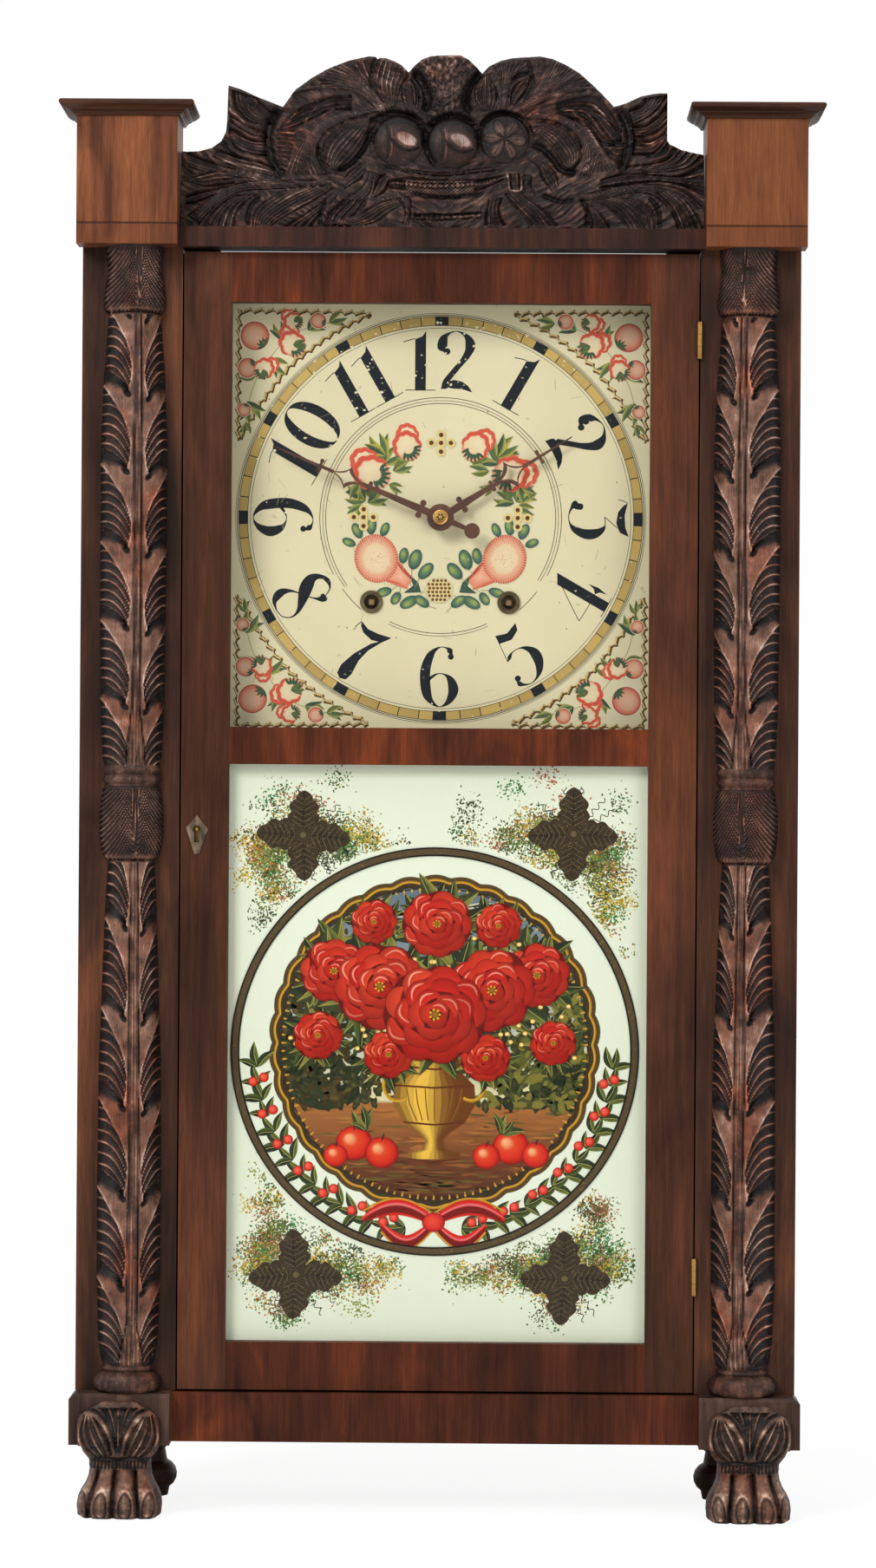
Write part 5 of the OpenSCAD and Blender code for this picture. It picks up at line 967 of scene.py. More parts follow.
def crest_carving(x, y, top):
    """Relief and tone over the whole crest."""
    run = np.abs(x + 3 * cloud(x + 200, y, 16, 47)) * 0.86 + y * 0.5
    over = 40 + y * 0.86 - np.abs(x) * 0.5 + 6 * cloud(x + 200, y, 18, 46)
    marks = cloud(run / 5, over, 1.5, 48)
    relief = -4.4 + 0.8 * cloud(x + 200, y, 14, 40) + 1.5 * marks
    tone = 0.02 + 0.18 * cloud(x + 200, y, 9, 41) + 0.42 * marks
    for bundle in STRANDS[:-FRONT_STRANDS]:
        strands(x, y, relief, tone, bundle)
    basket(x, y, relief, tone)
    for at in BALLS:
        eyed_ball(x, y, relief, tone, at, 16.6)
    rosette(x, y, relief, tone, FLOWER, 15.9)
    for bundle in STRANDS[-FRONT_STRANDS:]:
        strands(x, y, relief, tone, bundle)
    block = (1 - ease(44, 46, np.abs(x + 1.5) * 2)) * ease(21, 22, y) * (1 - ease(31.5, 32.5, y))
    studs = np.sin(x * 2.4) * np.sin(y * 2.9)
    relief += block * (1.2 + 0.6 * studs - relief - 3)
    # painted highlights on the raised studs
    tone += block * (0.42 + 0.3 * studs - tone)
    bead_row(x, y, relief, tone, ((-32, 30.5), (-10, 28.2), (16, 29), (34, 33)), 3.0, 1.5)
    bead_row(x, y, relief, tone, ((-19, 8.5), (0, 8), (24, 9.5)), 3.6, 1.9)
    for width, depth, line in VALLEYS:
        gap, place = line_distance(x, y, smooth_line(line))
        cut = hump(gap, width * 0.55) * ease(0, 0.14, place + 0.04) * ease(0, 0.14, 1.04 - place)
        relief += depth * cut
        # painted shade darkens the valleys
        tone -= 0.62 * cut
    for width, high, line in RIDGES:
        gap, place = line_distance(x, y, smooth_line(line))
        cut = hump(gap, width) * ease(0, 0.3, place + 0.05) * ease(0, 0.3, 1.05 - place)
        relief += high * cut
        # painted highlights along the ridges
        tone += 0.38 * cut
    fine = cloud(run / 4 + 60, over, 1.15, 49) - 0.5
    quiet = np.ones_like(x)
    for at in (*BALLS, FLOWER):
        quiet *= 0.35 + 0.65 * ease(14, 17.5, np.hypot(x - at[0], y - at[1]))
    relief += 0.42 * fine * quiet
    tone += 0.34 * fine * quiet
    edge = ease(0, 2.2, top - y)
    relief -= 1.6 * (1 - edge) + 0.8 * (1 - ease(0, 1.2, y))
    tone += 0.12 * (1 - edge) + 0.26 * (cloud(x + 200, y, 20, 44) - 0.5)
    tone += 0.2 * (cloud(x + 200, y, 5, 45) - 0.5)
    return relief, tone


def carved_crest(material):
    """The crest board: carved front, plain back, and its outline between them."""
    low, high = box_mm("crest")
    outline = np.array(CREST_TOP)
    outline[:, 0] = np.interp(outline[:, 0], [outline[0, 0], outline[-1, 0]], [low.x, high.x])
    across = np.unique(np.concatenate([np.arange(low.x, high.x, 0.54), outline[:, 0]]))
    top = np.interp(across, outline[:, 0], outline[:, 1])
    x, height = np.meshgrid(across, np.linspace(0, top.max(), 214))
    y = np.minimum(height, top)
    relief, tone = crest_carving(x, y, np.broadcast_to(top, x.shape))
    plain = np.full((2, across.size), high.y)
    front = np.stack([x, high.y - CREST_BOARD - relief, low.z + y], -1)
    back = np.stack([x[[-1, 0]], plain, low.z + y[[-1, 0]]], -1)
    tone = np.vstack([tone, np.full_like(plain, 0.3)])
    piece = carved_mesh("carved_crest", np.vstack([front, back]), tone, material, sharp=62)
    clean = bmesh.new()
    clean.from_mesh(piece.data)
    bmesh.ops.dissolve_degenerate(clean, dist=1e-6, edges=clean.edges)
    clean.to_mesh(piece.data)
    clean.free()
    return piece


# hollow, ground, worn and glint tones: dark stain with painted shade in the hollows, wear with painted
# highlights on the ridges
crest_stain = stained_carving(
    "Dark crest stain and painted light", ((12, 7, 6), (44, 28, 22), (98, 73, 62), (182, 162, 154)), 0.4
)
stand_in(carved_crest(crest_stain), "crest")


# ---- paw feet: x from the foot's centre and height over the floor, in millimetres
FOOT_SIZES = [  # height, half width, front and back
    (0, 25.5, -70.5, -38), (2, 27.0, -73.0, -36), (8, 27.5, -74.3, -32), (13, 27.0, -74.0, -29),
    (17, 25.2, -72.6, -27),
    (21, 22.6, -70.4, -26), (26, 20.6, -68.2, -26), (32, 19.8, -66.6, -26), (36.5, 19.8, -65.8, -25),
    (38.5, 21.0, -66.8, -24),
    (42, 23.8, -68.6, -23), (46.6, 25.8, -69.6, -22), (47.2, 25.9, -69.7, -62), (52, 26.6, -70.0, -62),
    (61, 26.4, -69.8, -62),
    (66.5, 25.4, -69.0, -62), (70, 20.5, -67.8, -62), (73, 15.0, -67.0, -62), (75, 11.6, -66.4, -62),
    (75.6, 9.0, -63.5, -62),
]
def mirror(line):
    return tuple((-x, z) for x, z in line)


LEAF_EDGE = ((-1.0, 46), (-4, 57), (-8.5, 65.5), (-13, 71.5))
LOBE_INNER = ((-3, 41), (-5, 51), (-9.5, 59.5), (-15.5, 66))
LOBE_OUTER = ((-15, 39.5), (-23, 45), (-26.2, 55), (-22.5, 67.5))
LOBE_GROOVE = ((-0.2, 41), (-2.6, 51), (-6.4, 60.5), (-11.5, 67.5), (-19, 71))
FOOT_STRANDS = [
    (5, -1.8, -1.8, -0.6, 0.34, LEAF_EDGE, mirror(LEAF_EDGE)),
    (5, 0.6, 0.2, 1.9, 0.42, LOBE_INNER, LOBE_OUTER),
    (5, 0.6, 0.2, 1.9, 0.44, mirror(LOBE_INNER), mirror(LOBE_OUTER)),
    (17, -0.4, -0.4, 0.2, 0.36, ((-19, 32), (-18.5, 37.6)), ((19, 32), (18.5, 37.6))),
]
FOOT_VALLEYS = [
    (1.9, -2.6, LOBE_GROOVE),
    (1.9, -2.6, mirror(LOBE_GROOVE)),
    (2.2, -1.8, ((-20, 37.6), (-8, 39.4), (0, 38.2), (8, 39.4), (20, 37.6))),
    (2.0, -2.4, ((-12.5, 33), (-14.5, 24), (-18.3, 13), (-19.4, 0))),
    (1.8, -2.2, ((-2.2, 33), (-3.0, 20), (-3.6, 0))),
    (2.0, -2.4, ((10.6, 33), (11.4, 22), (12.8, 10), (12.9, 0))),
]
# painted highlights: centre and size of each lighter spot on the lobes
FOOT_HIGHLIGHTS = (((-8.5, 58.5), 3.4), ((5.6, 54), 3.0), ((13, 63), 3), ((0, 68), 1.6), ((-20, 66), 2.5))
TOES = (  # x at the root, x at the tip, and lean of the nail
    (-16.5, -24.6, -0.9), (-7.6, -11.6, -0.2), (4.2, 4.8, 0.15), (15.5, 20.4, 0.9),
)
TOP_OF_FOOT = 75.6
SQUARENESS = 0.62  # power of an oval: 1 is round and 0 is square


def foot_carving(x, z):
    """Relief and tone over a foot's front."""
    relief = 0.5 * cloud(x + 60, z, 6, 50)
    tone = 0.3 + 0.16 * cloud(x + 60, z, 5, 51)
    for bundle in FOOT_STRANDS:
        strands(x, z, relief, tone, bundle)
    low = 1 - ease(29, 34, z)
    for root, tip, lean in TOES:
        middle = np.interp(z, [8, 32], [tip, root])
        wide = np.interp(z, [0, 8, 18, 32], [6.2, 6.6, 5.8, 4.6])
        across = np.clip(np.abs(x - middle) / wide, 0, 1)
        knuckle = hump(z - 17.5, 4.0)
        relief += low * (np.sqrt(1 - across**2) * (2.4 + 1.0 * knuckle) - 1.2)
        # painted highlights along the middle of each toe and on its knuckle
        tone += low * (0.16 * (1 - across**2) + 0.1 * knuckle * (across < 0.9))
        nx, nz = (x - middle - lean * (z - 9) * 0.25) / 4.1, (z - 8.5) / 8.2
        nail = np.hypot(nx, nz + 0.12 * nx**2)
        bed = hump(nail - 1, 0.13)
        claw = 1 - ease(0.75, 0.95, nail)
        core = hump(nx + 0.08, 0.24) * claw
        relief += low * (0.7 * claw - 0.9 * bed + 0.35 * core)
        # painted light: a highlight along each nail's middle and shade in the bed round it; the tips near
        # the floor are lighter
        shine = 0.14 * core - 0.3 * bed - 0.1 * claw + 0.3 * claw * (1 - ease(1.5, 5, z))
        tone += low * (shine + 0.14 * hump(nail - 1.25, 0.1))
    for width, depth, line in FOOT_VALLEYS:
        gap, place = line_distance(x, z, smooth_line(line))
        cut = hump(gap, width * 0.55) * ease(0, 0.16, place + 0.03)
        relief += depth * cut
        # painted shade darkens the grooves
        tone -= 0.4 * cut
    # painted highlights on the lobes
    for at, size in FOOT_HIGHLIGHTS:
        tone += 0.42 * hump(np.hypot(x - at[0], z - at[1]), size)
    tone = 0.36 + (tone - 0.34) * 1.2 + 0.2 * (cloud(x + 60, z, 1.6, 55) - 0.5)
    return relief, tone


def squared(share):
    return np.sign(share) * np.abs(share) ** SQUARENESS


def carved_foot(name, material, flip):
    """A foot of squared ovals, with its carving on the front and round to both sides."""
    low, high = box_mm(name)
    heights = np.unique(np.concatenate([np.arange(0, TOP_OF_FOOT, 0.36), [47.0, 47.2, TOP_OF_FOOT]]))
    fine = np.radians(np.linspace(-90, 270, 20001))
    section = [squared(np.cos(fine)), squared(np.sin(fine))]
    run = np.concatenate([[0], np.cumsum(np.hypot(*np.diff(section, axis=1)))])
    turn, z = np.meshgrid(np.interp(np.linspace(0, run[-1], 251)[:-1], run, fine), heights)
    half, front, back = (np.interp(z, *zip(*[(row[0], row[k]) for row in FOOT_SIZES])) for k in (1, 2, 3))
    cx, cy = squared(np.cos(turn)), squared(np.sin(turn))
    x, y = half * cx, (front + back) / 2 + (back - front) / 2 * cy
    relief, tone = foot_carving(x * flip, z)
    face = ease(0.1, -0.35, np.sin(turn))
    side = np.clip(np.abs(cx) - 0.8, 0, 1) * 5
    y = y - relief * face * (1 - 0.6 * side)
    x = x + np.sign(cx) * relief * face * side * 0.5
    tone = tone * face + 0.28 * (1 - face)
    floor_edge = 1.4 * (1 - ease(0, 2.2, z))
    x, y = x - np.sign(cx) * floor_edge * np.abs(cx), y - cy * floor_edge
    points = np.stack([(low.x + high.x) / 2 + x, y, z], -1)
    return carved_mesh("carved_" + name, points, tone, material, ring=True, sharp=70)


# hollow, ground, worn and glint tones: dark stain with painted shade in the hollows, wear with painted
# highlights on the ridges
foot_stain = stained_carving(
    "Worn paw stain and painted light", ((15, 12, 10), (68, 50, 42), (126, 94, 76), (216, 190, 172)), 0.36
)
for name, flip in (("paw_foot_left", 1), ("paw_foot_right", -1)):
    stand_in(carved_foot(name, foot_stain, flip), name)


# ---- moulded caps
BLOCK_WIDTH = 65
CAP_PROFILE = [  # height below the top, distance out from the block
    (0, 9.6), (0.3, 10.4), (1.0, 11.0), (1.8, 11.2), (2.8, 10.8), (3.9, 9.6), (4.8, 8.0), (5.2, 7.4),
    (5.3, 6.2), (6.1, 6.0),
    (6.2, 5.4), (6.6, 4.4), (7.2, 3.5), (8.0, 2.9), (8.2, 2.4), (9.0, 2.2), (9.4, 1.6),
]


def moulded_caps(material):
    """Both caps: a profile run round three sides, mitred at the front corners."""
    low, high = box_mm("block_caps")
    block_low, block_high = box_mm("top_blocks")
    widen = (high.x - block_high.x) / max(out for _, out in CAP_PROFILE)
    build = bmesh.new()
    for side in (-1, 1):
        left, right = sorted((side * (block_high.x - BLOCK_WIDTH), side * block_high.x))
        rings = []
        for down, out in CAP_PROFILE:
            x0, x1, front = left - out * widen, right + out * widen, block_low.y - out * widen
            z = high.z - down * (high.z - low.z) / CAP_PROFILE[-1][0]
            corners = [(x0, high.y), (x0, front), (x1, front), (x1, high.y)]
            rings.append([build.verts.new((x * MM, y * MM, z * MM)) for x, y in corners])
        skin(build, rings)
    bmesh.ops.recalc_face_normals(build, faces=build.faces)
    piece = new_piece("moulded_caps", mesh_from(build, "moulded_caps"), material, 42)
    bevel = piece.modifiers.new("Worn arrises", "BEVEL")
    bevel.width, bevel.segments, bevel.limit_method = 0.0004, 2, "ANGLE"
    bevel.angle_limit = math.radians(60)
    return piece


cap_wood = mahogany(
    "Cap mahogany", ((40, 24, 18), (84, 52, 38), (132, 82, 56)), 9.0, 16.0, (3.1, 0.2, 1.0),
    turn=(0, math.pi / 2, 0), gloss=0.3,
)
stand_in(moulded_caps(cap_wood), "block_caps")


# ---------------------------------------------------------------- painting
class Painting:
    """Flat painted shapes in one upright plane, each a hair in front of the one before.
    x and z are in millimetres from the painting's centre."""

    def __init__(self, name, centre, face):
        self.name, self.centre, self.face = name, centre, face
        self.build = bmesh.new()
        self.paint = self.build.loops.layers.float_color.new("paint")
        self.layer = 0

    def _corner(self, x, z):
        y = self.face - 0.04 - 0.0006 * self.layer
        return self.build.verts.new(((self.centre[0] + x) * MM, y * MM, (self.centre[1] + z) * MM))

    def _face(self, corners, colours):
        face = self.build.faces.new(corners)
        for loop, colour in zip(face.loops, colours):
            loop[self.paint] = (*colour[:3], 1)
        if face.normal.length == 0:
            face.normal_update()
        if face.normal.y > 0:
            face.normal_flip()

    def shape(self, points, colour, other=None):
        """A filled outline, of one colour or from one colour to the other across it."""
        self.layer += 1
        p = np.asarray(points, float)
        if other is None:
            self._face([self._corner(*q) for q in p], [colour] * len(p))
            return
        middle = p.mean(0)
        hub = self._corner(*middle)
        ring = [self._corner(*q) for q in p]
        for k in range(len(ring)):
            self._face((hub, ring[k - 1], ring[k]), (other, colour, colour))

    def band(self, one, two, colours):
        """A strip between two lines of as many points, with a colour for each line."""
        self.layer += 1
        a, b = [self._corner(*q) for q in one], [self._corner(*q) for q in two]
        near, far = colours
        for k in range(len(a) - 1):
            self._face((a[k], a[k + 1], b[k + 1], b[k]), (near, near, far, far))

    def stroke(self, line, widths, colour, other=None, closed=False):
        """A brush stroke along a line, of one width or a width for each point."""
        p = np.asarray(line, float)
        if closed:
            step = np.roll(p, -1, 0) - np.roll(p, 1, 0)
        else:
            step = np.gradient(p, axis=0)
        side = pairs(-step[:, 1], step[:, 0]) / (np.hypot(*step.T)[:, None] + 1e-9)
        half = np.broadcast_to(np.asarray(widths, float), len(p))[:, None] / 2
        one, two = p + side * half, p - side * half
        if closed:
            one, two = np.vstack([one, one[:1]]), np.vstack([two, two[:1]])
        self.band(one, two, (colour, other or colour))

    def ring(self, radius, width, colour, start=0, end=360):
        turn = np.radians(np.linspace(start, end, max(8, int(abs(end - start) / 2))))
        self.stroke(pairs(np.sin(turn), np.cos(turn)) * radius, width, colour)

    def dot(self, x, z, radius, colour, other=None):
        turn = np.linspace(0, 2 * np.pi, 15)[:-1]
        self.shape(pairs(x + radius * np.cos(turn), z + radius * np.sin(turn)), colour, other)

    def disc(self, x, z, radii, rings, turn=0.0, wave=None, lit=(0, 0)):
        """A shaded oval: rings of (share of the radius, colour) from the middle out."""
        self.layer += 1
        t = np.linspace(0, 2 * np.pi, 37)[:-1]
        scallop = 1 + (wave[1] * np.abs(np.sin(t * wave[0] / 2)) if wave else 0 * t)
        loops = []
        for share, colour in rings:
            dx = radii[0] * share * scallop * np.cos(t) + lit[0] * (1 - share)
            dz = radii[1] * share * scallop * np.sin(t) + lit[1] * (1 - share)
            oval = turned(pairs(dx, dz), x, z, turn)
            loops.append(([self._corner(*corner) for corner in oval], colour))
        self._face(loops[0][0], [loops[0][1]] * 36)
        for (a, ca), (b, cb) in zip(loops[:-1], loops[1:]):
            for k in range(36):
                self._face((a[k - 1], a[k], b[k], b[k - 1]), (ca, ca, cb, cb))

    def leaf(self, x, z, turn, length, width, dark, light, bend=0.2):
        """A pointed leaf from its foot, dark along one side and light along the other."""
        t = np.linspace(0, 1, 9)
        swell = np.sin(np.pi * t**0.8) * width / 2
        spine = pairs(t * length, bend * length * t * (1 - t))
        half = pairs(0 * t, swell)
        up, middle, down = (turned(p, x, z, turn) for p in (spine + half, spine, spine - half))
        self.band(up, middle, (dark, dark))
        self.band(middle, down, (dark, light))

    def finish(self, body, material):
        piece = new_piece(self.name, mesh_from(self.build, self.name), material)
        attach(piece, body)


def old_paint(name, ground=None, worn=None, gloss=0.5, crackle=0.35):
    """Oil paint, yellowed and finely crackled. It has the painting's own colours, rubbed through to
    the worn one where that is given, or else one ground with stains of the worn one."""
    paint = Finish(name)
    if ground is not None:
        stain = paint.spread(paint.noise(paint.coords, 9.0, 4.0, 0.6), 0.35, 0.7, 0.0, 0.5)
        fox = paint.spread(paint.noise(paint.coords, 160.0, 2.0), 0.72, 0.8, 0.0, 0.35)
        colour = paint.blend(fox, paint.blend(stain, ground, worn), srgb(140, 118, 86))
    else:
        colour = paint.add("ShaderNodeAttribute", attribute_name="paint").outputs["Color"]
    if ground is None and worn is not None:
        streaks = paint.noise(paint.stretch(paint.coords, (1.0, 1.0, 0.35)), 420.0, 3.0, 0.7)
        rub = paint.spread(streaks, 0.66, 0.7, 0.0, 0.75)
        patch = paint.spread(paint.noise(paint.coords, 40.0, 2.0), 0.48, 0.62, 0.0, 1.0)
        colour = paint.blend(paint.math("MULTIPLY", rub, patch), colour, worn)
    fine = paint.noise(paint.coords, 900.0, 2.0)
    yellowed = paint.blend(fine, srgb(120, 100, 80), srgb(255, 250, 235))
    paint.dress(paint.blend(0.1, colour, yellowed, "MULTIPLY"), gloss, 0.08)
    paint.bump(paint.noise(paint.coords, 300.0, 3.0), 0.00005, crackle)
    return paint.material


def turned(points, x, z, turn, size=1.0):
    """Points in a shape's own axes, grown by size, turned and moved to its place."""
    p = np.asarray(points, float) * size
    c, s = math.cos(turn), math.sin(turn)
    return pairs(x + c * p[:, 0] - s * p[:, 1], z + s * p[:, 0] + c * p[:, 1])


CREAM, CREAM_DARK = srgb(224, 212, 176), srgb(210, 196, 158)
INK, GOLD, HAIR = srgb(24, 27, 32), srgb(206, 172, 100), srgb(70, 62, 50)
RED, ROSE, PINK = srgb(194, 72, 56), srgb(206, 108, 88), srgb(222, 176, 148)
LEAF, LEAF_LIGHT, LEAF_DARK = srgb(86, 104, 66), srgb(166, 164, 92), srgb(58, 78, 62)
CORAL, CORAL_DARK, TEAL = srgb(204, 84, 66), srgb(158, 58, 50), srgb(62, 92, 84)

# ---- numerals: strokes in a box one unit high; thin where they run level and fat where they run upright
ROUND = np.linspace(0, 2 * np.pi, 41)[:-1]
NUMERALS = {
    "0": (0.64, [[(0.33 + 0.25 * math.sin(a), 0.5 + 0.48 * math.cos(a)) for a in ROUND]], [], []),
    "1": (0.42, [[(-0.08, 0.80), (0.02, 0.835), (0.12, 0.86)],
        [(-0.04, 0.006), (0.2, 0.004), (0.46, 0.006)]], [],
          [[(0.12, 0), (0.3, 0), (0.3, 0.99), (0.24, 0.9), (0.12, 0.85)]]),
    "2": (0.62, [[(0.15, 0.63), (0.07, 0.72), (0.12, 0.90), (0.30, 0.985), (0.47, 0.90), (0.535, 0.74),
        (0.46, 0.56), (0.30, 0.36), (0.13, 0.15), (0.05, 0.02)]],
          [(0.15, 0.65, 0.055)],
          [[(0.04, 0.02), (0.12, 0.13), (0.26, 0.18), (0.40, 0.15), (0.5, 0.08), (0.575, -0.03),
           (0.4, 0.025), (0.2, 0.035)]]),
    "3": (0.64, [[(0.57, 0.97), (0.42, 0.76), (0.28, 0.6)], [(0.28, 0.6), (0.44, 0.6), (0.55, 0.46),
        (0.56, 0.26), (0.45, 0.06), (0.28, 0.0), (0.12, 0.06), (0.07, 0.17)],
        [(0.05, 0.98), (0.01, 0.9), (0.0, 0.82)]],
          [(0.11, 0.19, 0.055)],
          [[(0.05, 0.98), (0.25, 0.93), (0.45, 0.94), (0.61, 1.0), (0.54, 0.85), (0.38, 0.79), (0.2, 0.82),
           (0.1, 0.9)]]),
    "4": (0.66, [[(0.48, 0.97), (0.24, 0.62), (0.02, 0.28)], [(0.02, 0.28), (0.3, 0.272), (0.6, 0.28)],
        [(0.26, 0.006), (0.44, 0.0), (0.62, 0.006)]], [],
          [[(0.36, 0), (0.53, 0), (0.53, 1.0), (0.47, 0.96), (0.36, 0.9)],
           [(0.63, 0.46), (0.605, 0.34), (0.54, 0.28), (0.605, 0.22), (0.63, 0.1), (0.66, 0.28)]]),
    "5": (0.62, [[(0.14, 0.97), (0.12, 0.74), (0.10, 0.5)], [(0.10, 0.5), (0.24, 0.6), (0.42, 0.59),
        (0.55, 0.45), (0.555, 0.26), (0.45, 0.08), (0.28, 0.0), (0.12, 0.06), (0.07, 0.16)]],
          [(0.11, 0.18, 0.05)],
          [[(0.13, 0.98), (0.32, 0.92), (0.53, 1.0), (0.5, 0.88), (0.34, 0.79), (0.13, 0.83)]]),
    "6": (0.63, [[(0.53, 0.85), (0.45, 0.96), (0.32, 0.985), (0.18, 0.88), (0.09, 0.66), (0.075, 0.42),
        (0.13, 0.15), (0.30, 0.0), (0.46, 0.08), (0.545, 0.28), (0.47, 0.48), (0.31, 0.55), (0.15, 0.46),
        (0.085, 0.34)]],
          [(0.5, 0.83, 0.05)], []),
    "7": (0.62, [[(0.05, 0.99), (0.01, 0.9), (0.0, 0.8)]], [],
          [[(0.05, 0.99), (0.2, 0.93), (0.4, 0.95), (0.61, 1.0), (0.5, 0.85), (0.34, 0.80), (0.16, 0.84),
           (0.07, 0.92)],
           [(0.6, 0.98), (0.5, 0.84), (0.38, 0.62), (0.33, 0.4), (0.34, 0.14), (0.3, 0.02), (0.2, -0.01),
            (0.12, 0.05), (0.11, 0.2), (0.2, 0.46), (0.36, 0.74)]]),
    "8": (0.64, [
        [(0.49, 0.83), (0.42, 0.95), (0.29, 0.985), (0.17, 0.91), (0.13, 0.77), (0.21, 0.62), (0.35, 0.47),
         (0.48, 0.32), (0.52, 0.17), (0.44, 0.04), (0.3, 0.0)],
        [(0.3, 0.0), (0.15, 0.05), (0.08, 0.2), (0.13, 0.36), (0.27, 0.5), (0.41, 0.62), (0.5, 0.74),
         (0.49, 0.83)]], [], []),
}
NUMERALS["9"] = (
    0.63,
    [[(0.63 - x, 0.985 - y) for x, y in NUMERALS["6"][1][0]]],
    [(0.63 - x, 0.985 - y, r) for x, y, r in NUMERALS["6"][2]],
    [],
)


def numeral(art, text, turn, radius, high):
    """A number on the dial, its head outward on the upper half and inward below."""
    widths = [NUMERALS[figure][0] for figure in text]
    gap = 0.08
    start = -(sum(widths) + gap * (len(text) - 1)) / 2
    outward = math.cos(math.radians(turn)) > -0.2
    a = math.radians(-turn if outward else 180 - turn)
    middle = np.array([math.sin(math.radians(turn)), math.cos(math.radians(turn))]) * radius

    def place(points):
        return turned((np.asarray(points, float) + (start, -0.5)) * high, *middle, a)

    for figure, width in zip(text, widths):
        _, lines, balls, fills = NUMERALS[figure]
        for line in lines:
            loop = figure == "0"
            path = np.array(line) if loop else smooth_line(line, 7)
            step = np.roll(path, -1, 0) - np.roll(path, 1, 0) if loop else np.gradient(path, axis=0)
            upright = np.abs(step[:, 1]) / (np.hypot(*step.T) + 1e-9)
            fat = 0.014 + 0.155 * upright**2.6 * (0 if figure in "137" and len(line) < 5 else 1)
            if figure == "4" or (figure in "35" and len(line) == 3):
                fat = 0.012 + 0 * upright
            t = np.linspace(0, 1, len(path))
            if figure == "8":
                heavy = ((0.26, 0.15, 0.12), (0.93, 0.12, 0.12))
                if len(line) > 9:
                    heavy = ((0.5, 0.17, 0.2), (0.2, 0.07, 0.05))
                fat = 0.016 + sum(w * hump(t - m, d) for m, d, w in heavy)
            elif not loop:
                tail = 0.86 if figure in "2569" else 0.97
                fat = 0.012 + (fat - 0.012) * ease(0, 0.06, t) * (1 - ease(tail, 1, t))
            art.stroke(place(path), fat * high, INK, closed=loop)
        for x, y, r in balls:
            t = np.linspace(0, 2 * np.pi, 17)[:-1]
            art.shape(place(pairs(x + r * np.cos(t), y + r * np.sin(t))), INK)
        for outline in fills:
            art.shape(place(outline), INK)
        start += width + gap


def fruit(art, x, z, r, turn=0.0):
    """A round fruit with a pale rim and the small leaves of its stalk."""
    art.disc(x, z, (r * 1.06, r * 1.06), [(0.2, srgb(232, 222, 188)), (1, srgb(226, 214, 178))], turn)
    skin_tones = [(0.25, PINK), (0.6, srgb(218, 160, 130)), (0.88, ROSE), (1, srgb(150, 62, 56))]
    art.disc(x, z, (r, r * 0.97), skin_tones, turn, lit=(-r * 0.15, -r * 0.1))
    stalk_x, stalk_z = x + math.cos(turn) * r * 0.95, z + math.sin(turn) * r * 0.95
    for k in (-1.1, -0.55, 0, 0.55, 1.1):
        art.leaf(stalk_x, stalk_z, turn + math.pi + k, r * 0.62, r * 0.2, LEAF_DARK, LEAF)


def flower(art, x, z, r, turn, petals=5):
    """A flower seen from the side: a thick red lip round a pale throat, a second bloom beside it, and
    toothed sepals behind."""
    throat = [(0.3, srgb(226, 212, 170)), (0.7, srgb(230, 196, 160)), (1, srgb(216, 122, 98))]
    art.disc(x, z, (r * 0.92, r * 0.78), throat, turn)
    t = np.linspace(0, 1, 26)
    arc = np.radians(-120 + 225 * t)
    scallop = (1 + 0.15 * np.abs(np.sin(t * math.pi * petals)))[:, None]
    lip = pairs(np.cos(arc) * r * 0.86, np.sin(arc) * r * 0.74) * scallop
    width = r * (0.08 + 0.24 * np.sin(math.pi * t) ** 0.6)
    second = lip * 0.78 + (r * 0.62, -r * 0.34)
    for edge, share, tone in ((second, 0.8, CORAL), (lip, 1, RED)):
        art.shape(turned(edge, x, z, turn), srgb(224, 196, 158), srgb(230, 214, 176))
        art.stroke(turned(edge, x, z, turn), width * share, tone, srgb(214, 92, 70))
    art.stroke(turned(lip * 0.84, x, z, turn), width * 0.22, srgb(226, 150, 120))
    for k in range(7):
        a = math.radians(118 + k * 19)
        foot = turned([(math.cos(a) * r * 0.4, math.sin(a) * r * 0.34)], x, z, turn)[0]
        art.leaf(*foot, turn + a + 0.5, r * 0.62, r * 0.2, LEAF_DARK, LEAF)


def spray(art, x, z, turn, length, number, spread, light=LEAF_LIGHT):
    """A fan of pointed leaves with fine veins."""
    darks = (LEAF_DARK, LEAF, srgb(104, 112, 58))
    for k in range(number):
        off = k / max(number - 1, 1) - 0.5
        a, side = turn + spread * off, (-1) ** k
        reach = length * (1 - 0.25 * abs(off)) * 1.06
        art.leaf(x, z, a, reach, reach * 0.32, darks[k % 3], light, 0.3 * side)
        vein = turned([(0, 0), (reach * 0.5, reach * 0.06 * side), (reach, 0)], x, z, a)
        art.stroke(vein, (0.35, 0.3, 0.1), srgb(68, 82, 52))


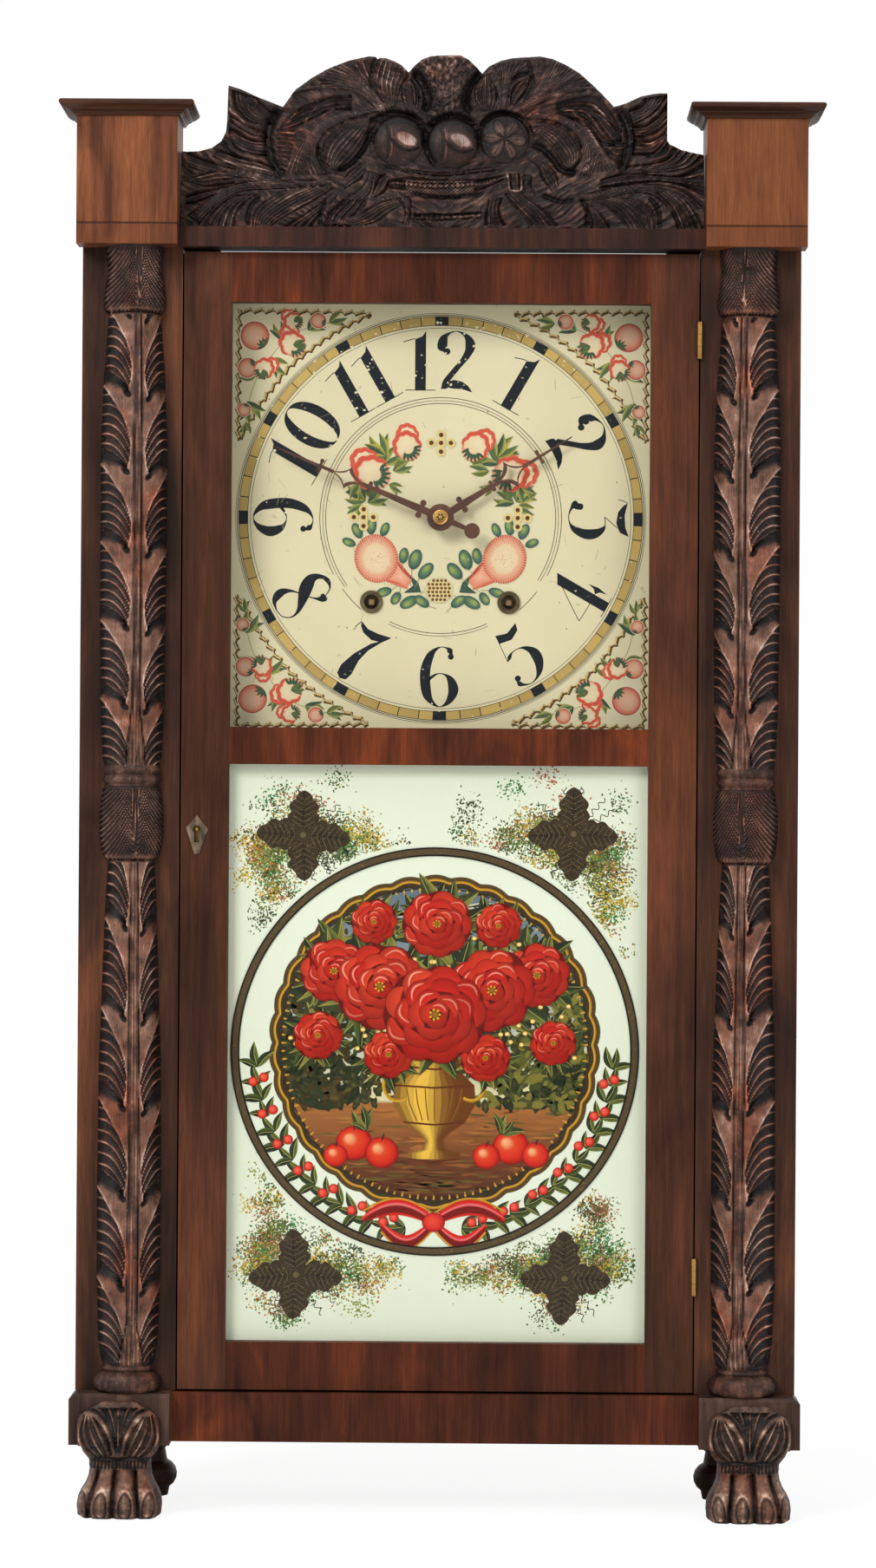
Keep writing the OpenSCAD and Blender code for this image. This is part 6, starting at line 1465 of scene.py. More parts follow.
def rope(art, line, colours, size=1.5, pitch=7.4):
    """A curling raised gilt line, shaded across from light to dark, with a painted shadow below it and a
    painted highlight above it.
    """
    path = smooth_line(line, 12)
    run = np.concatenate([[0], np.cumsum(np.hypot(*np.diff(path, axis=0).T))])
    place = np.arange(0, run[-1], 0.4)
    path = np.stack([np.interp(place, run, path[:, k]) for k in (0, 1)], -1)
    step = np.gradient(path, axis=0)
    along = step / np.hypot(*step.T)[:, None]
    side = pairs(-along[:, 1], along[:, 0])
    phase = 2 * np.pi * place / pitch
    curl = path + side * (1.35 * np.sin(phase))[:, None] + along * (1.2 * np.sin(2 * phase))[:, None]
    fat = 1 + 0.35 * np.cos(phase)
    # painted shadow of the raised line, below and to the right
    art.stroke(curl + (0.45, -0.55), size * 1.25 * fat, srgb(70, 50, 30), srgb(104, 78, 46))
    # the gilt, with painted shade across it
    art.stroke(curl, size * 0.8 * fat, colours[0], colours[1])
    # painted highlight, above and to the left
    art.stroke(curl + (-0.25, 0.3), size * 0.2 * fat, srgb(238, 220, 166))


CORNER_SPRAYS = (  # x, z, turn, length, number of leaves, and spread
    (127, 76, -1.9, 15, 4, 1.5), (122, 92, 0.5, 12, 3, 1.2), (113, 103, -2.3, 14, 3, 1.0),
    (104, 116, 1.3, 13, 4, 1.2), (88, 123, 2.6, 13, 4, 1.3), (74, 128, 3.0, 12, 3, 0.9),
    (118, 112, 1.2, 14, 3, 1.0), (128, 62, -1.4, 9, 3, 1.0),
)
CORNER_FRUIT = ((122.5, 119, 9.6, -2.4), (81, 129.2, 5.2, -2.8), (127.2, 98, 6.6, 2.4),
    (129.3, 70.5, 4.4, 2.0))
CORNER_FLOWERS = ((97.5, 113.2, 9.4, 0.8), (97, 128.4, 6.6, 0.3), (117, 97, 7.4, 2.2))
CORNER_ROPE = (
    (47, 134), (59, 128.4), (73, 120.4), (88, 109.4), (96.5, 102.6), (104, 94.6), (114, 81.6), (121, 72),
    (127.4, 60.6), (133.4, 51),
)
CORNER_EDGES = (((47, 134.6), (80, 135.4), (133.2, 136.0)), ((133.2, 136.0), (133.6, 95), (133.6, 51)))
CORNER_STEM = ((129, 58), (124, 84), (113, 104), (96, 121), (66, 130))


def spandrel(art, sx, sz, seed):
    """One corner of the dial: gilt rope, fruit, open flowers and leaves."""
    dice = np.random.RandomState(seed)
    flip = lambda points: [(x * sx, z * sz) for x, z in points]
    look = lambda a: math.atan2(math.sin(a) * sz, math.cos(a) * sx)
    rope(art, flip(CORNER_ROPE), (srgb(204, 164, 88), srgb(140, 100, 46)))
    for edge in CORNER_EDGES:
        rope(art, flip(edge), (srgb(188, 156, 92), srgb(116, 84, 44)))
    art.stroke(smooth_line(flip(CORNER_STEM), 8), 0.5, srgb(150, 152, 116))
    for x, z, a, length, number, spread in CORNER_SPRAYS:
        turn = look(a + dice.uniform(-0.15, 0.15))
        spray(art, x * sx, z * sz, turn, length, number, spread)
    for x, z, r, a in CORNER_FRUIT:
        fruit(art, x * sx, z * sz, r, look(a))
    for x, z, r, a in CORNER_FLOWERS:
        flower(art, x * sx, z * sz, r, look(a))
        spray(art, x * sx, z * sz, look(a + 2.4), r * 0.95, 3, 0.9, LEAF)


def trumpet(art, side, x, z, a, b, turn):
    """A large pale bloom with a hatched red rim, and the tube that it opens from."""
    m = lambda px, pz: (px * side, pz)
    tube = [m(28, -27), m(36, -40), m(22, -45.5), m(17.5, -40)]
    calyx = [m(20, -37), m(17, -45), m(24, -49), m(12.5, -48.5), m(14.5, -42)]
    art.shape(tube, srgb(216, 128, 100), srgb(232, 178, 148))
    art.stroke([m(29, -28), m(24, -34), m(18, -40.5)], (1.0, 2.2, 1.2), CORAL, CORAL_DARK)
    art.stroke([m(36.5, -40.5), m(29, -43), m(21.5, -46)], (1.2, 2.4, 1.2), CORAL, srgb(216, 128, 100))
    art.shape(calyx, LEAF_DARK, TEAL)
    bloom = [(0.2, srgb(228, 206, 170)), (0.55, srgb(226, 196, 160)), (0.8, srgb(222, 160, 128))]
    art.disc(x * side, z, (a, b), bloom + [(0.93, CORAL), (1, CORAL_DARK)], turn * side)
    dice = np.random.RandomState(int(x) + side)
    for k in range(54):
        t = 2 * math.pi * k / 54
        out, reach = np.array([math.cos(t), math.sin(t)]), 0.97 - dice.uniform(0.1, 0.2)
        hatch = turned([out * (a, b), out * (a, b) * (reach - 0.2)], x * side, z, turn * side)
        art.stroke(hatch, (1.1, 0.25), CORAL, srgb(224, 170, 138))
    for k in range(46):
        px, pz = dice.normal(0, a * 0.2, 2)
        art.dot(x * side + px, z + pz, 0.3, srgb(214, 148, 122))


STRAW = srgb(196, 178, 84)
WREATH_SPRAYS = (  # x, z, turn, length, number of leaves, spread, and light tone
    (37.5, 35.5, 2.4, 14, 4, 1.5, LEAF_LIGHT), (40.5, 35, 1.35, 15, 5, 1.2, STRAW),
    (25, 33, 1.7, 13, 3, 0.6, LEAF_LIGHT), (31.5, 31, 2.9, 13, 3, 0.7, LEAF_LIGHT),
    (49.5, 11, 0.75, 15, 5, 1.3, srgb(196, 180, 90)), (48, 10, 2.75, 14, 4, 1.1, LEAF_LIGHT),
    (46, 13, 1.7, 12, 3, 0.8, LEAF), (50.5, 8.5, -0.5, 12, 3, 0.7, LEAF_LIGHT),
    (30, 40, 2.9, 12, 3, 1.0, LEAF_LIGHT), (36, 40, 0.9, 17, 5, 1.5, srgb(190, 176, 80)),
    (52, 24, -1.2, 14, 4, 1.2, LEAF_LIGHT), (34, 22, -2.6, 10, 3, 0.8, LEAF_LIGHT),
)
WREATH_LOBES = (  # x, z, half length, half width, and turn of the round leaves
    (24, -24.5, 5.2, 3.2, 1.75), (16.5, -27, 6.8, 4.2, 1.9), (9.5, -34.5, 6.4, 3.8, 2.3),
    (36.5, -7.4, 4.8, 2.8, 2.0), (45.2, -5.4, 5.4, 3.2, 1.7), (54.6, -8.4, 5.4, 3.2, 1.1),
    (60, -16, 4.6, 2.7, 0.4), (37, -48.5, 5.4, 3, -0.3), (29, -52.5, 4.6, 3, -1.0),
    (20.5, -55, 6.4, 3.6, -0.5), (12, -54.5, 5.6, 3.2, 0.6),
)
LOBE_TONES = [(0.2, srgb(146, 156, 88)), (0.55, srgb(96, 122, 84)), (0.85, TEAL), (1, LEAF_DARK)]


def wreath(art, side):
    """One half of the flowers round the hands: sprays, two flowers, a trumpet flower and its leaves."""
    flip = lambda a: a if side > 0 else math.pi - a
    for x, z, a, length, number, spread, light in WREATH_SPRAYS:
        spray(art, x * side, z, flip(a), length, number, spread, light)
    flower(art, 22 * side, 46.5, 10.2, flip(1.1), 6)
    flower(art, 44.5 * side, 29, 12.6, flip(0.5), 6)
    trumpet(art, side, 42, -26.5, 14.2, 16, -0.25)
    for x, z, a, b, turn in WREATH_LOBES:
        art.disc(x * side, z, (a, b), LOBE_TONES, flip(turn), lit=(a * 0.35, b * 0.3))
        foot = turned([(-a, 0), (-a * 1.9, -b * 0.5)], x * side, z, flip(turn))
        art.stroke(foot, 0.35, srgb(150, 150, 120))


DIAL_CENTRE = (0.0, 648.5)
MINUTE_RINGS = ((124.7, 0.32), (126.5, 0.4), (132.3, 0.45), (133.3, 0.55), (134.4, 0.3))
INNER_RINGS = ((79.2, 0.46), (77.2, 0.34), (75.4, 0.44))
BEAD_CROSSES = ((50.5, 0.5), (-50.5, 0.5), (0, 49.5))


def ray_at(degrees):
    t = np.radians(degrees)
    return pairs(np.sin(t), np.cos(t))


def minute_track(art):
    """The gilt band between its rings, with a fine line at each minute and a thick one at the fives."""
    for k in range(60):
        ray = ray_at(k * 6 + np.linspace(0, 6, 5))
        gold = [c * (0.72 + 0.22 * ((k * 37) % 11) / 11) for c in GOLD[:3]]
        art.layer = 2
        art.band(ray * 126.6, ray * 132.2, (gold, [c * 1.05 for c in gold]))
    for k in range(60):
        art.layer = 3
        if k % 5:
            art.stroke([ray_at(k * 6) * 126.4, ray_at(k * 6) * 132.4], 0.6, srgb(40, 32, 24))
    for k in range(12):
        ray = ray_at(k * 30 + np.linspace(-1.95, 1.95, 5))
        art.layer = 4
        art.band(ray * 126.2, ray * 132.6, (INK, INK))
    for radius, width in MINUTE_RINGS:
        art.layer = 5
        art.ring(radius, width, HAIR)
    for radius, width in INNER_RINGS:
        art.layer = 5
        for start, end in ((-118, 118), (127, 139), (221, 234)) if radius > 79 else ((-126, 122),
                (156, 206)):
            art.ring(radius, width, HAIR, start, end)


def dial_wear(art, dice):
    """Chips in the ink, and scratches and specks all over."""
    for k in range(420):
        a = math.radians(dice.normal(-8, 34) if k % 2 else dice.uniform(0, 360))
        r = dice.uniform(84, 133)
        art.layer = 24
        size = dice.uniform(0.25, 1.0) * (1.3 if k % 2 else 0.8)
        wide = np.cos(np.arange(6)) * dice.uniform(0.5, 1.3, 6)
        chip = pairs(wide, np.sin(np.arange(6)) * dice.uniform(0.4, 1.0, 6)) * size
        art.shape(chip + (math.sin(a) * r, math.cos(a) * r), CREAM)
    for k in range(60):
        x, z, a = dice.uniform(-130, 130), dice.uniform(-130, 130), dice.uniform(0, 3.1)
        scratch = turned([(0, 0), (dice.uniform(2, 9), dice.uniform(-0.6, 0.6))], x, z, a)
        art.stroke(scratch, dice.uniform(0.12, 0.3), srgb(150, 134, 100))
        x, z = dice.uniform(-130, 130), dice.uniform(-130, 130)
        art.dot(x, z, dice.uniform(0.2, 0.55), srgb(128, 104, 72))


def gilt_beads(art):
    """Crosses of five beads in the wreath, and a seeded oval below."""
    for x, z in BEAD_CROSSES:
        for dx, dz in ((0, 0), (6.4, 0), (-6.4, 0), (0, 5.2), (0, -5.8)):
            art.dot(x + dx, z + dz, 3.1, srgb(222, 200, 140), srgb(206, 176, 104))
            art.dot(x + dx, z + dz, 1.5, srgb(104, 66, 38), srgb(72, 46, 28))
    art.disc(-1, -47, (9, 8), [(0.7, srgb(216, 196, 138)), (1, srgb(208, 196, 152))], 0, (7, 0.1))
    for k in range(6):
        for j in range(6):
            if math.hypot(k - 2.5, j - 2.5) < 3.2:
                x, z = -1 + (k - 2.5) * 2.6 + 0.6 * (j % 2), -47 + (j - 2.5) * 2.5
                art.dot(x, z, 1.0, srgb(122, 82, 42), srgb(92, 60, 34))


def paint_dial():
    art = Painting("dial_painting", DIAL_CENTRE, box_mm("dial")[0].y)
    minute_track(art)
    for hour in range(1, 13):
        art.layer = 8
        numeral(art, str(hour), hour * 30, 103.6, 39.5)
    dial_wear(art, np.random.RandomState(12))
    for sx, sz, seed in ((-1, 1, 1), (1, 1, 2), (-1, -1, 3), (1, -1, 4)):
        art.layer = 40
        spandrel(art, sx, sz, seed)
    for side in (-1, 1):
        wreath(art, side)
    gilt_beads(art)
    art.finish("case", old_paint("Dial painting", worn=CREAM))


cover(["dial"], old_paint("Dial ground", CREAM, CREAM_DARK))
paint_dial()


# ---- the tablet, painted on the back of its glass; x and z from the ring's centre
TABLET_CENTRE = (-1.4, 300.4)
RING, FIELD_WIDE, FIELD_HIGH, FIELD_MIDDLE = 130, 101.0, 103.0, 5.0
BRONZE_DARK, RING_EDGE, DEEP_RED = srgb(44, 36, 28), srgb(24, 18, 12), srgb(70, 10, 8)
SCARLET, CRIMSON, BLUSH = srgb(208, 34, 22), srgb(118, 18, 12), srgb(226, 104, 104)
YELLOW, OCHRE, FOREST, MOSS = srgb(224, 172, 48), srgb(150, 100, 28), srgb(44, 54, 30), srgb(112, 118, 52)
SPONGED = (
    srgb(100, 112, 10), srgb(52, 66, 8), srgb(206, 168, 26), srgb(46, 124, 44), srgb(164, 84, 26),
    srgb(66, 58, 12), srgb(138, 142, 20), srgb(80, 104, 16),
)
CORNERS = ((-86.5, 140.3, 1), (89.3, 142, 2), (-89.3, -145.8, 3), (85.4, -147, 4))  # x, z and seed
BLOSSOMS = (  # x, z and radius
    (-40, 84, 14), (41, 82, 14), (1, 83, 21), (-76, 10, 15), (77, 6, 14), (-66, 52, 20), (66, 50, 20),
    (-30, -2, 15), (33, -4, 15), (-36, 42, 27), (37, 40, 26), (0, 24, 31),
)
URN = (  # height and half width
    (-70, 17), (-66, 17), (-64, 8), (-58, 5.5), (-54, 9), (-46, 20), (-34, 27), (-22, 26), (-14, 18),
    (-10, 17), (-7, 21), (-4, 22),
)
TABLE_FRUIT = ((-52, -60, 12), (-34, -66, 11), (-64, -68, 8), (50, -62, 12), (66, -67, 9), (34, -68, 9))


def mixed(a, b, share):
    return [p + (q - p) * share for p, q in zip(a[:3], b[:3])]


def cloud_middles(x, z, dice):
    """Where the sponge was pressed: along both arms of an L about a corner, and round its middle."""
    sx, sz = np.sign(x), np.sign(z)
    middles = []
    for k in range(90):
        reach = abs(dice.normal(0, 0.5))
        if k % 5 < 2:
            middles.append((x - sx * reach * 66, z - sz * 4 + dice.normal(0, 11 - 4 * min(1, reach))))
        elif k % 5 < 4:
            middles.append((x + sx * 20 + dice.normal(0, 9 - 3 * min(1, reach)), z - sz * reach * 60))
        else:
            middles.append((x + dice.normal(0, 21), z + dice.normal(0, 17)))
    return middles


def sponged_clouds(art, x, z, dice):
    """Specks of green and brown outside the ring, with a clear gap in the middle of the tablet."""
    middles = cloud_middles(x, z, dice)
    for k in range(7600):
        middle = middles[k % 90]
        px, pz = middle[0] + dice.normal(0, 5.0), middle[1] + dice.normal(0, 3.8)
        if abs(px + 1.4) > 133 or abs(pz) > 186 or px**2 + pz**2 < 136**2:
            continue
        if abs(px + 5) < 10 + 9 * abs(dice.normal()):
            continue
        tint = SPONGED[(k % 90) % 8 if k % 3 else k % 8]
        art.layer = 2 + k % 36
        r, turn = dice.uniform(0.35, 1.0), dice.uniform(0, 3)
        speck = turned([(-1.1, 0), (0, -0.8), (1.1, 0.2), (0.2, 0.8)], px, pz, turn, r)
        art.shape(speck, mixed(tint, srgb(234, 238, 222), dice.uniform(0, 0.08)))


def ornament(art, x, z, size, seed):
    """A bronze stencil of four lobed leaves on an L of sponged greens, with a few tendrils."""
    dice = np.random.RandomState(seed)
    sponged_clouds(art, x, z, dice)
    for k in range(16):
        a = dice.uniform(0, 6.28)
        s = np.linspace(0, 1, 18)
        line = pairs(14 + s * 17, 1.9 * np.sin(s * 18 + k) * (1 - 0.3 * s))
        art.layer = 40
        art.stroke(turned(line, x, z, a, size), 0.6, srgb(62, 54, 36))
    t = np.linspace(0, 1, 41)
    swell = 20.5 * t**0.6 * (1 - t) ** 0.72 * (1 + 0.3 * np.abs(np.sin(t * 10.5 + 0.9)))
    half = np.concatenate([swell, -swell[::-1]])
    for k in range(4):
        reach = (30, 31, 29, 30.5)[(k + seed) % 4]
        edge = pairs(np.concatenate([t, t[::-1]]) * reach, half)
        a = k * math.pi / 2 + dice.uniform(-0.1, 0.1)
        art.layer = 44 + k
        art.shape(turned(edge, x, z, a, size), srgb(60, 47, 32), srgb(44, 34, 24))
        art.layer = 50 + k
        art.stroke(turned([(3, 0), (12, 0.8), (28, 0)], x, z, a, size), 0.6, srgb(26, 20, 14))
        for j in range(6):
            for s in (-1, 1):
                vein = turned([(5 + 3.6 * j, 0.3 * s), (9 + 3.6 * j, 7.0 * s)], x, z, a, size)
                art.stroke(vein, 0.4, srgb(104, 88, 58))
        for j in range(60):
            u, v = dice.uniform(3, 25), dice.uniform(-8, 8)
            art.layer = 58 + j % 12
            place = turned([(u, v)], x, z, a, size)[0]
            speck = turned([(-0.6, 0), (0, 0.35), (0.6, 0), (0, -0.35)], *place, dice.uniform(0, 3))
            art.shape(speck, mixed(srgb(120, 100, 64), srgb(30, 24, 16), dice.uniform(0, 1)))
    art.layer = 74
    boss = [(0.25, srgb(104, 88, 60)), (0.6, srgb(40, 32, 22)), (0.8, srgb(74, 60, 40)), (1, RING_EDGE)]
    art.disc(x, z, (5.0 * size, 4.7 * size), boss)


def blossom(art, x, z, r, turn, dice):
    """A full red bloom, of curled strokes over a dark heart, lit from the upper left."""
    heart = [(0.2, DEEP_RED), (0.75, CRIMSON), (1, srgb(92, 14, 10))]
    art.disc(x, z, (r, r * 0.95), heart, turn, (7, 0.09))
    swell = np.sin(np.linspace(0.08, math.pi - 0.08, 13)) ** 0.7
    for away, count, wide in ((0.84, 9, 0.3), (0.62, 7, 0.28), (0.4, 5, 0.24), (0.2, 3, 0.2)):
        for k in range(count):
            a = turn + away * 5 + k * 2 * math.pi / count + dice.uniform(-0.12, 0.12)
            s = np.linspace(-0.62, 0.62, 13) * 2 * math.pi / count
            reach = r * away * (1 + 0.1 * np.cos(s * count * 0.5) - 0.12 * s / s[-1])
            line = pairs(x + np.cos(a + s) * reach, z + np.sin(a + s) * reach * 0.95)
            light = 0.5 + 0.5 * math.cos(a - 2.2)
            bright = mixed(SCARLET, srgb(228, 70, 40), dice.uniform(0, 1))
            warm = mixed(srgb(160, 24, 16), bright, 0.25 + 0.75 * light)
            art.stroke(line, swell * r * wide * 1.1, srgb(96, 12, 10))
            art.stroke(line, swell * r * wide, warm, mixed(warm, DEEP_RED, 0.45))
            if light > 0.35 and k % 2 == 0:
                out, up = np.cos(a + s * 0.6) * reach * 1.08, np.sin(a + s * 0.6) * reach * 1.02
                glint = mixed(warm, srgb(250, 190, 160), 0.55 * light)
                art.stroke(pairs(x + out, z + up), swell * r * 0.045, glint)
    art.disc(x, z, (r * 0.11, r * 0.1), [(0.4, OCHRE), (1, DEEP_RED)])
    for k in range(7):
        a = k * 0.9
        art.dot(x + math.cos(a) * r * 0.1, z + math.sin(a) * r * 0.1, r * 0.026, YELLOW)


def foliage(art, x, z, turn, length, number, spread, dice):
    """A loose fan of dark leaves with pale veins."""
    tones = (FOREST, MOSS), (srgb(34, 42, 26), srgb(86, 98, 44)), (srgb(60, 64, 32), srgb(150, 142, 64))
    for k in range(number):
        a = turn + spread * (k / max(number - 1, 1) - 0.5) + dice.uniform(-0.15, 0.15)
        reach, side = length * dice.uniform(0.75, 1.1), (-1) ** k
        art.leaf(x, z, a, reach, reach * 0.34, *tones[k % 3], 0.3 * side)
        vein = turned([(reach * 0.1, 0), (reach * 0.5, 0.06 * reach * side), (reach * 0.92, 0)], x, z, a)
        art.stroke(vein, 0.35, srgb(176, 168, 96))


def field_half(z):
    """Half the width of the picture's oval at a height."""
    return FIELD_WIDE * math.sqrt(max(0.0, 1 - ((z - FIELD_MIDDLE) / FIELD_HIGH) ** 2))


def picture_ground(art):
    """Sky over a brown ground, in level bands."""
    levels = (
        (-98, srgb(58, 32, 20)), (-70, srgb(110, 60, 32)), (-34, srgb(164, 104, 56)),
        (-33, srgb(222, 208, 160)), (0, srgb(200, 200, 178)), (50, srgb(142, 156, 160)),
        (108, srgb(92, 108, 122)),
    )
    heights = [q[0] for q in levels]
    for k in range(103):
        z0, z1 = -98 + 2.0 * k, -96 + 2.0 * k
        tones = [[np.interp(z, heights, [q[1][c] for q in levels]) for c in range(3)] for z in (z1, z0)]
        upper, lower = ([(-field_half(z), z), (field_half(z), z)] for z in (z1, z0))
        art.layer = 40
        art.band(upper, lower, tones)


def sky_and_earth(art, dice):
    """Soft clouds above, and long strokes of brown below."""
    for k in range(46):
        z = dice.uniform(0, 96)
        x = dice.uniform(-1, 1) * field_half(z) * 0.7
        along = np.linspace(-1, 1, 9) * dice.uniform(8, 24)
        line = pairs(along, 2 * np.cos(np.linspace(-1.5, 1.5, 9)))
        art.layer = 42 + k % 3
        line = turned(line, x, z, dice.uniform(-0.15, 0.15))
        width = np.sin(np.linspace(0, np.pi, 9)) * dice.uniform(1.5, 5)
        art.stroke(line, width, mixed(srgb(214, 206, 178), srgb(128, 144, 152), dice.uniform(0, 1)))
    for k in range(300):
        z = dice.uniform(-94, -36)
        x, w = dice.uniform(-0.96, 0.9) * field_half(z), dice.uniform(6, 26)
        x2 = min(field_half(z) * 0.97, x + w)
        tone = srgb(98, 84, 38)
        if k % 5:
            dark = min(1, max(0, dice.normal(0.15 - (z + 36) / 70, 0.25)))
            tone = mixed(srgb(176, 112, 56), srgb(84, 44, 24), dark)
        art.layer = 44 + k % 4
        line = [(x, z), ((x + x2) / 2, z + dice.uniform(-1.4, 1.4)), (x2, z)]
        art.stroke(line, (0.2, dice.uniform(0.8, 2.6), 0.2), tone)


def dark_trees(art, dice):
    """Dabs of foliage that frame the picture at both sides."""
    greens = (
        srgb(30, 38, 22), srgb(52, 60, 30), srgb(66, 50, 26), srgb(84, 88, 38), srgb(40, 50, 34),
        srgb(122, 112, 48),
    )
    dab = ((-1.3, 0), (-0.5, 0.7), (0.6, 0.6), (1.3, 0), (0.4, -0.6), (-0.7, -0.5))
    for k in range(1500):
        side = 1 if k % 2 else -1
        z = -36 + abs(dice.normal(0, 1)) * 52
        reach = field_half(min(z, 104)) - 2
        x = side * (reach - abs(dice.normal(0, 1)) * (30 - 0.12 * z))
        if z > 100 or abs(x) > reach or reach < 12:
            continue
        tone = greens[k % 6 if dice.uniform() < 0.7 else 0]
        art.layer = 48 + k % 78
        r = dice.uniform(1.6, 4.4)
        leaves = turned(dab, x, z, dice.uniform(0, 3.1), r)
        art.shape(leaves, tone, mixed(tone, srgb(150, 140, 70), dice.uniform(0, 0.35)))


def scalloped_frame(art):
    """The picture's gilt frame, with short rays inside it."""
    t = np.linspace(0, 2 * np.pi, 241)[:-1]
    middle = (0, FIELD_MIDDLE)
    oval = pairs(np.cos(t) * FIELD_WIDE, FIELD_MIDDLE + np.sin(t) * FIELD_HIGH) - middle
    bead = (1 + 0.022 * np.abs(np.sin(t * 17)))[:, None]
    art.layer = 130
    art.stroke(oval * bead * 1.01 + middle, 7.6, srgb(46, 36, 24), srgb(88, 66, 34), closed=True)
    art.stroke(oval * bead * 1.014 + middle, 1.6, YELLOW, OCHRE, closed=True)
    art.stroke(oval * 0.985 + middle, 0.9, BRONZE_DARK, closed=True)
    for k in range(120):
        a = k * math.pi / 60
        ray = np.array([math.cos(a) * FIELD_WIDE, math.sin(a) * FIELD_HIGH])
        inner = ray * (0.955 + 0.008 * (k % 2)) + middle
        art.layer = 134
        art.stroke([ray * 0.985 + middle, inner], (1.4, 0.5), srgb(206, 156, 52))


def garland(art, dice):
    """Leaves and berries inside the ring below, and a red bow."""
    berry = [(0.3, srgb(236, 96, 76)), (0.8, SCARLET), (1, CRIMSON)]
    for side in (-1, 1):
        for k in range(15):
            a = math.radians(-90 + side * (9 + k * 5.4))
            x, z = math.cos(a) * 116, math.sin(a) * 116
            foliage(art, x, z, a + side * 0.9, 17, 2, 1.1, dice)
            foliage(art, x, z, a + side * 2.2, 15, 1, 0.3, dice)
            if k % 2:
                for d in (-4, 3):
                    art.disc(x + d, z + d * 0.4 + 3, (3.2, 3.2), berry, lit=(-0.8, 0.8))
        for length, bend, wide in ((46, 0.5, 11), (34, -0.65, 9)):
            s = np.linspace(0, 1, 22)
            line = pairs(side * length * s, -111 + bend * 20 * np.sin(s * 3.0))
            swell = np.sin(np.pi * np.clip(s, 0.02, 0.98)) ** 0.5
            for shift, tone, share in ((0, SCARLET, 1.0), (-1.4, CRIMSON, 0.45), (1.7, BLUSH, 0.16)):
                art.stroke(line + (0, shift), swell * wide * share, tone)
            art.stroke(line + (0, wide * 0.5 * (1 if bend > 0 else -1)), 1.3, YELLOW, OCHRE)
    knot = [(0.3, srgb(230, 70, 50)), (0.8, SCARLET), (1, CRIMSON)]
    art.disc(0, -111, (7.5, 6.4), knot, lit=(-1.5, 1.5))


def gilt_urn(art):
    """The urn, lit from the left, with its mouldings, flutes and two handles."""
    for (z0, w0), (z1, w1) in zip(URN[:-1], URN[1:]):
        for p in range(12):
            a, b = -1 + p / 6, -1 + (p + 1) / 6
            light = math.exp(-(((a + b) / 2 + 0.35) ** 2) / 0.18)
            tone = mixed(srgb(104, 58, 22), srgb(236, 188, 74), light)
            art.layer = 300
            art.band([(a * w1, z1), (b * w1, z1)], [(a * w0, z0), (b * w0, z0)], (tone, tone))
    for z, w in ((-70, 17), (-46, 20), (-22, 26), (-10, 17)):
        art.stroke([(-w, z), (0, z - 1.6), (w, z)], 1.2, srgb(92, 40, 16))
    for k in range(-3, 4):
        art.stroke([(k * 6, -24), (k * 5.4, -34), (k * 3.8, -45)], 0.8, srgb(140, 84, 28))
    s = np.linspace(0, np.pi * 1.2, 15)
    for side in (-1, 1):
        handle = pairs(side * (24 + 9 * np.sin(s)), -12 - 12 * (1 - np.cos(s)) / 1.2)
        art.stroke(handle, 2.2, OCHRE, YELLOW)


def table_fruit(art, dice):
    peel = [(0.12, srgb(244, 168, 120)), (0.4, srgb(222, 70, 34)), (0.8, SCARLET), (1, CRIMSON)]
    for x, z, r in TABLE_FRUIT:
        art.disc(x, z, (r, r * 0.94), peel, lit=(-r * 0.35, r * 0.35))
        art.stroke([(x, z + r * 0.7), (x + 1.4, z + r * 1.15)], 0.9, BRONZE_DARK)
    foliage(art, -44, -52, 2.0, 16, 4, 1.6, dice)
    foliage(art, 44, -54, 1.1, 16, 4, 1.6, dice)


def bouquet(art, dice):
    """Leaves behind, small yellow flowers between, and red blossoms in front."""
    for x, z, r in BLOSSOMS:
        foliage(art, x * 0.95, z * 0.95, math.atan2(z + 20, x), r * 1.8, 9, 2.9, dice)
        foliage(art, x, z, math.atan2(-z - 30, -x), r * 1.6, 6, 2.4, dice)
    for x, z, r in BLOSSOMS:
        foliage(art, x, z, math.atan2(z - 10, x), r * 1.35, 7, 5.4, dice)
    for k in range(110):
        a = dice.uniform(-0.1, math.pi + 0.1)
        d = dice.uniform(30, 96)
        x, z = math.cos(a) * d, math.sin(a) * d * 0.95 + 2
        art.disc(x, z, (1.7, 1.5), [(0.3, srgb(240, 226, 176)), (0.8, YELLOW), (1, OCHRE)])
    for x, z, r in BLOSSOMS:
        blossom(art, x, z, r, dice.uniform(0, 1), dice)


def dark_ring(art, dice):
    """The bronze ring round the picture."""
    art.layer = 1150
    art.ring(RING, 4.6, srgb(84, 68, 44))
    art.ring(127.6, 1.1, RING_EDGE)
    art.ring(132.3, 1.0, RING_EDGE)
    for k in range(260):
        a, r = dice.uniform(0, 6.283), dice.uniform(128.4, 131.6)
        x, z, size = math.cos(a) * r, math.sin(a) * r, dice.uniform(0.2, 0.5)
        art.dot(x, z, size, mixed(srgb(150, 122, 72), srgb(36, 28, 18), dice.uniform(0, 1)))


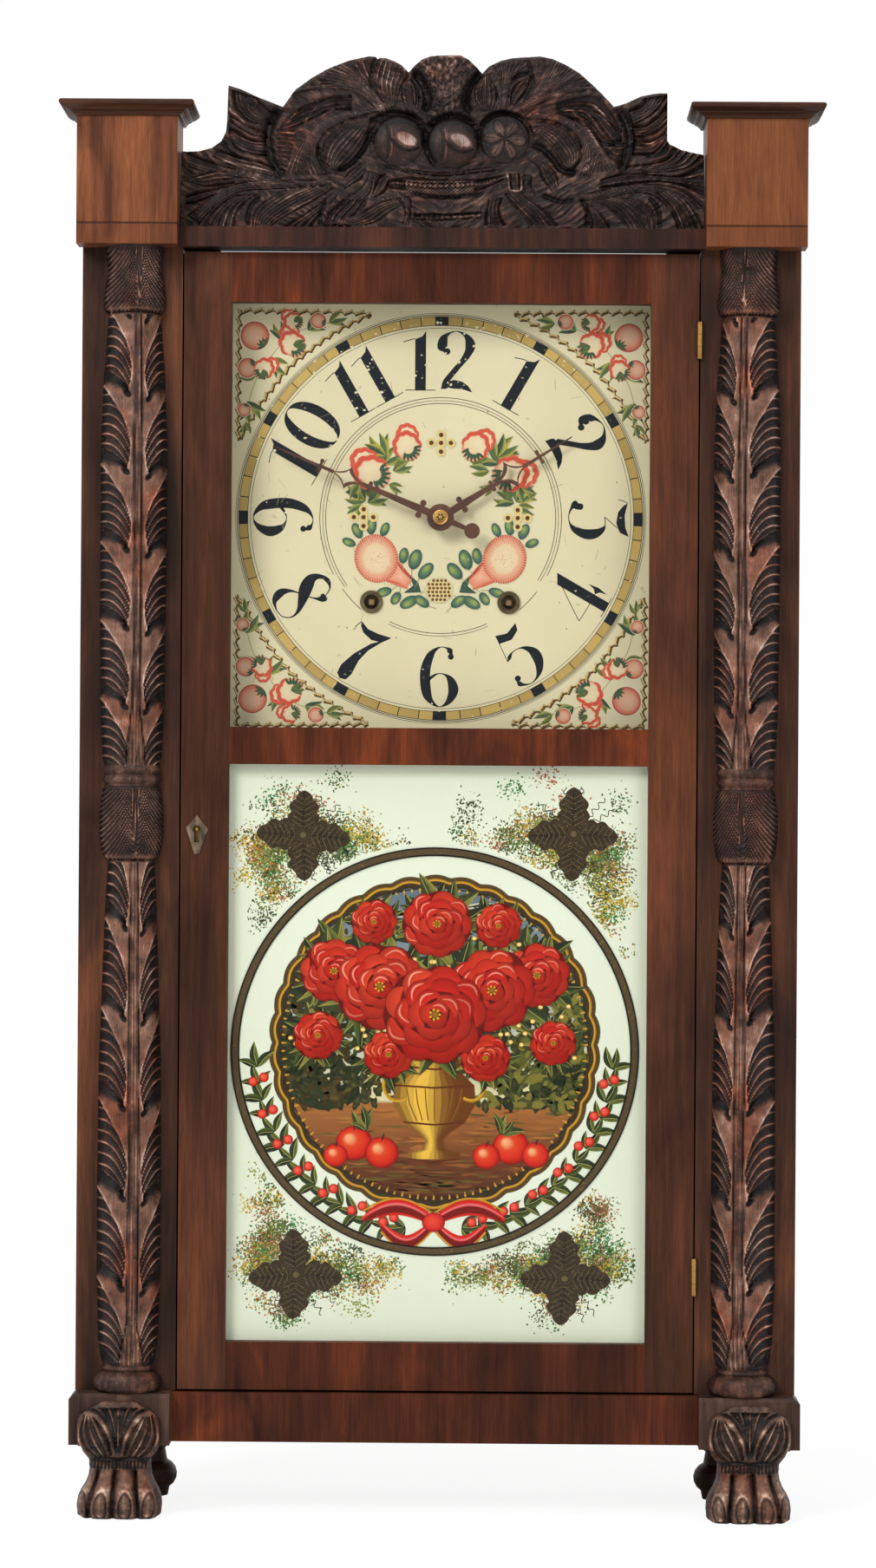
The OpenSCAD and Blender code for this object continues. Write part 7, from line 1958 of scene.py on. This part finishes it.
def paint_tablet():
    low, high = box_mm("tablet_glass")
    art = Painting("tablet_painting", TABLET_CENTRE, high.y + 1.3)
    dice = np.random.RandomState(7)
    cx, cz = TABLET_CENTRE
    left, right, down, up = low.x - cx, high.x - cx, low.z - cz, high.z - cz
    sheet = [(left, down), (right, down), (right, up), (left, up)]
    art.shape(sheet, srgb(226, 230, 208), srgb(240, 243, 228))
    for x, z, seed in CORNERS:
        ornament(art, x, z, 1.0, seed)
    picture_ground(art)
    sky_and_earth(art, dice)
    dark_trees(art, dice)
    scalloped_frame(art)
    garland(art, dice)
    gilt_urn(art)
    table_fruit(art, dice)
    bouquet(art, dice)
    dark_ring(art, dice)
    art.finish("door", old_paint("Tablet painting", gloss=0.42, crackle=0.2))


paint_tablet()


# ---------------------------------------------------------------- hand collet, fall cords
COLLET_PROFILE = (  # distance behind the hand's face, radius
    (0.0, 4.7), (-0.35, 4.9), (-0.5, 4.6), (-0.42, 4.1), (-0.2, 3.8), (-0.28, 3.2), (-0.5, 3.0),
    (-0.55, 1.2), (-1.3, 1.1), (-1.5, 0.7),
)
hand_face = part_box("minute_hand")[0].y / MM


def turned_piece(name, profile, place, axis, material, steps=40):
    """A revolved piece: profile is (distance along the axis, radius), in millimetres."""
    build = bmesh.new()
    along, around = Vector(axis), Vector((1, 0, 0))
    other = along.cross(around)
    rings = []
    for reach, radius in profile:
        ring = []
        for k in range(steps):
            a = 2 * math.pi * k / steps
            out = (around * math.cos(a) + other * math.sin(a)) * radius
            ring.append(build.verts.new((Vector(place) + along * reach + out) * MM))
        rings.append(ring)
    skin(build, rings)
    bmesh.ops.recalc_face_normals(build, faces=build.faces)
    return new_piece(name, mesh_from(build, name), material, 40)


def hand_collet():
    """The brass collet of the hands, round a six-lobed socket whose hollow is painted dark as shade."""
    place = (DIAL_CENTRE[0], hand_face + 0.02, DIAL_CENTRE[1])
    collet = turned_piece("hand_collet", COLLET_PROFILE, place, (0, 1, 0), brass)
    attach(collet, "minute_hand")
    # painted shade: a dark six-lobed star in the socket's hollow
    socket = Painting("collet_socket_shade", DIAL_CENTRE, hand_face - 0.52)
    around = np.linspace(0, 2 * np.pi, 61)[:-1]
    reach = (2.1 + 0.7 * np.cos(around * 6))[:, None]
    socket.shape(pairs(np.cos(around), np.sin(around)) * reach, srgb(50, 36, 22))
    socket.finish("minute_hand", old_paint("Painted socket shade"))


def fall_cord(name):
    """The cord from a pulley down to its weight."""
    low, high = box_mm(name + "_fall_cord")
    x, y, radius = (low.x + high.x) / 2, (low.y + high.y) / 2, (high.x - low.x) / 2
    run = [(z, radius) for z in np.linspace(0, high.z - low.z, 12)]
    gut = twisted_cord(name + " gut line")
    cord = turned_piece(name + "_fall_line", run, (x, y, low.z), (0, 0, 1), gut, 12)
    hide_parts(name + "_fall_cord")
    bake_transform(cord)


hand_collet()
for name in ("time", "strike"):
    fall_cord(name)


# ---------------------------------------------------------------- camera, lamps, floor
CAMERA_PLACE = (0.025, -3.0, 0.464)
YAW, PITCH, ROLL = (math.radians(a) for a in (0.49, 0.2, -0.38))
FOCAL_PIXELS, PICTURE_HEIGHT = 5261.0, 1808.0
LAMPS = (  # name, place, what it points at, size, and power
    ("Key lamp", (-1.5, -2.3, 2.2), (0, 0, 0.5), (1.1, 1.1), 62),
    ("Fill lamp", (1.9, -2.4, 1.1), (0, 0, 0.45), (1.4, 1.8), 20),
    ("Top lamp", (0.2, -0.4, 2.6), (0, 0, 0.6), (1.6, 1.0), 12),
)


def look():
    """The camera, fitted to the edges of the case: 3 m away, a little right of the middle."""
    level = math.cos(PITCH)
    ahead = Vector((-math.sin(YAW) * level, math.cos(YAW) * level, math.sin(PITCH)))
    right = Vector((math.cos(YAW), math.sin(YAW), 0))
    up = right.cross(ahead)
    c, s = math.cos(ROLL), math.sin(ROLL)
    right, up = right * c - up * s, right * s + up * c
    data = bpy.data.cameras.new("Camera")
    data.sensor_width = 36.0
    data.lens = data.sensor_width * FOCAL_PIXELS / PICTURE_HEIGHT
    camera = bpy.data.objects.new("Camera", data)
    rows = [[right[i], up[i], -ahead[i], CAMERA_PLACE[i]] for i in range(3)]
    camera.matrix_world = Matrix(rows + [[0, 0, 0, 1]])
    bpy.context.scene.collection.objects.link(camera)
    bpy.context.scene.camera = camera


def lamp(name, place, target, size, power):
    data = bpy.data.lights.new(name, "AREA")
    data.shape = "RECTANGLE"
    data.size, data.size_y = size
    data.energy = power
    light = bpy.data.objects.new(name, data)
    light.location = place
    light.rotation_mode = "QUATERNION"
    light.rotation_quaternion = (Vector(target) - Vector(place)).to_track_quat("-Z", "Y")
    bpy.context.scene.collection.objects.link(light)


def studio():
    """Three lamps in a white room, which is white to the camera and dimmer as a light."""
    bpy.context.scene.view_settings.view_transform = "Standard"
    for one in LAMPS:
        lamp(*one)
    world = bpy.data.worlds.new("White room")
    bpy.context.scene.world = world
    world.use_nodes = True
    tree = Tree(world.node_tree)
    path = tree.add("ShaderNodeLightPath").outputs
    behind = tree.axis(tree.add("ShaderNodeTexCoord").outputs["Generated"], "Y")
    seen = tree.math("MULTIPLY", path["Is Glossy Ray"], tree.spread(behind, -0.2, 0.4))
    seen = tree.math("MAXIMUM", seen, path["Is Camera Ray"])
    seen = tree.math("MAXIMUM", seen, path["Is Transmission Ray"])
    strength = tree.spread(seen, 0.0, 1.0, 0.42, 1.0)
    sky = tree.add("ShaderNodeBackground", {"Color": (1, 1, 1, 1), "Strength": strength})
    tree.add("ShaderNodeOutputWorld", {"Surface": sky.outputs[0]})


def floor():
    """A white floor that keeps the object's soft shadow and is white to the camera elsewhere."""
    white = Finish("White floor", Roughness=0.9)
    clouds = white.spread(white.noise(white.coords, 3.0, 2.0), 0.3, 0.7, 0, 0.04)
    white.dress(white.blend(clouds, (0.92, 0.92, 0.92, 1), (0.86, 0.86, 0.86, 1)), shine=0.1)
    path = white.add("ShaderNodeLightPath").outputs
    glow = white.add("ShaderNodeEmission", {"Color": (1, 1, 1, 1), "Strength": 1.1}).outputs[0]
    far = white.add("ShaderNodeVectorMath", {0: white.coords}, operation="LENGTH").outputs["Value"]
    share = white.math("MULTIPLY", path["Is Camera Ray"], white.spread(far, 0.35, 1.1, 0.8, 1.0))
    both = white.add("ShaderNodeMixShader", {0: share, 1: white.body.outputs[0], 2: glow})
    white.put(both.outputs[0], white.out.inputs["Surface"])
    build = bmesh.new()
    bmesh.ops.create_grid(build, x_segments=12, y_segments=12, size=6)
    new_piece("Floor", mesh_from(build, "Floor"), white.material)


look()
studio()
floor()
